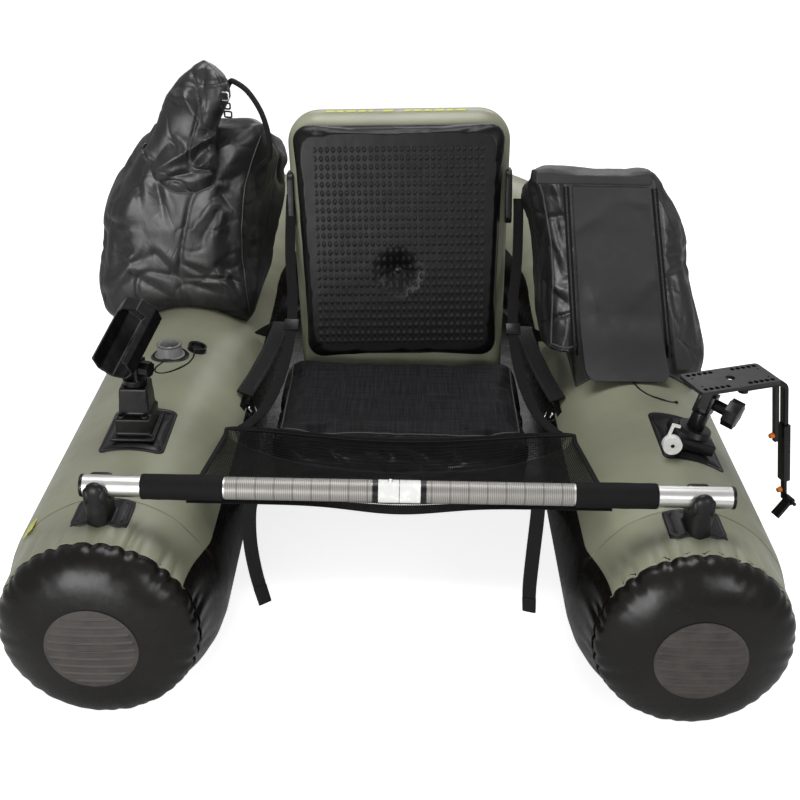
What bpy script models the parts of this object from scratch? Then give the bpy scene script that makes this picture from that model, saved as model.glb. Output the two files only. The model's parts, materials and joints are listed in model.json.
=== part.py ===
"""Float tube: an inflatable U-shaped fishing seat with two tubes, a seat, a
backrest, a measuring bar with a net apron, bags, a rod holder and a mount for
a fish finder.

Metres, +Z up, the front (noses) faces -Y. Left and right are those of someone
who looks at the noses from the front: left is -X. Everything is placed in the
hull frame, whose X is zero on the centre line, Y is zero at the nose apexes
and Z is zero on the ground. The root empty then centres the whole on its box.
"""

import math

import bmesh
import bpy
from mathutils import Matrix, Vector

# Fits and clearances
GAP = 0.0003                # between pieces that touch
RUN = 0.0005                # running clearance of pins and hinges
OVERRUN = 0.01              # by how much every cutter passes through
MERGE = 0.00005             # modifier merge distance

# Hull
HULL_LENGTH = 1.700
AXIS_SPACING = 0.812        # between the axes of the two tubes
TUBE_RADIUS = 0.158
TUBE_SIDES = 24
STERN_RISE = 0.105          # how far the stern is lifted
RISE_SHARE = 0.588          # share of the hull's length at which the lift begins
STERN_STRAIGHT = 0.020      # straight half length at the middle of the stern
BEND_STEPS = 10
NOSE_DEPTH = 0.052
NOSE_RADIUS = 0.136
NOSE_RISE = 0.022           # the nose's middle stands this far over the tube's
NOSE_POINTS = 7
NOSE_FULLNESS = 2.4         # exponent of the nose outline
TAPER_LENGTH = 0.130        # over which the tube reaches its full radius
TAPER_STEPS = 4
SEAM_GAP = 0.0008           # between the panels that run along a tube
INNER_SEAM = math.radians(60.0)     # from the top of the tube
OUTER_SEAM = math.radians(97.5)
SKIN = 0.0011               # coated fabric
PATCH_RADIUS = 0.063
PATCH_SKIN = 0.0025

# Seat
SLING_SKIN = 0.0020
SLING_FRONT = 0.420
SLING_BACK = 1.100
SEAT_FRONT = 0.432
SEAT_BACK = 0.744
SEAT_WIDTH = 0.430
SEAT_THICKNESS = 0.118
SEAT_CROWN = 0.008
SEAT_TUCK = 0.012

# Backrest
RECLINE = math.radians(8.0)
PIVOT_ADVANCE = 0.009       # hinge line ahead of the seat's back edge
PIVOT_RISE = 0.0025
PAD_BOTTOM = 0.004
PAD_TOP = 0.416
PAD_WIDTH = 0.366
PAD_THICKNESS = 0.030
PAD_CROWN = 0.008
PAD_TUCK = 0.010
TUFT_HEIGHT = 0.158
TUFT_DEPTH = 0.018
TUFT_REACH = 0.030
SHELL_TOP = 0.436
SHELL_WIDTH = 0.392
SHELL_TAPER = 0.016         # how much each side draws in towards the bottom
SHELL_CORNER = 0.055
SHELL_THICKNESS = 0.084
SHELL_ROUND = 0.014
TAB_WIDTH = 0.010
TAB_HEIGHT = 0.060
TAB_DEPTH = 0.026
TAB_LEVEL = 0.283

# Measuring bar
BAR_Y = 0.118
BAR_Z = 0.363
BAR_RADIUS = 0.015
BAR_WALL = 0.0012
BAR_LENGTH = 0.872
BAR_SHIFT = 0.011           # the bar lies off centre to the right
BAR_STEPS = 24
SLEEVE_LENGTH = 0.150
SLEEVE_WALL = 0.0012
CAP_THICKNESS = 0.004
CAP_PLUG = 0.014
CAP_RIM = 0.0006
GRIP_START = 0.2365
GRIP_LENGTH = 0.111
GRIP_SKIN = 0.0026
BUTTON_X = -0.012
BUTTON_RADIUS = 0.0034
BUTTON_RISE = 0.0030
BUTTON_TOP_SHARE = 0.7
BUTTON_FLANGE = 0.0052
BUTTON_FLANGE_HEIGHT = 0.0012
SPRING_WIDTH = 0.008
SPRING_SKIN = 0.0005
SPRING_LENGTH = 0.040

# Fork posts that carry the bar
FORK_WIDTH = 0.032
FORK_RADIUS = 0.027
FORK_TIP = 0.009            # height of the jaws over the bar's axis
FORK_FOOT = 0.020
FORK_WAIST = 0.022
FORK_ROUND = 0.005
FORK_SINK = 0.0054          # the jaws' centre lies this far under the bar's axis
FORK_ARC_STEPS = 8
FORK_ARC = math.radians(30.0)
FORK_WAIST_SHARE = 0.72
FORK_SHARP = math.radians(80.0)

# Rubber pads welded on the tubes
PAD_SKIN = 0.0030
BAR_PAD_SPAN = math.radians(14.5)
BAR_PAD_FRONT = 0.094
BAR_PAD_BACK = 0.162
ROD_PAD_SPAN = math.radians(18.5)
ROD_PAD_FRONT = 0.300
ROD_PAD_BACK = 0.438
FINDER_PAD_SPAN = math.radians(18.5)
FINDER_PAD_FRONT = 0.305
FINDER_PAD_BACK = 0.455
FINDER_TILT = math.radians(15.0)    # one facet outward from the top

# Rod holder on the left tube
ROD_Y = 0.366
ROD_FLANGE_X = 0.068
ROD_FLANGE_Y = 0.092
ROD_FLANGE_Z = 0.006
ROD_BLOCK_X = 0.054
ROD_BLOCK_Y = 0.066
ROD_BLOCK_Z = 0.026
ROD_POST_FOOT = 0.048
ROD_POST_TOP = 0.042
ROD_POST_Z = 0.042
ROD_LEDGE = 0.014           # the post stands back from the block's front
ROD_EDGE = 0.002
ROD_YAW = math.radians(-20.0)
ROD_PITCH = math.radians(31.0)
TURRET_RADIUS = 0.0185
TURRET_Z = 0.010
EAR_THICKNESS = 0.0055
EAR_GAP = 0.0150
EAR_WIDTH = 0.026
EAR_HEIGHT = 0.020
AXLE_RADIUS = 0.0030
ROD_KNOB_RADIUS = 0.0125
ROD_KNOB_LENGTH = 0.016
KNOB_LOBES = 8
KNOB_NOTCH_SHARE = 0.86
CRADLE_LENGTH = 0.106
CRADLE_RADIUS = 0.033
CRADLE_WALL = 0.0045
CRADLE_SIDES = 8
CRADLE_RING = 0.022         # length of the closed ring at the back
CRADLE_SLOT = 0.046
CRADLE_LIFT = 0.003         # lug length between the cup and the pivot
LUG_WIDTH = 0.024
CRADLE_BACKSET = 0.018      # the pivot lies this far ahead of the middle

# Valve on the left tube
VALVE_Y = 0.640
VALVE_FLANGE_RADIUS = 0.026
VALVE_FLANGE_Z = 0.003
VALVE_RADIUS = 0.0215
VALVE_Z = 0.020
VALVE_BORE = 0.0165
VALVE_FLOOR = 0.006
PLUNGER_RADIUS = 0.0070
PLUNGER_STEM = 0.0030
PLUNGER_Z = 0.006
PLUNGER_TRAVEL = 0.004
VALVE_STEPS = 20
CAP_FACET = 1               # the open cap lies this many facets inward
CAP_Y = 0.674
CAP_RADIUS = 0.0165
CAP_Z = 0.011
CAP_BORE = 0.0120
CAP_DEPTH = 0.007
THROAT_RADIUS = 0.0115
THROAT_Z = 0.012
CORD_RADIUS = 0.0014
VALVE_LEASH = ((-0.3655, 0.6562, 0.3150), (-0.3660, 0.6400, 0.3107), (-0.3700, 0.6150, 0.3116),
               (-0.3800, 0.5900, 0.3144), (-0.3930, 0.5720, 0.3154), (-0.4070, 0.5640, 0.3154),
               (-0.4180, 0.5700, 0.3154), (-0.4210, 0.5850, 0.3154), (-0.4160, 0.6000, 0.3154),
               (-0.4100, 0.6132, 0.3154))
BAG_CORD = ((0.3920, 0.6155, 0.3172), (0.3925, 0.5980, 0.3154), (0.3930, 0.5700, 0.3154),
            (0.4000, 0.5400, 0.3154), (0.4120, 0.5180, 0.3154), (0.4280, 0.5060, 0.3150),
            (0.4440, 0.5040, 0.3106), (0.4560, 0.5080, 0.3074))
CORD_STEPS = 4              # points per stretch of a cord's route

# Fish finder mount on the right tube, in the frame of its tilted facet
FINDER_Y = 0.368
FINDER_BASE_X = 0.062
FINDER_BASE_Y = 0.074
FINDER_BASE_Z = 0.018
FINDER_EDGE = 0.003
FINDER_DISC_RADIUS = 0.029
FINDER_DISC_Z = 0.009
LOCK_X = -0.047
LOCK_Y = 0.312
LOCK_RISE = 0.0165          # height of the lock knob's axis over the pad
LOCK_RADIUS = 0.0145
LOCK_LENGTH = 0.012
LOCK_ARM = 0.0040
LOCK_REACH = 0.030
LOCK_HOOK = 0.009
POST_RADIUS = 0.0135
POST_Z = 0.027
FINDER_YAW = math.radians(-34.0)
FINDER_KNOB_RADIUS = 0.0225
FINDER_KNOB_LENGTH = 0.020
FINDER_KNOB_NECK = 0.020    # hub between the ear and the knob
PLATE_X = 0.140
PLATE_Y = 0.067
PLATE_Z = 0.006
PLATE_CORNER = 0.006
PLATE_YAW = math.radians(20.0)
PLATE_SHIFT_X = 0.041       # the plate's centre lies off the tilt axis
PLATE_SHIFT_Y = 0.007
PLATE_HOLE = 0.0075
PLATE_SCREW_HOLE = 0.0020
PLATE_LIFT = 0.024          # plate underside over the tilt axis
HOLE_ROW_SHARES = (0.28, 0.42, 0.56, 0.70, 0.84)
HOLE_LINE_SHARES = (0.42, 0.74)
HOLE_SIDES = 6

# Transducer arm under the plate
ARM_START_X = 0.012
ARM_Y = -0.020
ARM_REACH = 0.074
ARM_WIDTH = 0.013
ARM_THICKNESS = 0.007
ARM_BEND = 0.014
ARM_LEAN = math.radians(10.5)
ARM_DROP = 0.130
ARM_PIVOT_RADIUS = 0.008
STRUT_OFFSET = 0.0155
STRUT_WIDTH = 0.008
STRUT_TOP = 0.0145
STRUT_DROP = 0.092
BOX_WALL = 0.0020
BOX_TOP = 0.066
BOX_LENGTH = 0.106
NECK_RADIUS = 0.0050
NECK_LENGTH = 0.036
FOOT_RADIUS = 0.0065
FOOT_WIDTH = 0.016
FOOT_LENGTH = 0.034
FOOT_THICKNESS = 0.006
FOOT_TURN = math.radians(40.0)
THUMB_RADIUS = 0.0050
THUMB_LENGTH = 0.007
THUMB_TOP_RADIUS = 0.0040
THUMB_LEVEL = 0.080

# Bags
RIGHT_BAG_FRONT = 0.605
RIGHT_BAG_DEPTH = 0.250
RIGHT_BAG_TOP = 0.655
RIGHT_BAG_BOTTOM = 0.235
RIGHT_BAG_X0 = 0.216
RIGHT_BAG_X1 = 0.516
RIGHT_BAG_TOP_X0 = 0.202
RIGHT_BAG_TOP_X1 = 0.414
RIGHT_BAG_SET = 0.060       # how far the top front edge lies behind the bottom
RIGHT_BAG_FALL = 0.065      # how far the top falls towards the back
NOTCH_X = 0.290             # the lower inner edge stands clear of the carrying strap
NOTCH_Z = 0.345
BAG_DRAW = 0.035            # the right bag's inner side draws away at its back
BAG_ROUND = 0.022
FLAP_TOP_WIDTH = 0.124
FLAP_WIDTH = 0.142
FLAP_TOP_X = 0.338
FLAP_X = 0.384
FLAP_BOTTOM = 0.322
FLAP_SKIN = 0.0035
FLAP_CORNER = 0.0172
FLAP_HANG = 0.006           # the flap's hinge lies this far under the bag's top
ZIP_SKIN = 0.0040
ZIP_LENGTH = 0.022
ZIP_WIDTH = 0.007
ZIP_OFFSET = 0.011          # from the flap's edge
ZIP_LEVEL = 0.350
LEFT_BAG_FRONT = 0.860
LEFT_BAG_DEPTH = 0.250
LEFT_BAG_TOP = 0.670
LEFT_BAG_BOTTOM = 0.235
LEFT_BAG_X0 = -0.566
LEFT_BAG_X1 = -0.288
LEFT_BAG_TOP_X0 = -0.470
LEFT_BAG_TOP_X1 = -0.228
LEFT_BAG_SET = 0.020
LEFT_BAG_FALL = 0.072
HOOD_X = -0.388
HOOD_Y = 0.872
HOOD_Z = 0.650
HOOD_RADIUS_X = 0.058
HOOD_RADIUS_Y = 0.055
HOOD_RADIUS_Z = 0.122
HANDLE_RADIUS = 0.0050
LEFT_HANDLE = ((-0.3620, 0.8800, 0.7300), (-0.3300, 0.8780, 0.7420), (-0.3050, 0.8720, 0.7400),
               (-0.2800, 0.8620, 0.7250), (-0.2560, 0.8520, 0.6900), (-0.2440, 0.8500, 0.6450),
               (-0.2460, 0.8580, 0.6100), (-0.2620, 0.8900, 0.5800))

# Straps and their fittings; the routes are those of the right side
SIDE_WEB = 0.018
WEB_SKIN = 0.0020
SIDE_ROUTE = ((0.2040, 0.8240, 0.5520), (0.2040, 0.8000, 0.5250), (0.2030, 0.7620, 0.4550),
              (0.1960, 0.7150, 0.3850), (0.1990, 0.6600, 0.3300), (0.2110, 0.6000, 0.2900),
              (0.2300, 0.5450, 0.2640), (0.2520, 0.5050, 0.2550), (0.2705, 0.4840, 0.2520))
SLIDER_AT = 10              # stretch of the strap that carries the slider
SLIDER_FRAME = 0.0035
SLIDER_LENGTH = 0.020
SLIDER_SKIN = 0.0030
CARRY_WEB = 0.030
CARRY_SKIN = 0.0050
CARRY_ROUTE = ((0.2732, 0.5980, 0.2620), (0.2540, 0.6400, 0.2820), (0.2360, 0.6800, 0.3070),
               (0.2265, 0.7300, 0.3200), (0.2255, 0.7800, 0.3180), (0.2380, 0.8200, 0.2970),
               (0.2716, 0.8520, 0.2630))
STRAP_STEPS = 3
FIT_FACETS = 4              # the fittings sit this many facets inward
RING_Y = 0.604
RING_WIRE = 0.0022
RING_WIDTH = 0.030
RING_DROP = 0.024
RING_STEPS = 8
KEEPER_X = 0.010
KEEPER_Y = 0.020
KEEPER_Z = 0.0090
PATCH_X = 0.036
PATCH_Y = 0.060
PATCH_Z = 0.0016

# Net apron between the seat and the bar
NET_SKIN = 0.0012
NET_COLUMNS = 16
NET_SIDE_X = 0.287
NET_SIDE_Z = 0.2655
NET_RIM_Z = 0.287
NET_REAR_Y = 0.466
NET_REAR_SAG = 0.064        # how far the rear rim bows forward
NET_FOLD_Z = 0.238
NET_FOLD_SET = 0.022        # the fold lies this far ahead of the rim
NET_DROOP = 0.012           # the hem hangs this far under the bar
NET_DROOP_SPREAD = 0.080
NET_ROW_SHARES = (0.0, 0.5, 1.0)
FLOOR_SHARES = (0.25, 0.5, 0.75, 1.0)
TAIL_WEB = 0.020
TAIL_SKIN = 0.0016
TAIL_ROUTES = (((-0.2030, 0.1500, 0.3352), (-0.2080, 0.1460, 0.3050), (-0.2070, 0.1380, 0.2600),
                (-0.1990, 0.1280, 0.2150), (-0.1860, 0.1120, 0.1780)),
               ((0.1930, 0.1500, 0.3370), (0.1920, 0.1460, 0.3000), (0.1890, 0.1380, 0.2450),
                (0.1870, 0.1300, 0.2000), (0.1880, 0.1220, 0.1650)))

# Values that follow from the ones above
HALF_FACET = math.pi / TUBE_SIDES
FLAT = math.cos(HALF_FACET)                  # apothem of a unit facet ring
AXIS_X = AXIS_SPACING / 2
RISE_START = HULL_LENGTH * RISE_SHARE
AXIS_HEIGHT = TUBE_RADIUS * FLAT
PAD_FACE = (TUBE_RADIUS + GAP + PAD_SKIN) * FLAT + GAP   # over the tube's axis
INNER_X = AXIS_X - AXIS_HEIGHT               # free half width between the tubes
SLING_TOP = AXIS_HEIGHT + SLING_SKIN / 2
SEAT_TOP = SLING_TOP + GAP + SEAT_THICKNESS
PIVOT_Y = SEAT_BACK - PIVOT_ADVANCE
PIVOT_Z = SEAT_TOP + PIVOT_RISE

PARTS = "float_tube"
CUTTERS = "cutters"


class Kit:
    """Collections, materials and the root empty that the pieces share."""

    def __init__(self):
        for obj in list(bpy.data.objects):
            bpy.data.objects.remove(obj)
        self.parts = self.collection(PARTS)
        self.cutters = self.collection(CUTTERS)
        self.root = self.empty("hull_frame")
        self.materials = {}

    def collection(self, name):
        """Make a collection in the scene."""
        made = bpy.data.collections.new(name)
        bpy.context.scene.collection.children.link(made)
        return made

    def empty(self, name, parent=None, location=(0, 0, 0), rotation=(0, 0, 0)):
        """Make an empty that holds a frame for other pieces."""
        made = bpy.data.objects.new(name, None)
        made.location = location
        made.rotation_euler = rotation
        made.parent = parent
        self.parts.objects.link(made)
        return made

    def material(self, name):
        """Return the material of that name, made on first use."""
        if name not in self.materials:
            colour, roughness, metallic = FINISHES[name]
            made = bpy.data.materials.new(name)
            made.use_nodes = True
            shader = made.node_tree.nodes["Principled BSDF"]
            shader.inputs["Base Color"].default_value = (*colour, 1.0)
            shader.inputs["Roughness"].default_value = roughness
            shader.inputs["Metallic"].default_value = metallic
            self.materials[name] = made
        return self.materials[name]

    def piece(self, name, data, finish, parent=None, location=(0, 0, 0), rotation=(0, 0, 0)):
        """Put one named piece in the part's collection."""
        made = bpy.data.objects.new(name, data)
        data.materials.clear()
        data.materials.append(self.material(finish))
        made.location = location
        made.rotation_euler = rotation
        made.parent = parent or self.root
        self.parts.objects.link(made)
        if isinstance(data, bpy.types.Mesh):
            data.shade_smooth()
            data.set_sharp_from_angle(angle=SHARP)
        return made

    def guide(self, name, data, parent=None, location=(0, 0, 0), rotation=(0, 0, 0)):
        """Put a cutter or a section curve in the cutters' collection."""
        made = bpy.data.objects.new(name, data)
        made.location = location
        made.rotation_euler = rotation
        made.parent = parent or self.root
        made.hide_render = True
        made.display_type = 'WIRE'
        self.cutters.objects.link(made)
        return made


SHARP = math.radians(40.0)

FINISHES = {
    "olive_fabric": ((0.262, 0.275, 0.165), 0.35, 0.0),
    "black_fabric": ((0.012, 0.012, 0.013), 0.30, 0.0),
    "black_rubber": ((0.020, 0.020, 0.021), 0.45, 0.0),
    "grey_rubber": ((0.110, 0.105, 0.100), 0.60, 0.0),
    "seat_cloth": ((0.022, 0.022, 0.024), 0.80, 0.0),
    "pad_vinyl": ((0.014, 0.014, 0.015), 0.45, 0.0),
    "webbing": ((0.015, 0.015, 0.016), 0.75, 0.0),
    "net": ((0.018, 0.018, 0.018), 0.80, 0.0),
    "bag_cloth": ((0.020, 0.020, 0.022), 0.28, 0.0),
    "aluminium": ((0.780, 0.780, 0.770), 0.28, 1.0),
    "steel": ((0.600, 0.600, 0.590), 0.25, 1.0),
    "foam": ((0.013, 0.013, 0.013), 0.70, 0.0),
    "black_plastic": ((0.018, 0.018, 0.019), 0.40, 0.0),
    "white_plastic": ((0.780, 0.780, 0.770), 0.35, 0.0),
    "grey_plastic": ((0.300, 0.300, 0.290), 0.40, 0.0),
    "orange_plastic": ((0.800, 0.250, 0.020), 0.35, 0.0),
}


def mesh_of(bm, name):
    """Turn a bmesh into mesh data and free it."""
    data = bpy.data.meshes.new(name)
    bm.to_mesh(data)
    bm.free()
    return data


def box_mesh(name, size, centre=(0, 0, 0), edge=0.0, segments=2):
    """A box, with its edges rounded where an edge radius is given."""
    bm = bmesh.new()
    bmesh.ops.create_cube(bm, size=1.0)
    bmesh.ops.scale(bm, vec=Vector(size), verts=bm.verts)
    if edge:
        bmesh.ops.bevel(bm, geom=bm.edges[:], offset=edge, segments=segments, profile=0.5,
                        affect='EDGES', clamp_overlap=True)
    bmesh.ops.translate(bm, vec=Vector(centre), verts=bm.verts)
    return mesh_of(bm, name)


def frustum_mesh(name, radius, top_radius, height, sides, centre=(0, 0, 0), turn=0.0):
    """A prism or cone that stands on centre, its first corner turned."""
    bm = bmesh.new()
    bmesh.ops.create_cone(bm, cap_ends=True, segments=sides, radius1=radius, radius2=top_radius,
                          depth=height)
    bmesh.ops.rotate(bm, cent=(0, 0, 0), matrix=Matrix.Rotation(turn, 3, 'Z'), verts=bm.verts)
    bmesh.ops.translate(bm, vec=Vector(centre) + Vector((0, 0, height / 2)), verts=bm.verts)
    return mesh_of(bm, name)


def turned_mesh(name, profile):
    """A profile of (radius, height) points, from the top down its outer side."""
    bm = bmesh.new()
    verts = [bm.verts.new((radius, 0, height)) for radius, height in profile]
    for first, second in zip(verts, verts[1:]):
        bm.edges.new((first, second))
    return mesh_of(bm, name)


def screw(obj, steps):
    """Turn an object's profile round its own Z."""
    turn = obj.modifiers.new("turn", 'SCREW')
    turn.steps = steps
    turn.render_steps = steps
    turn.use_merge_vertices = True
    turn.merge_threshold = MERGE
    return obj


def thicken(obj, thickness, offset=-1.0):
    """Give an open surface its wall."""
    wall = obj.modifiers.new("wall", 'SOLIDIFY')
    wall.thickness = thickness
    wall.offset = offset
    wall.use_even_offset = True
    return obj


def carve(obj, cutter, operation='DIFFERENCE'):
    """Cut an object with another, or join them."""
    cut = obj.modifiers.new("cut", 'BOOLEAN')
    cut.operation = operation
    cut.object = cutter
    cut.solver = 'EXACT'
    return obj


def curve_of(name, points, dimensions='3D', cyclic=False, radii=None):
    """A straight-sided curve through the points."""
    data = bpy.data.curves.new(name, 'CURVE')
    data.dimensions = dimensions
    data.twist_mode = 'Z_UP'
    spline = data.splines.new('POLY')
    spline.points.add(len(points) - 1)
    for index, place in enumerate(points):
        spline.points[index].co = (*place, *([0] * (3 - len(place))), 1.0)
        if radii:
            spline.points[index].radius = radii[index]
    spline.use_cyclic_u = cyclic
    return data


def rod_curve(name, points, radius, resolution=2, cyclic=False):
    """A round wire or tube along the points."""
    data = curve_of(name, points, cyclic=cyclic)
    data.twist_mode = 'MINIMUM'
    data.bevel_depth = radius
    data.bevel_resolution = resolution
    data.use_fill_caps = True
    return data


def plate_curve(name, outline, thickness):
    """A flat plate of that outline, in its own XY, centred on its thickness."""
    data = curve_of(name, outline, dimensions='2D', cyclic=True)
    data.fill_mode = 'BOTH'
    data.extrude = thickness / 2
    return data


def rounded_outline(width, height, corner, steps=3, taper=0.0):
    """A rectangle round its centre with round corners, narrower at the bottom."""
    points = []
    corners = ((1, 1, 0.0), (-1, 1, 0.5), (-1, -1, 1.0), (1, -1, 1.5))
    for side_x, side_y, turn in corners:
        half = width / 2 - (taper if side_y < 0 else 0.0)
        centre_x = side_x * (half - corner)
        centre_y = side_y * (height / 2 - corner)
        for step in range(steps + 1):
            angle = math.pi * (turn + 0.5 * step / steps)
            points.append((centre_x + corner * math.cos(angle),
                           centre_y + corner * math.sin(angle)))
    return points


def smooth_route(points, steps):
    """Points of a smooth curve through a route's own points."""
    route = [Vector(place) for place in points]
    ends = [2 * route[0] - route[1], *route, 2 * route[-1] - route[-2]]
    smooth = []
    for index in range(1, len(ends) - 2):
        before, start, end, after = ends[index - 1:index + 3]
        for step in range(steps):
            t = step / steps
            smooth.append(0.5 * (2 * start + (end - before) * t
                                 + (2 * before - 5 * start + 4 * end - after) * t * t
                                 + (3 * start - before - 3 * end + after) * t ** 3))
    smooth.append(route[-1])
    return [tuple(place) for place in smooth]


def as_mesh(kit, obj):
    """Replace a curve object by its welded mesh, which can take a Boolean."""
    bpy.context.view_layer.update()
    graph = bpy.context.evaluated_depsgraph_get()
    data = bpy.data.meshes.new_from_object(obj.evaluated_get(graph))
    bm = bmesh.new()
    bm.from_mesh(data)
    bmesh.ops.remove_doubles(bm, verts=bm.verts, dist=MERGE)
    bm.to_mesh(data)
    bm.free()
    name, parent, place = obj.name, obj.parent, obj.matrix_world.copy()
    finish = data.materials[0].name if data.materials else None
    hidden = obj.hide_render
    bpy.data.objects.remove(obj)
    if hidden:
        made = kit.guide(name, data, parent)
    else:
        made = kit.piece(name, data, finish, parent)
    made.matrix_world = place
    return made


def knob_outline(radius, lobes):
    """A star-like outline with rounded lobes."""
    points = []
    for index in range(2 * lobes):
        angle = math.pi * index / lobes
        reach = radius * (1.0 if index % 2 else KNOB_NOTCH_SHARE)
        points.append((reach * math.cos(angle), reach * math.sin(angle)))
    return points


def taper_left(y):
    """How much of the tube's taper is left at a place behind its nose seam."""
    share = min(max((y - NOSE_DEPTH - GAP) / TAPER_LENGTH, 0.0), 1.0)
    return 1 - share * share * (3 - 2 * share)


def raise_nose(tube):
    """Lift a tube's narrow end, which keeps its top line level."""
    for vert in tube.data.vertices:
        vert.co.z += NOSE_RISE * taper_left(vert.co.y)
    return tube


def hull_route(side):
    """Places and radii of one tube's axis, from its nose seam to mid stern."""
    places, radii = [], []
    for step in range(TAPER_STEPS + 1):
        y = NOSE_DEPTH + GAP + TAPER_LENGTH * step / TAPER_STEPS
        places.append([AXIS_X, y])
        radii.append(TUBE_RADIUS - (TUBE_RADIUS - NOSE_RADIUS) * taper_left(y))
    bend_y = HULL_LENGTH - AXIS_HEIGHT - AXIS_X
    arc = AXIS_X - STERN_STRAIGHT
    places += [[AXIS_X, RISE_START], [AXIS_X, (RISE_START + bend_y) / 2]]
    for step in range(BEND_STEPS + 1):
        angle = 0.5 * math.pi * step / BEND_STEPS
        places.append([STERN_STRAIGHT + arc * math.cos(angle), bend_y + AXIS_X * math.sin(angle)])
    places.append([GAP / 2, bend_y + AXIS_X])
    radii += [TUBE_RADIUS] * (len(places) - len(radii))
    lengths = [0.0]
    for first, second in zip(places, places[1:]):
        lengths.append(lengths[-1] + math.dist(first, second))
    rise_from = lengths[TAPER_STEPS + 1]
    points = []
    for (x, y), length in zip(places, lengths):
        share = max(0.0, length - rise_from) / (lengths[-2] - rise_from)
        share = min(share, 1.0)
        lift = STERN_RISE * share * share * (3 - 2 * share)
        points.append((side * x, y, AXIS_HEIGHT + lift))
    return points, radii


def facet_points(start, end):
    """Points on a unit facet ring between two angles, as (angle, radius)."""
    pitch = 2 * HALF_FACET
    first = math.ceil((start - HALF_FACET) / pitch + 0.01)
    last = math.floor((end - HALF_FACET) / pitch - 0.01)
    inside = [HALF_FACET + pitch * index for index in range(first, last + 1)]
    return [(angle, FLAT / math.cos(angle - pitch * round(angle / pitch))) for angle in [start, *inside, end]]


def section(kit, name, side, start, end):
    """A stretch of the tube's section, angles from its bottom to the inside."""
    trim = SEAM_GAP / 2 / TUBE_RADIUS
    points = []
    for angle, radius in facet_points(start + trim, end - trim):
        points.append((-side * radius * math.sin(angle), -radius * math.cos(angle)))
    if side < 0:
        points.reverse()
    return kit.guide(name, curve_of(name, points, dimensions='2D'))


def hull_panel(kit, name, finish, side, start, end):
    """One of the fabric panels that run along a tube."""
    points, radii = hull_route(side)
    data = curve_of(name, points, radii=radii)
    data.bevel_mode = 'OBJECT'
    data.bevel_object = section(kit, name + "_section", side, start, end)
    return thicken(raise_nose(as_mesh(kit, kit.piece(name, data, finish))), SKIN)


def hull_cutter(kit, name, side):
    """One whole tube with a gap round it, to cut what sits on it."""
    points, radii = hull_route(side)
    points[-1] = (-side * OVERRUN, *points[-1][1:])
    angles = [-HALF_FACET * (1 + 2 * index) for index in range(TUBE_SIDES)]
    ring = [(math.sin(angle), -math.cos(angle)) for angle in angles]
    outline = kit.guide(name + "_section", curve_of(name, ring, dimensions='2D', cyclic=True))
    data = curve_of(name, points, radii=[radius + GAP for radius in radii])
    data.bevel_mode = 'OBJECT'
    data.bevel_object = outline
    data.use_fill_caps = True
    return raise_nose(as_mesh(kit, kit.guide(name, data)))


def nose_height(radius):
    """How far the nose stands over its seam at a radius."""
    share = min(radius / NOSE_RADIUS, 1.0)
    return NOSE_DEPTH * (1 - share ** NOSE_FULLNESS) ** (1 / NOSE_FULLNESS)


def nose_profile(outer, points, lift=0.0):
    """Points over the nose from its apex out to a radius."""
    profile = []
    for index in range(points + 1):
        share = math.sin(0.5 * math.pi * index / points)
        profile.append((outer * share, nose_height(outer * share) + lift))
    return profile


def build_hull(kit):
    """Panels, noses and wear patches."""
    inner = math.pi - INNER_SEAM
    outer = OUTER_SEAM - math.pi
    forward = (math.pi / 2, 0, 0)
    for side, word in ((-1, "left"), (1, "right")):
        hull_panel(kit, "hull_base_panel_" + word, "black_fabric", side, outer, inner)
        hull_panel(kit, "hull_top_panel_" + word, "olive_fabric", side, inner, 2 * math.pi + outer)
        place = (side * AXIS_X, NOSE_DEPTH, AXIS_HEIGHT + NOSE_RISE)
        turn = (forward[0], HALF_FACET, 0)
        nose = kit.piece("nose_panel_" + word, turned_mesh("nose", nose_profile(NOSE_RADIUS, NOSE_POINTS)),
                         "black_fabric", location=place, rotation=turn)
        thicken(screw(nose, TUBE_SIDES), SKIN)
        profile = nose_profile(PATCH_RADIUS, 3, GAP + PATCH_SKIN)
        patch = kit.piece("wear_patch_" + word, turned_mesh("patch", profile), "grey_rubber",
                          location=place, rotation=turn)
        thicken(screw(patch, TUBE_SIDES), PATCH_SKIN)


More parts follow.
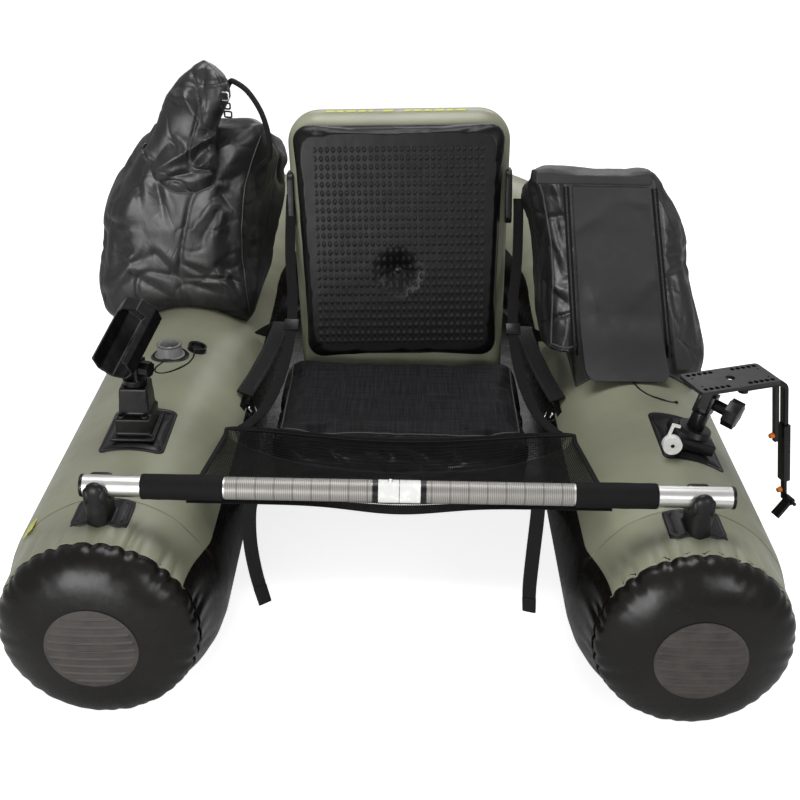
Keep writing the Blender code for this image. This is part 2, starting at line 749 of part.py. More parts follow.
def cushion_mesh(name, size, cells, crown, tuck, top_axis_taper=0.0, tuft=None):
    """A padded block: crowned on top, drawn in at its sides.

    The block stands on its origin and its crowned face looks along +Z. A taper
    narrows it towards -Y, and a tuft is (x, y, depth, reach) on the crowned face.
    """
    bm = bmesh.new()
    width, depth, height = size
    columns, rows, layers = cells
    grid = {}

    def place(i, j, k):
        key = (i, j, k)
        if key not in grid:
            u = 2 * i / columns - 1
            v = 2 * j / rows - 1
            w = k / layers
            belly = 4 * w * (1 - w)
            half = width / 2 - top_axis_taper * (1 - v) / 2
            x = u * (half - tuck * (1 - belly))
            y = v * (depth / 2 - tuck * (1 - belly))
            z = height * w
            if w == 1:
                rim = max(abs(u), abs(v))
                z += crown * (1 - u * u) * (1 - v * v) - tuck / 2 * rim ** 6
                if tuft:
                    reach = ((x - tuft[0]) ** 2 + (y - tuft[1]) ** 2) / tuft[3] ** 2
                    z -= tuft[2] * math.exp(-reach)
            grid[key] = bm.verts.new((x, y, z))
        return grid[key]

    def patch(first, second, make, flip):
        for a in range(first):
            for b in range(second):
                ring = [make(a, b), make(a + 1, b), make(a + 1, b + 1), make(a, b + 1)]
                if flip:
                    ring.reverse()
                bm.faces.new(ring)

    patch(columns, rows, lambda a, b: place(a, b, layers), False)
    patch(columns, rows, lambda a, b: place(a, b, 0), True)
    patch(columns, layers, lambda a, b: place(a, 0, b), False)
    patch(columns, layers, lambda a, b: place(a, rows, b), True)
    patch(rows, layers, lambda a, b: place(0, a, b), True)
    patch(rows, layers, lambda a, b: place(columns, a, b), False)
    return mesh_of(bm, name)


def build_seat(kit):
    """Fabric floor between the tubes, and the seat cushion on it."""
    sling_x = 2 * (INNER_X - GAP)
    sling_y = SLING_BACK - SLING_FRONT
    centre = (0, (SLING_BACK + SLING_FRONT) / 2, AXIS_HEIGHT)
    kit.piece("seat_base_panel", box_mesh("sling", (sling_x, sling_y, SLING_SKIN)), "black_fabric",
              location=centre)
    depth = SEAT_BACK - SEAT_FRONT
    cushion = cushion_mesh("seat", (SEAT_WIDTH, depth, SEAT_THICKNESS - SEAT_CROWN), (14, 10, 4),
                           SEAT_CROWN, SEAT_TUCK)
    kit.piece("seat_cushion", cushion, "seat_cloth",
              location=(0, SEAT_FRONT + depth / 2, SLING_TOP + GAP))


def build_backrest(kit):
    """Olive inflated shell with its side tabs, and the black tufted pad."""
    frame = kit.empty("backrest_pivot", kit.root, (0, PIVOT_Y, PIVOT_Z), (-RECLINE, 0, 0))
    pad_height = PAD_TOP - PAD_BOTTOM
    tuft = (0, TUFT_HEIGHT - PAD_BOTTOM - pad_height / 2, TUFT_DEPTH, TUFT_REACH)
    pad = cushion_mesh("pad", (PAD_WIDTH, pad_height, PAD_THICKNESS - PAD_CROWN), (14, 16, 2),
                       PAD_CROWN, PAD_TUCK, SHELL_TAPER, tuft)
    rear = PAD_THICKNESS - PAD_CROWN
    kit.piece("backrest_pad", pad, "pad_vinyl", frame, (0, rear, PAD_BOTTOM + pad_height / 2),
              (math.pi / 2, 0, 0))
    shell_front = rear + GAP
    shell_back = shell_front + SHELL_THICKNESS
    drop = PIVOT_Z - SLING_TOP - GAP
    foot = (drop - shell_back * math.sin(RECLINE)) / math.cos(RECLINE)
    shell_height = SHELL_TOP + foot
    outline = rounded_outline(SHELL_WIDTH, shell_height, SHELL_CORNER, 4, SHELL_TAPER)
    shell = kit.piece("backrest_shell", plate_curve("shell", outline, SHELL_THICKNESS), "olive_fabric",
                      frame, (0, (shell_front + shell_back) / 2, (SHELL_TOP - foot) / 2),
                      (math.pi / 2, 0, 0))
    weld = shell.modifiers.new("weld", 'WELD')
    weld.merge_threshold = MERGE
    edge = shell.modifiers.new("edge", 'BEVEL')
    edge.width = SHELL_ROUND
    edge.segments = 2
    edge.limit_method = 'ANGLE'
    edge.angle_limit = SHARP
    shell = as_mesh(kit, shell)
    tabs = []
    for side in (-1, 1):
        reach = SHELL_WIDTH / 2 + TAB_WIDTH / 2 - SHELL_TAPER * (SHELL_TOP - TAB_LEVEL) / shell_height
        tab = box_mesh("tab", (2 * TAB_WIDTH, TAB_DEPTH, TAB_HEIGHT), edge=TAB_WIDTH / 4)
        tabs.append(kit.guide("tab", tab, frame, (side * (reach - TAB_WIDTH / 2),
                                                  (shell_front + shell_back) / 2, TAB_LEVEL)))
    for tab in tabs:
        carve(shell, tab, 'UNION')
    return frame


def bar_piece(kit, name, finish, start, length, radius, wall, side=1):
    """A tube round the bar's axis, from a distance along it."""
    profile = [(radius, length), (radius, 0)]
    obj = kit.piece(name, turned_mesh(name, profile), finish, location=(side * start, BAR_Y, BAR_Z),
                    rotation=(0, side * math.pi / 2, 0))
    return thicken(screw(obj, BAR_STEPS), wall)


def build_bar(kit):
    """The two-part tube, its button, grips and end caps."""
    half = BAR_LENGTH / 2
    bore = BAR_RADIUS - BAR_WALL
    sleeve = bore - GAP
    throat = sleeve - SLEEVE_WALL
    reach = SLEEVE_LENGTH / 2
    wide = BUTTON_RADIUS + 2 * RUN
    hole = frustum_mesh("hole", wide, wide, BAR_RADIUS + OVERRUN, 12)
    drill = kit.guide("button_hole", hole, location=(BUTTON_X, BAR_Y, BAR_Z + BAR_RADIUS / 2))
    for side, word in ((-1, "left"), (1, "right")):
        length = half + side * BAR_SHIFT - GAP / 2
        along = (0, side * math.pi / 2, 0)
        if side < 0:
            tube = bar_piece(kit, "bar_tube_left", "aluminium", GAP / 2, length, BAR_RADIUS, BAR_WALL, side)
        else:
            profile = [(BAR_RADIUS, length), (BAR_RADIUS, 0), (sleeve, 0), (sleeve, -reach), (throat, -reach),
                       (throat, reach), (bore, reach), (bore, length), (BAR_RADIUS, length)]
            tube = kit.piece("bar_tube_right", turned_mesh("bar_tube_right", profile), "aluminium",
                             location=(GAP / 2, BAR_Y, BAR_Z), rotation=along)
            screw(tube, BAR_STEPS)
        carve(tube, drill)
        bar_piece(kit, "bar_grip_" + word, "foam", GRIP_START, GRIP_LENGTH, BAR_RADIUS + GAP + GRIP_SKIN,
                  GRIP_SKIN, side)
        plug = bore - GAP
        rim = BAR_RADIUS + CAP_RIM
        profile = [(0, CAP_THICKNESS), (rim, CAP_THICKNESS), (rim, 0), (plug, 0), (plug, -CAP_PLUG),
                   (0, -CAP_PLUG)]
        end = side * half + BAR_SHIFT + side * GAP
        cap = kit.piece("bar_cap_" + word, turned_mesh("cap", profile), "black_plastic",
                        location=(end, BAR_Y, BAR_Z), rotation=along)
        screw(cap, BAR_STEPS)
    crown = BAR_RADIUS + BUTTON_RISE
    facet = math.cos(math.pi / BAR_STEPS)
    flange = math.sqrt(throat ** 2 - BUTTON_FLANGE ** 2) * facet - GAP
    seat = flange - BUTTON_FLANGE_HEIGHT
    profile = [(0, crown), (BUTTON_RADIUS * BUTTON_TOP_SHARE, crown),
               (BUTTON_RADIUS, crown - BUTTON_RADIUS / 2), (BUTTON_RADIUS, flange), (BUTTON_FLANGE, flange),
               (BUTTON_FLANGE, seat), (0, seat)]
    button = kit.piece("snap_button", turned_mesh("button", profile), "aluminium",
                       location=(BUTTON_X, BAR_Y, BAR_Z))
    screw(button, 12)
    leaf = box_mesh("leaf", (SPRING_LENGTH, SPRING_WIDTH, SPRING_SKIN),
                    (SPRING_LENGTH / 2, 0, flange - SPRING_SKIN / 2 - BUTTON_FLANGE_HEIGHT / 4))
    carve(button, kit.guide("snap_leaf", leaf, location=(BUTTON_X, BAR_Y, BAR_Z)), 'UNION')


def kit_strap(kit, name, finish, points, width, thickness, parent=None):
    """A flat strap along the points, its width level."""
    half_x, half_y = width / 2, thickness / 2
    corners = [(half_x, half_y), (half_x, -half_y), (-half_x, -half_y), (-half_x, half_y)]
    outline = kit.guide(name + "_section", curve_of(name, corners, dimensions='2D', cyclic=True))
    data = curve_of(name, points)
    data.bevel_mode = 'OBJECT'
    data.bevel_object = outline
    data.use_fill_caps = True
    return kit.piece(name, data, finish, parent)


def fork_outline():
    """Side view of a fork post round the bar's axis."""
    slot = BAR_RADIUS + GAP
    base = -(BAR_Z - AXIS_HEIGHT - PAD_FACE) - PAD_SKIN / 2
    waist = base * FORK_WAIST_SHARE
    points = [(-FORK_FOOT, base), (FORK_FOOT, base), (FORK_WAIST, waist)]

    def jaw(middle):
        for step in range(FORK_ARC_STEPS + 1):
            angle = middle + FORK_ARC * (2 * step / FORK_ARC_STEPS - 1)
            points.append((FORK_RADIUS * math.cos(angle), FORK_RADIUS * math.sin(angle) - FORK_SINK))

    jaw(0.0)
    points.append((slot, FORK_TIP))
    for step in range(FORK_ARC_STEPS + 1):
        angle = -math.pi * step / FORK_ARC_STEPS
        points.append((slot * math.cos(angle), slot * math.sin(angle)))
    points.append((-slot, FORK_TIP))
    jaw(math.pi)
    points.append((-FORK_WAIST, waist))
    return points


def build_forks(kit):
    """Rubber fork posts, moulded on their pads, that hold the bar on the tubes."""
    upright = (math.pi / 2, 0, math.pi / 2)
    for side, word in ((-1, "left"), (1, "right")):
        fork = kit.piece("bar_post_" + word, plate_curve("fork", fork_outline(), FORK_WIDTH), "black_rubber",
                         location=(side * AXIS_X, BAR_Y, BAR_Z), rotation=upright)
        weld = fork.modifiers.new("weld", 'WELD')
        weld.merge_threshold = MERGE
        edge = fork.modifiers.new("edge", 'BEVEL')
        edge.width = FORK_ROUND
        edge.segments = 2
        edge.limit_method = 'ANGLE'
        edge.angle_limit = FORK_SHARP
        fork = as_mesh(kit, fork)
        pad = tube_pad(kit, "bar_pad_" + word, side, 0.0, BAR_PAD_SPAN, BAR_PAD_FRONT, BAR_PAD_BACK)
        kit.parts.objects.unlink(pad)
        kit.cutters.objects.link(pad)
        pad.hide_render = True
        carve(fork, as_mesh(kit, pad), 'UNION')


def tube_pad(kit, name, side, tilt, span, front, back):
    """A rubber sheet welded on the tube, tilted outward from its top."""
    outer = TUBE_RADIUS + GAP + PAD_SKIN
    points = []
    for angle, radius in facet_points(math.pi - tilt - span, math.pi - tilt + span):
        points.append((-side * outer * radius * math.sin(angle), -outer * radius * math.cos(angle)))
    if side < 0:
        points.reverse()
    outline = kit.guide(name + "_section", curve_of(name, points, dimensions='2D'))
    places = [(side * AXIS_X, front, AXIS_HEIGHT), (side * AXIS_X, back, AXIS_HEIGHT)]
    data = curve_of(name, places)
    data.bevel_mode = 'OBJECT'
    data.bevel_object = outline
    return thicken(kit.piece(name, data, "black_rubber"), PAD_SKIN)


def build_pads(kit):
    """The two pads under the accessory bases."""
    tube_pad(kit, "rod_pad", -1, 0.0, ROD_PAD_SPAN, ROD_PAD_FRONT, ROD_PAD_BACK)
    tube_pad(kit, "finder_pad", 1, -FINDER_TILT, FINDER_PAD_SPAN, FINDER_PAD_FRONT, FINDER_PAD_BACK)


def knob(kit, name, parent, location, radius, length, neck, shaft):
    """A lobed knob beside what it clamps, its shaft running on through it.

    It stands at location along the parent's X, first its neck and then its head.
    """
    across = (0, math.pi / 2, 0)
    x, y, z = location
    outline = knob_outline(radius, KNOB_LOBES)
    middle = (x + neck + length / 2, y, z)
    head = as_mesh(kit, kit.piece(name, plate_curve(name, outline, length), "black_plastic", parent,
                                  middle, across))
    if neck:
        hub = frustum_mesh("hub", 3 * AXLE_RADIUS, 3 * AXLE_RADIUS, neck + length / 2, 12)
        carve(head, kit.guide(name + "_hub", hub, parent, location, across), 'UNION')
    stem = frustum_mesh("stem", AXLE_RADIUS, AXLE_RADIUS, shaft + neck + length / 2, 12, (0, 0, -shaft))
    return carve(head, kit.guide(name + "_stem", stem, parent, location, across), 'UNION')


def clevis(kit, parent, height, width, gap, wall, rise):
    """Two ears with a pin hole, standing on a height, as one cutter to join."""
    span = gap + 2 * wall
    body = box_mesh("ears", (span, width, rise + width / 2), (0, 0, height + (rise + width / 2) / 2))
    ears = kit.guide("ears", body, parent)
    room = box_mesh("room", (gap, width + OVERRUN, rise + width), (0, 0, height + (rise + width) / 2))
    carve(ears, kit.guide("ear_room", room, parent))
    return ears


def build_rod_holder(kit):
    """Base, turret with ears, tilting cup and its knob, on the left tube."""
    floor = AXIS_HEIGHT + PAD_FACE
    frame = kit.empty("rod_frame", kit.root, (-AXIS_X, ROD_Y, floor))
    base = kit.piece("rod_base", box_mesh("rod_base", (ROD_FLANGE_X, ROD_FLANGE_Y, ROD_FLANGE_Z),
                                          (0, 0, ROD_FLANGE_Z / 2), ROD_EDGE), "black_plastic", frame)
    block = box_mesh("block", (ROD_BLOCK_X, ROD_BLOCK_Y, ROD_BLOCK_Z + ROD_EDGE),
                     (0, 0, ROD_FLANGE_Z + (ROD_BLOCK_Z - ROD_EDGE) / 2), ROD_EDGE / 2, 1)
    carve(base, kit.guide("rod_block", block, frame), 'UNION')
    shelf = ROD_FLANGE_Z + ROD_BLOCK_Z
    root_two = math.sqrt(2.0)
    post = frustum_mesh("post", ROD_POST_FOOT / root_two, ROD_POST_TOP / root_two, ROD_POST_Z + ROD_EDGE, 4,
                        (0, ROD_LEDGE / 2, shelf - ROD_EDGE), math.pi / 4)
    carve(base, kit.guide("rod_post", post, frame), 'UNION')
    for side in (-1, 1):
        place = (side * ROD_BLOCK_X / 3, -ROD_BLOCK_Y / 2 + ROD_LEDGE / 2, shelf)
        hole = frustum_mesh("hole", PLATE_SCREW_HOLE, PLATE_SCREW_HOLE, OVERRUN, 12, (0, 0, -OVERRUN / 2))
        carve(base, kit.guide("rod_screw_hole", hole, frame, place))
    turret = kit.empty("rod_turret", frame, (0, ROD_LEDGE / 2, shelf + ROD_POST_Z + GAP), (0, 0, ROD_YAW))
    swivel = kit.piece("rod_swivel", frustum_mesh("turret", TURRET_RADIUS, TURRET_RADIUS, TURRET_Z, 20),
                       "black_plastic", turret)
    carve(swivel, clevis(kit, turret, TURRET_Z - ROD_EDGE, EAR_WIDTH, EAR_GAP, EAR_THICKNESS, EAR_HEIGHT),
          'UNION')
    pivot = TURRET_Z + EAR_HEIGHT - ROD_EDGE
    tilt = kit.empty("rod_tilt", turret, (0, 0, pivot), (ROD_PITCH, 0, 0))
    across = (0, math.pi / 2, 0)
    bore = AXLE_RADIUS + GAP
    pin = frustum_mesh("pin", bore, bore, EAR_GAP + 4 * EAR_THICKNESS, 12,
                       (0, 0, -EAR_GAP / 2 - 2 * EAR_THICKNESS))
    carve(swivel, kit.guide("rod_pin_hole", pin, turret, (0, 0, pivot), across))
    reach = EAR_GAP / 2 + EAR_THICKNESS + GAP
    knob(kit, "rod_knob", turret, (reach, 0, pivot), ROD_KNOB_RADIUS, ROD_KNOB_LENGTH, 0.0,
         EAR_GAP + 2 * EAR_THICKNESS)
    build_cradle(kit, tilt, bore)


def build_cradle(kit, tilt, bore):
    """The cup for a rod: eight sides, open on top but for a ring at the back."""
    lift = EAR_WIDTH / 2 + CRADLE_LIFT
    centre_z = lift + CRADLE_RADIUS
    turn = math.pi / CRADLE_SIDES
    along = (math.pi / 2, 0, 0)
    front = -CRADLE_LENGTH / 2 + CRADLE_BACKSET
    place = (0, front + CRADLE_LENGTH, centre_z)
    shell = frustum_mesh("cradle", CRADLE_RADIUS, CRADLE_RADIUS, CRADLE_LENGTH, CRADLE_SIDES, turn=turn)
    cup = kit.piece("rod_cradle", shell, "black_plastic", tilt, place, along)
    half_lug = (EAR_GAP - 2 * RUN) / 2
    lug = box_mesh("lug", (2 * half_lug, LUG_WIDTH, lift + AXLE_RADIUS * 6), (0, 0, lift / 2))
    carve(cup, kit.guide("lug", lug, tilt), 'UNION')
    inside = CRADLE_RADIUS - CRADLE_WALL
    core = frustum_mesh("core", inside, inside, CRADLE_LENGTH + 2 * OVERRUN, CRADLE_SIDES,
                        (0, 0, -OVERRUN), turn)
    carve(cup, kit.guide("cradle_core", core, tilt, place, along))
    slot_length = CRADLE_LENGTH - CRADLE_RING
    slot = box_mesh("slot", (CRADLE_SLOT, slot_length + OVERRUN, CRADLE_RADIUS + OVERRUN),
                    (0, -OVERRUN / 2, (CRADLE_RADIUS + OVERRUN) / 2))
    carve(cup, kit.guide("cradle_slot", slot, tilt, (0, front + slot_length / 2, centre_z)))
    pin = frustum_mesh("pin", bore, bore, EAR_GAP + OVERRUN, 12, (0, 0, -(EAR_GAP + OVERRUN) / 2))
    carve(cup, kit.guide("cradle_pin_hole", pin, tilt, (0, 0, 0), (0, math.pi / 2, 0)))


def build_finder(kit):
    """Base on a tilted facet, lock, leaning post, knob and drilled plate."""
    tilt = (0, FINDER_TILT, 0)
    frame = kit.empty("finder_frame", kit.root, (AXIS_X, 0, AXIS_HEIGHT), tilt)
    seat = kit.empty("finder_seat", frame, (0, FINDER_Y, PAD_FACE))
    size = (FINDER_BASE_X, FINDER_BASE_Y, FINDER_BASE_Z)
    base = kit.piece("finder_base", box_mesh("finder_base", size, (0, 0, FINDER_BASE_Z / 2), FINDER_EDGE),
                     "black_plastic", seat)
    disc = frustum_mesh("disc", FINDER_DISC_RADIUS, FINDER_DISC_RADIUS - FINDER_EDGE, FINDER_DISC_Z + FINDER_EDGE,
                        24, (0, 0, FINDER_BASE_Z - FINDER_EDGE))
    carve(base, kit.guide("finder_disc", disc, seat), 'UNION')
    build_lock(kit, frame, base, seat)
    top = FINDER_BASE_Z + FINDER_DISC_Z + GAP
    yaw = kit.empty("finder_swivel", seat, (0, 0, top), (0, 0, FINDER_YAW))
    post = kit.piece("finder_post", frustum_mesh("post", POST_RADIUS, POST_RADIUS, POST_Z, 16),
                     "black_plastic", yaw)
    carve(post, clevis(kit, yaw, POST_Z - RUN, EAR_WIDTH, EAR_GAP, EAR_THICKNESS, EAR_HEIGHT), 'UNION')
    pivot = POST_Z + EAR_HEIGHT - RUN
    across = (0, math.pi / 2, 0)
    bore = AXLE_RADIUS + GAP
    pin = frustum_mesh("pin", bore, bore, EAR_GAP + 4 * EAR_THICKNESS, 12,
                       (0, 0, -EAR_GAP / 2 - 2 * EAR_THICKNESS))
    carve(post, kit.guide("finder_pin_hole", pin, yaw, (0, 0, pivot), across))
    reach = EAR_GAP / 2 + EAR_THICKNESS + GAP
    knob(kit, "finder_knob", yaw, (reach, 0, pivot), FINDER_KNOB_RADIUS, FINDER_KNOB_LENGTH,
         FINDER_KNOB_NECK, EAR_GAP + 2 * EAR_THICKNESS)
    build_plate(kit, yaw, pivot, bore)


def build_lock(kit, frame, base, seat):
    """White lock of the base: a round knob on a pin, with a hooked arm."""
    place = (LOCK_X, LOCK_Y, PAD_FACE + LOCK_RISE)
    forward = (math.pi / 2, 0, 0)
    lock = kit.piece("finder_lock", frustum_mesh("lock", LOCK_RADIUS, LOCK_RADIUS, LOCK_LENGTH, 24),
                     "white_plastic", frame, place, forward)
    arm_z = LOCK_REACH / 2
    arm = box_mesh("arm", (LOCK_ARM, LOCK_REACH, LOCK_ARM), (-LOCK_RADIUS / 2, arm_z, -LOCK_ARM / 2 + GAP))
    carve(lock, kit.guide("lock_arm", arm, frame, place, forward), 'UNION')
    hook_x = -LOCK_RADIUS / 2 + LOCK_HOOK / 2
    hook = box_mesh("hook", (LOCK_HOOK + LOCK_ARM, LOCK_ARM, LOCK_ARM),
                    (hook_x, LOCK_REACH - LOCK_ARM / 2, -LOCK_ARM / 2 + GAP))
    carve(lock, kit.guide("lock_hook", hook, frame, place, forward), 'UNION')
    hole = frustum_mesh("lock_hole", AXLE_RADIUS + GAP, AXLE_RADIUS + GAP, LOCK_LENGTH + 2 * OVERRUN, 12,
                        (0, 0, -OVERRUN))
    carve(lock, kit.guide("lock_hole", hole, frame, place, forward))
    ear_front = LOCK_Y + GAP
    ear_back = FINDER_Y - FINDER_BASE_Y / 2 + FINDER_EDGE
    ear_x = -FINDER_BASE_X / 2 - LOCK_X + FINDER_EDGE
    ear_radius = 3 * AXLE_RADIUS / 2
    ear = box_mesh("lock_ear", (ear_x, ear_back - ear_front, 2 * ear_radius),
                   (ear_x / 2, (ear_back + ear_front) / 2 - LOCK_Y, 0))
    carve(base, kit.guide("lock_ear", ear, frame, place), 'UNION')
    boss = frustum_mesh("lock_boss", ear_radius, ear_radius, ear_back - ear_front, 16, (0, 0, LOCK_Y - ear_back))
    carve(base, kit.guide("lock_boss", boss, frame, place, forward), 'UNION')
    pin = frustum_mesh("lock_pin", AXLE_RADIUS, AXLE_RADIUS, LOCK_LENGTH + AXLE_RADIUS, 12,
                       (0, 0, -AXLE_RADIUS))
    carve(base, kit.guide("lock_pin", pin, frame, place, forward), 'UNION')


def build_plate(kit, yaw, pivot, bore):
    """Level drilled plate on its lug, and the transducer arm under it."""
    height = PAD_FACE + FINDER_BASE_Z + FINDER_DISC_Z + GAP + pivot
    middle = (AXIS_X + height * math.sin(FINDER_TILT), FINDER_Y, AXIS_HEIGHT + height * math.cos(FINDER_TILT))
    frame = kit.empty("plate_frame", kit.root, middle, (0, 0, PLATE_YAW))
    place = (PLATE_SHIFT_X, PLATE_SHIFT_Y, PLATE_LIFT + PLATE_Z / 2)
    outline = rounded_outline(PLATE_X, PLATE_Y, PLATE_CORNER, 2)
    plate = as_mesh(kit, kit.piece("finder_plate", plate_curve("plate", outline, PLATE_Z), "black_plastic",
                                   frame, place))
    lug_x = EAR_GAP - 2 * RUN
    lug_z = LUG_WIDTH / 2 + PLATE_LIFT + PLATE_Z / 2
    lug = box_mesh("lug", (lug_x, LUG_WIDTH, lug_z), (0, 0, lug_z / 2 - LUG_WIDTH / 2))
    carve(plate, kit.guide("plate_lug", lug, yaw, (0, 0, pivot)), 'UNION')
    top = box_mesh("plate_top", (PLATE_X, PLATE_X, PLATE_Z), (0, 0, PLATE_Z))
    carve(plate, kit.guide("plate_top", top, frame, place))
    pin = frustum_mesh("pin", bore, bore, EAR_GAP + OVERRUN, 12, (0, 0, -(EAR_GAP + OVERRUN) / 2))
    carve(plate, kit.guide("plate_pin_hole", pin, yaw, (0, 0, pivot), (0, math.pi / 2, 0)))
    carve(plate, kit.guide("plate_holes", plate_holes(), frame, place))
    build_arm(kit, frame)


def plate_holes():
    """One cutter with the plate's middle hole and its rows of screw holes."""
    bm = bmesh.new()
    depth = PLATE_Z + 2 * OVERRUN

    def drill(x, y, radius, sides):
        made = bmesh.ops.create_cone(bm, cap_ends=True, segments=sides, radius1=radius, radius2=radius,
                                     depth=depth)
        bmesh.ops.translate(bm, vec=(x, y, 0), verts=made["verts"])

    drill(0, 0, PLATE_HOLE, 16)
    for side_x in (-1, 1):
        for side_y in (-1, 1):
            for row in HOLE_ROW_SHARES:
                drill(side_x * row * PLATE_X / 2, side_y * HOLE_LINE_SHARES[1] * PLATE_Y / 2,
                      PLATE_SCREW_HOLE, HOLE_SIDES)
            drill(side_x * HOLE_ROW_SHARES[-1] * PLATE_X / 2, side_y * HOLE_LINE_SHARES[0] * PLATE_Y / 2,
                  PLATE_SCREW_HOLE, HOLE_SIDES)
    return mesh_of(bm, "plate_holes")


def build_arm(kit, frame):
    """Bent arm that swings under the plate, its sliding box, and the foot."""
    start = PLATE_SHIFT_X + ARM_START_X
    y = PLATE_SHIFT_Y + ARM_Y
    level = PLATE_LIFT - GAP - ARM_THICKNESS / 2
    corner = PLATE_SHIFT_X + ARM_REACH
    sweep = math.pi / 2 - ARM_LEAN
    hinge = kit.empty("arm_hinge", frame, (start, y, level))
    points = [(-ARM_WIDTH / 2, 0, 0)]
    for step in range(5):
        angle = sweep * step / 4
        points.append((corner - start + ARM_BEND * math.sin(angle), 0, -ARM_BEND * (1 - math.cos(angle))))
    line_x, _, line_z = points[-1]
    down = Vector((math.sin(ARM_LEAN), 0, -math.cos(ARM_LEAN)))
    points.append(tuple(Vector(points[-1]) + down * ARM_DROP))
    arm = as_mesh(kit, kit_strap(kit, "transducer_arm", "black_plastic", points, ARM_WIDTH, ARM_THICKNESS, hinge))
    boss = frustum_mesh("boss", ARM_PIVOT_RADIUS, ARM_PIVOT_RADIUS, ARM_THICKNESS, 16,
                        (0, 0, -ARM_THICKNESS))
    carve(arm, kit.guide("arm_boss", boss, hinge), 'UNION')
    line = kit.empty("arm_line", hinge, (line_x, 0, line_z), (0, -ARM_LEAN, 0))
    strut = box_mesh("strut", (STRUT_WIDTH, STRUT_WIDTH, STRUT_DROP + STRUT_TOP),
                     (-STRUT_OFFSET, 0, (STRUT_TOP - STRUT_DROP) / 2))
    carve(arm, kit.guide("arm_strut", strut, line), 'UNION')
    inner_x, inner_y = ARM_THICKNESS + 2 * GAP, ARM_WIDTH + 2 * GAP
    outer = (inner_x + 2 * BOX_WALL, inner_y + 2 * BOX_WALL, BOX_LENGTH)
    box = kit.piece("transducer_sleeve", box_mesh("box", outer, (0, 0, -BOX_LENGTH / 2)), "black_plastic",
                    line, (0, 0, -BOX_TOP))
    room = BOX_LENGTH - 2 * BOX_WALL + OVERRUN
    carve(box, kit.guide("box_room", box_mesh("room", (inner_x, inner_y, room), (0, 0, OVERRUN - room / 2)),
                         line, (0, 0, -BOX_TOP)))
    neck = frustum_mesh("neck", NECK_RADIUS, NECK_RADIUS, NECK_LENGTH + BOX_WALL, 12, (0, 0, -NECK_LENGTH))
    low = (0, 0, -BOX_TOP - BOX_LENGTH)
    carve(box, kit.guide("neck", neck, line, low), 'UNION')
    elbow = (0, 0, low[2] - NECK_LENGTH + AXLE_RADIUS)
    forward = (math.pi / 2, 0, 0)
    pin_length = NECK_RADIUS + FOOT_WIDTH + 3 * AXLE_RADIUS
    pin = frustum_mesh("foot_pin", AXLE_RADIUS, AXLE_RADIUS, pin_length, 12)
    carve(box, kit.guide("foot_pin", pin, line, elbow, forward), 'UNION')
    hub = kit.empty("foot_hinge", line, (0, -NECK_RADIUS - GAP, elbow[2]), (0, ARM_LEAN + FOOT_TURN, 0))
    foot = kit.piece("transducer_foot", frustum_mesh("foot", FOOT_RADIUS, FOOT_RADIUS, FOOT_WIDTH, 16),
                     "black_plastic", hub, (0, 0, 0), forward)
    blade = box_mesh("blade", (FOOT_THICKNESS, FOOT_WIDTH, FOOT_LENGTH), (0, -FOOT_WIDTH / 2, -FOOT_LENGTH / 2))
    carve(foot, kit.guide("foot_blade", blade, hub), 'UNION')
    bore = frustum_mesh("foot_bore", AXLE_RADIUS + GAP, AXLE_RADIUS + GAP, FOOT_WIDTH + 2 * OVERRUN, 12,
                        (0, 0, -OVERRUN))
    carve(foot, kit.guide("foot_bore", bore, hub, (0, 0, 0), forward))
    inward = (0, -math.pi / 2, 0)
    faces = (("upper", (-STRUT_OFFSET - STRUT_WIDTH / 2 - GAP, 0, -THUMB_LEVEL)),
             ("lower", (-NECK_RADIUS - GAP, 0, low[2] - NECK_LENGTH / 2)))
    for word, face in faces:
        thumb = frustum_mesh("thumb", THUMB_RADIUS, THUMB_TOP_RADIUS, THUMB_LENGTH, 8)
        kit.piece("arm_screw_" + word, thumb, "orange_plastic", line, face, inward)


def facet_frame(kit, name, side, facets, y, height):
    """A frame on a tube's facet: its Z points out, its X runs round the tube."""
    angle = 2 * HALF_FACET * facets
    turn = -side * angle
    reach = AXIS_HEIGHT + height
    place = (side * (AXIS_X - reach * math.sin(angle)), y, AXIS_HEIGHT + reach * math.cos(angle))
    return kit.empty(name, kit.root, place, (0, turn, 0))


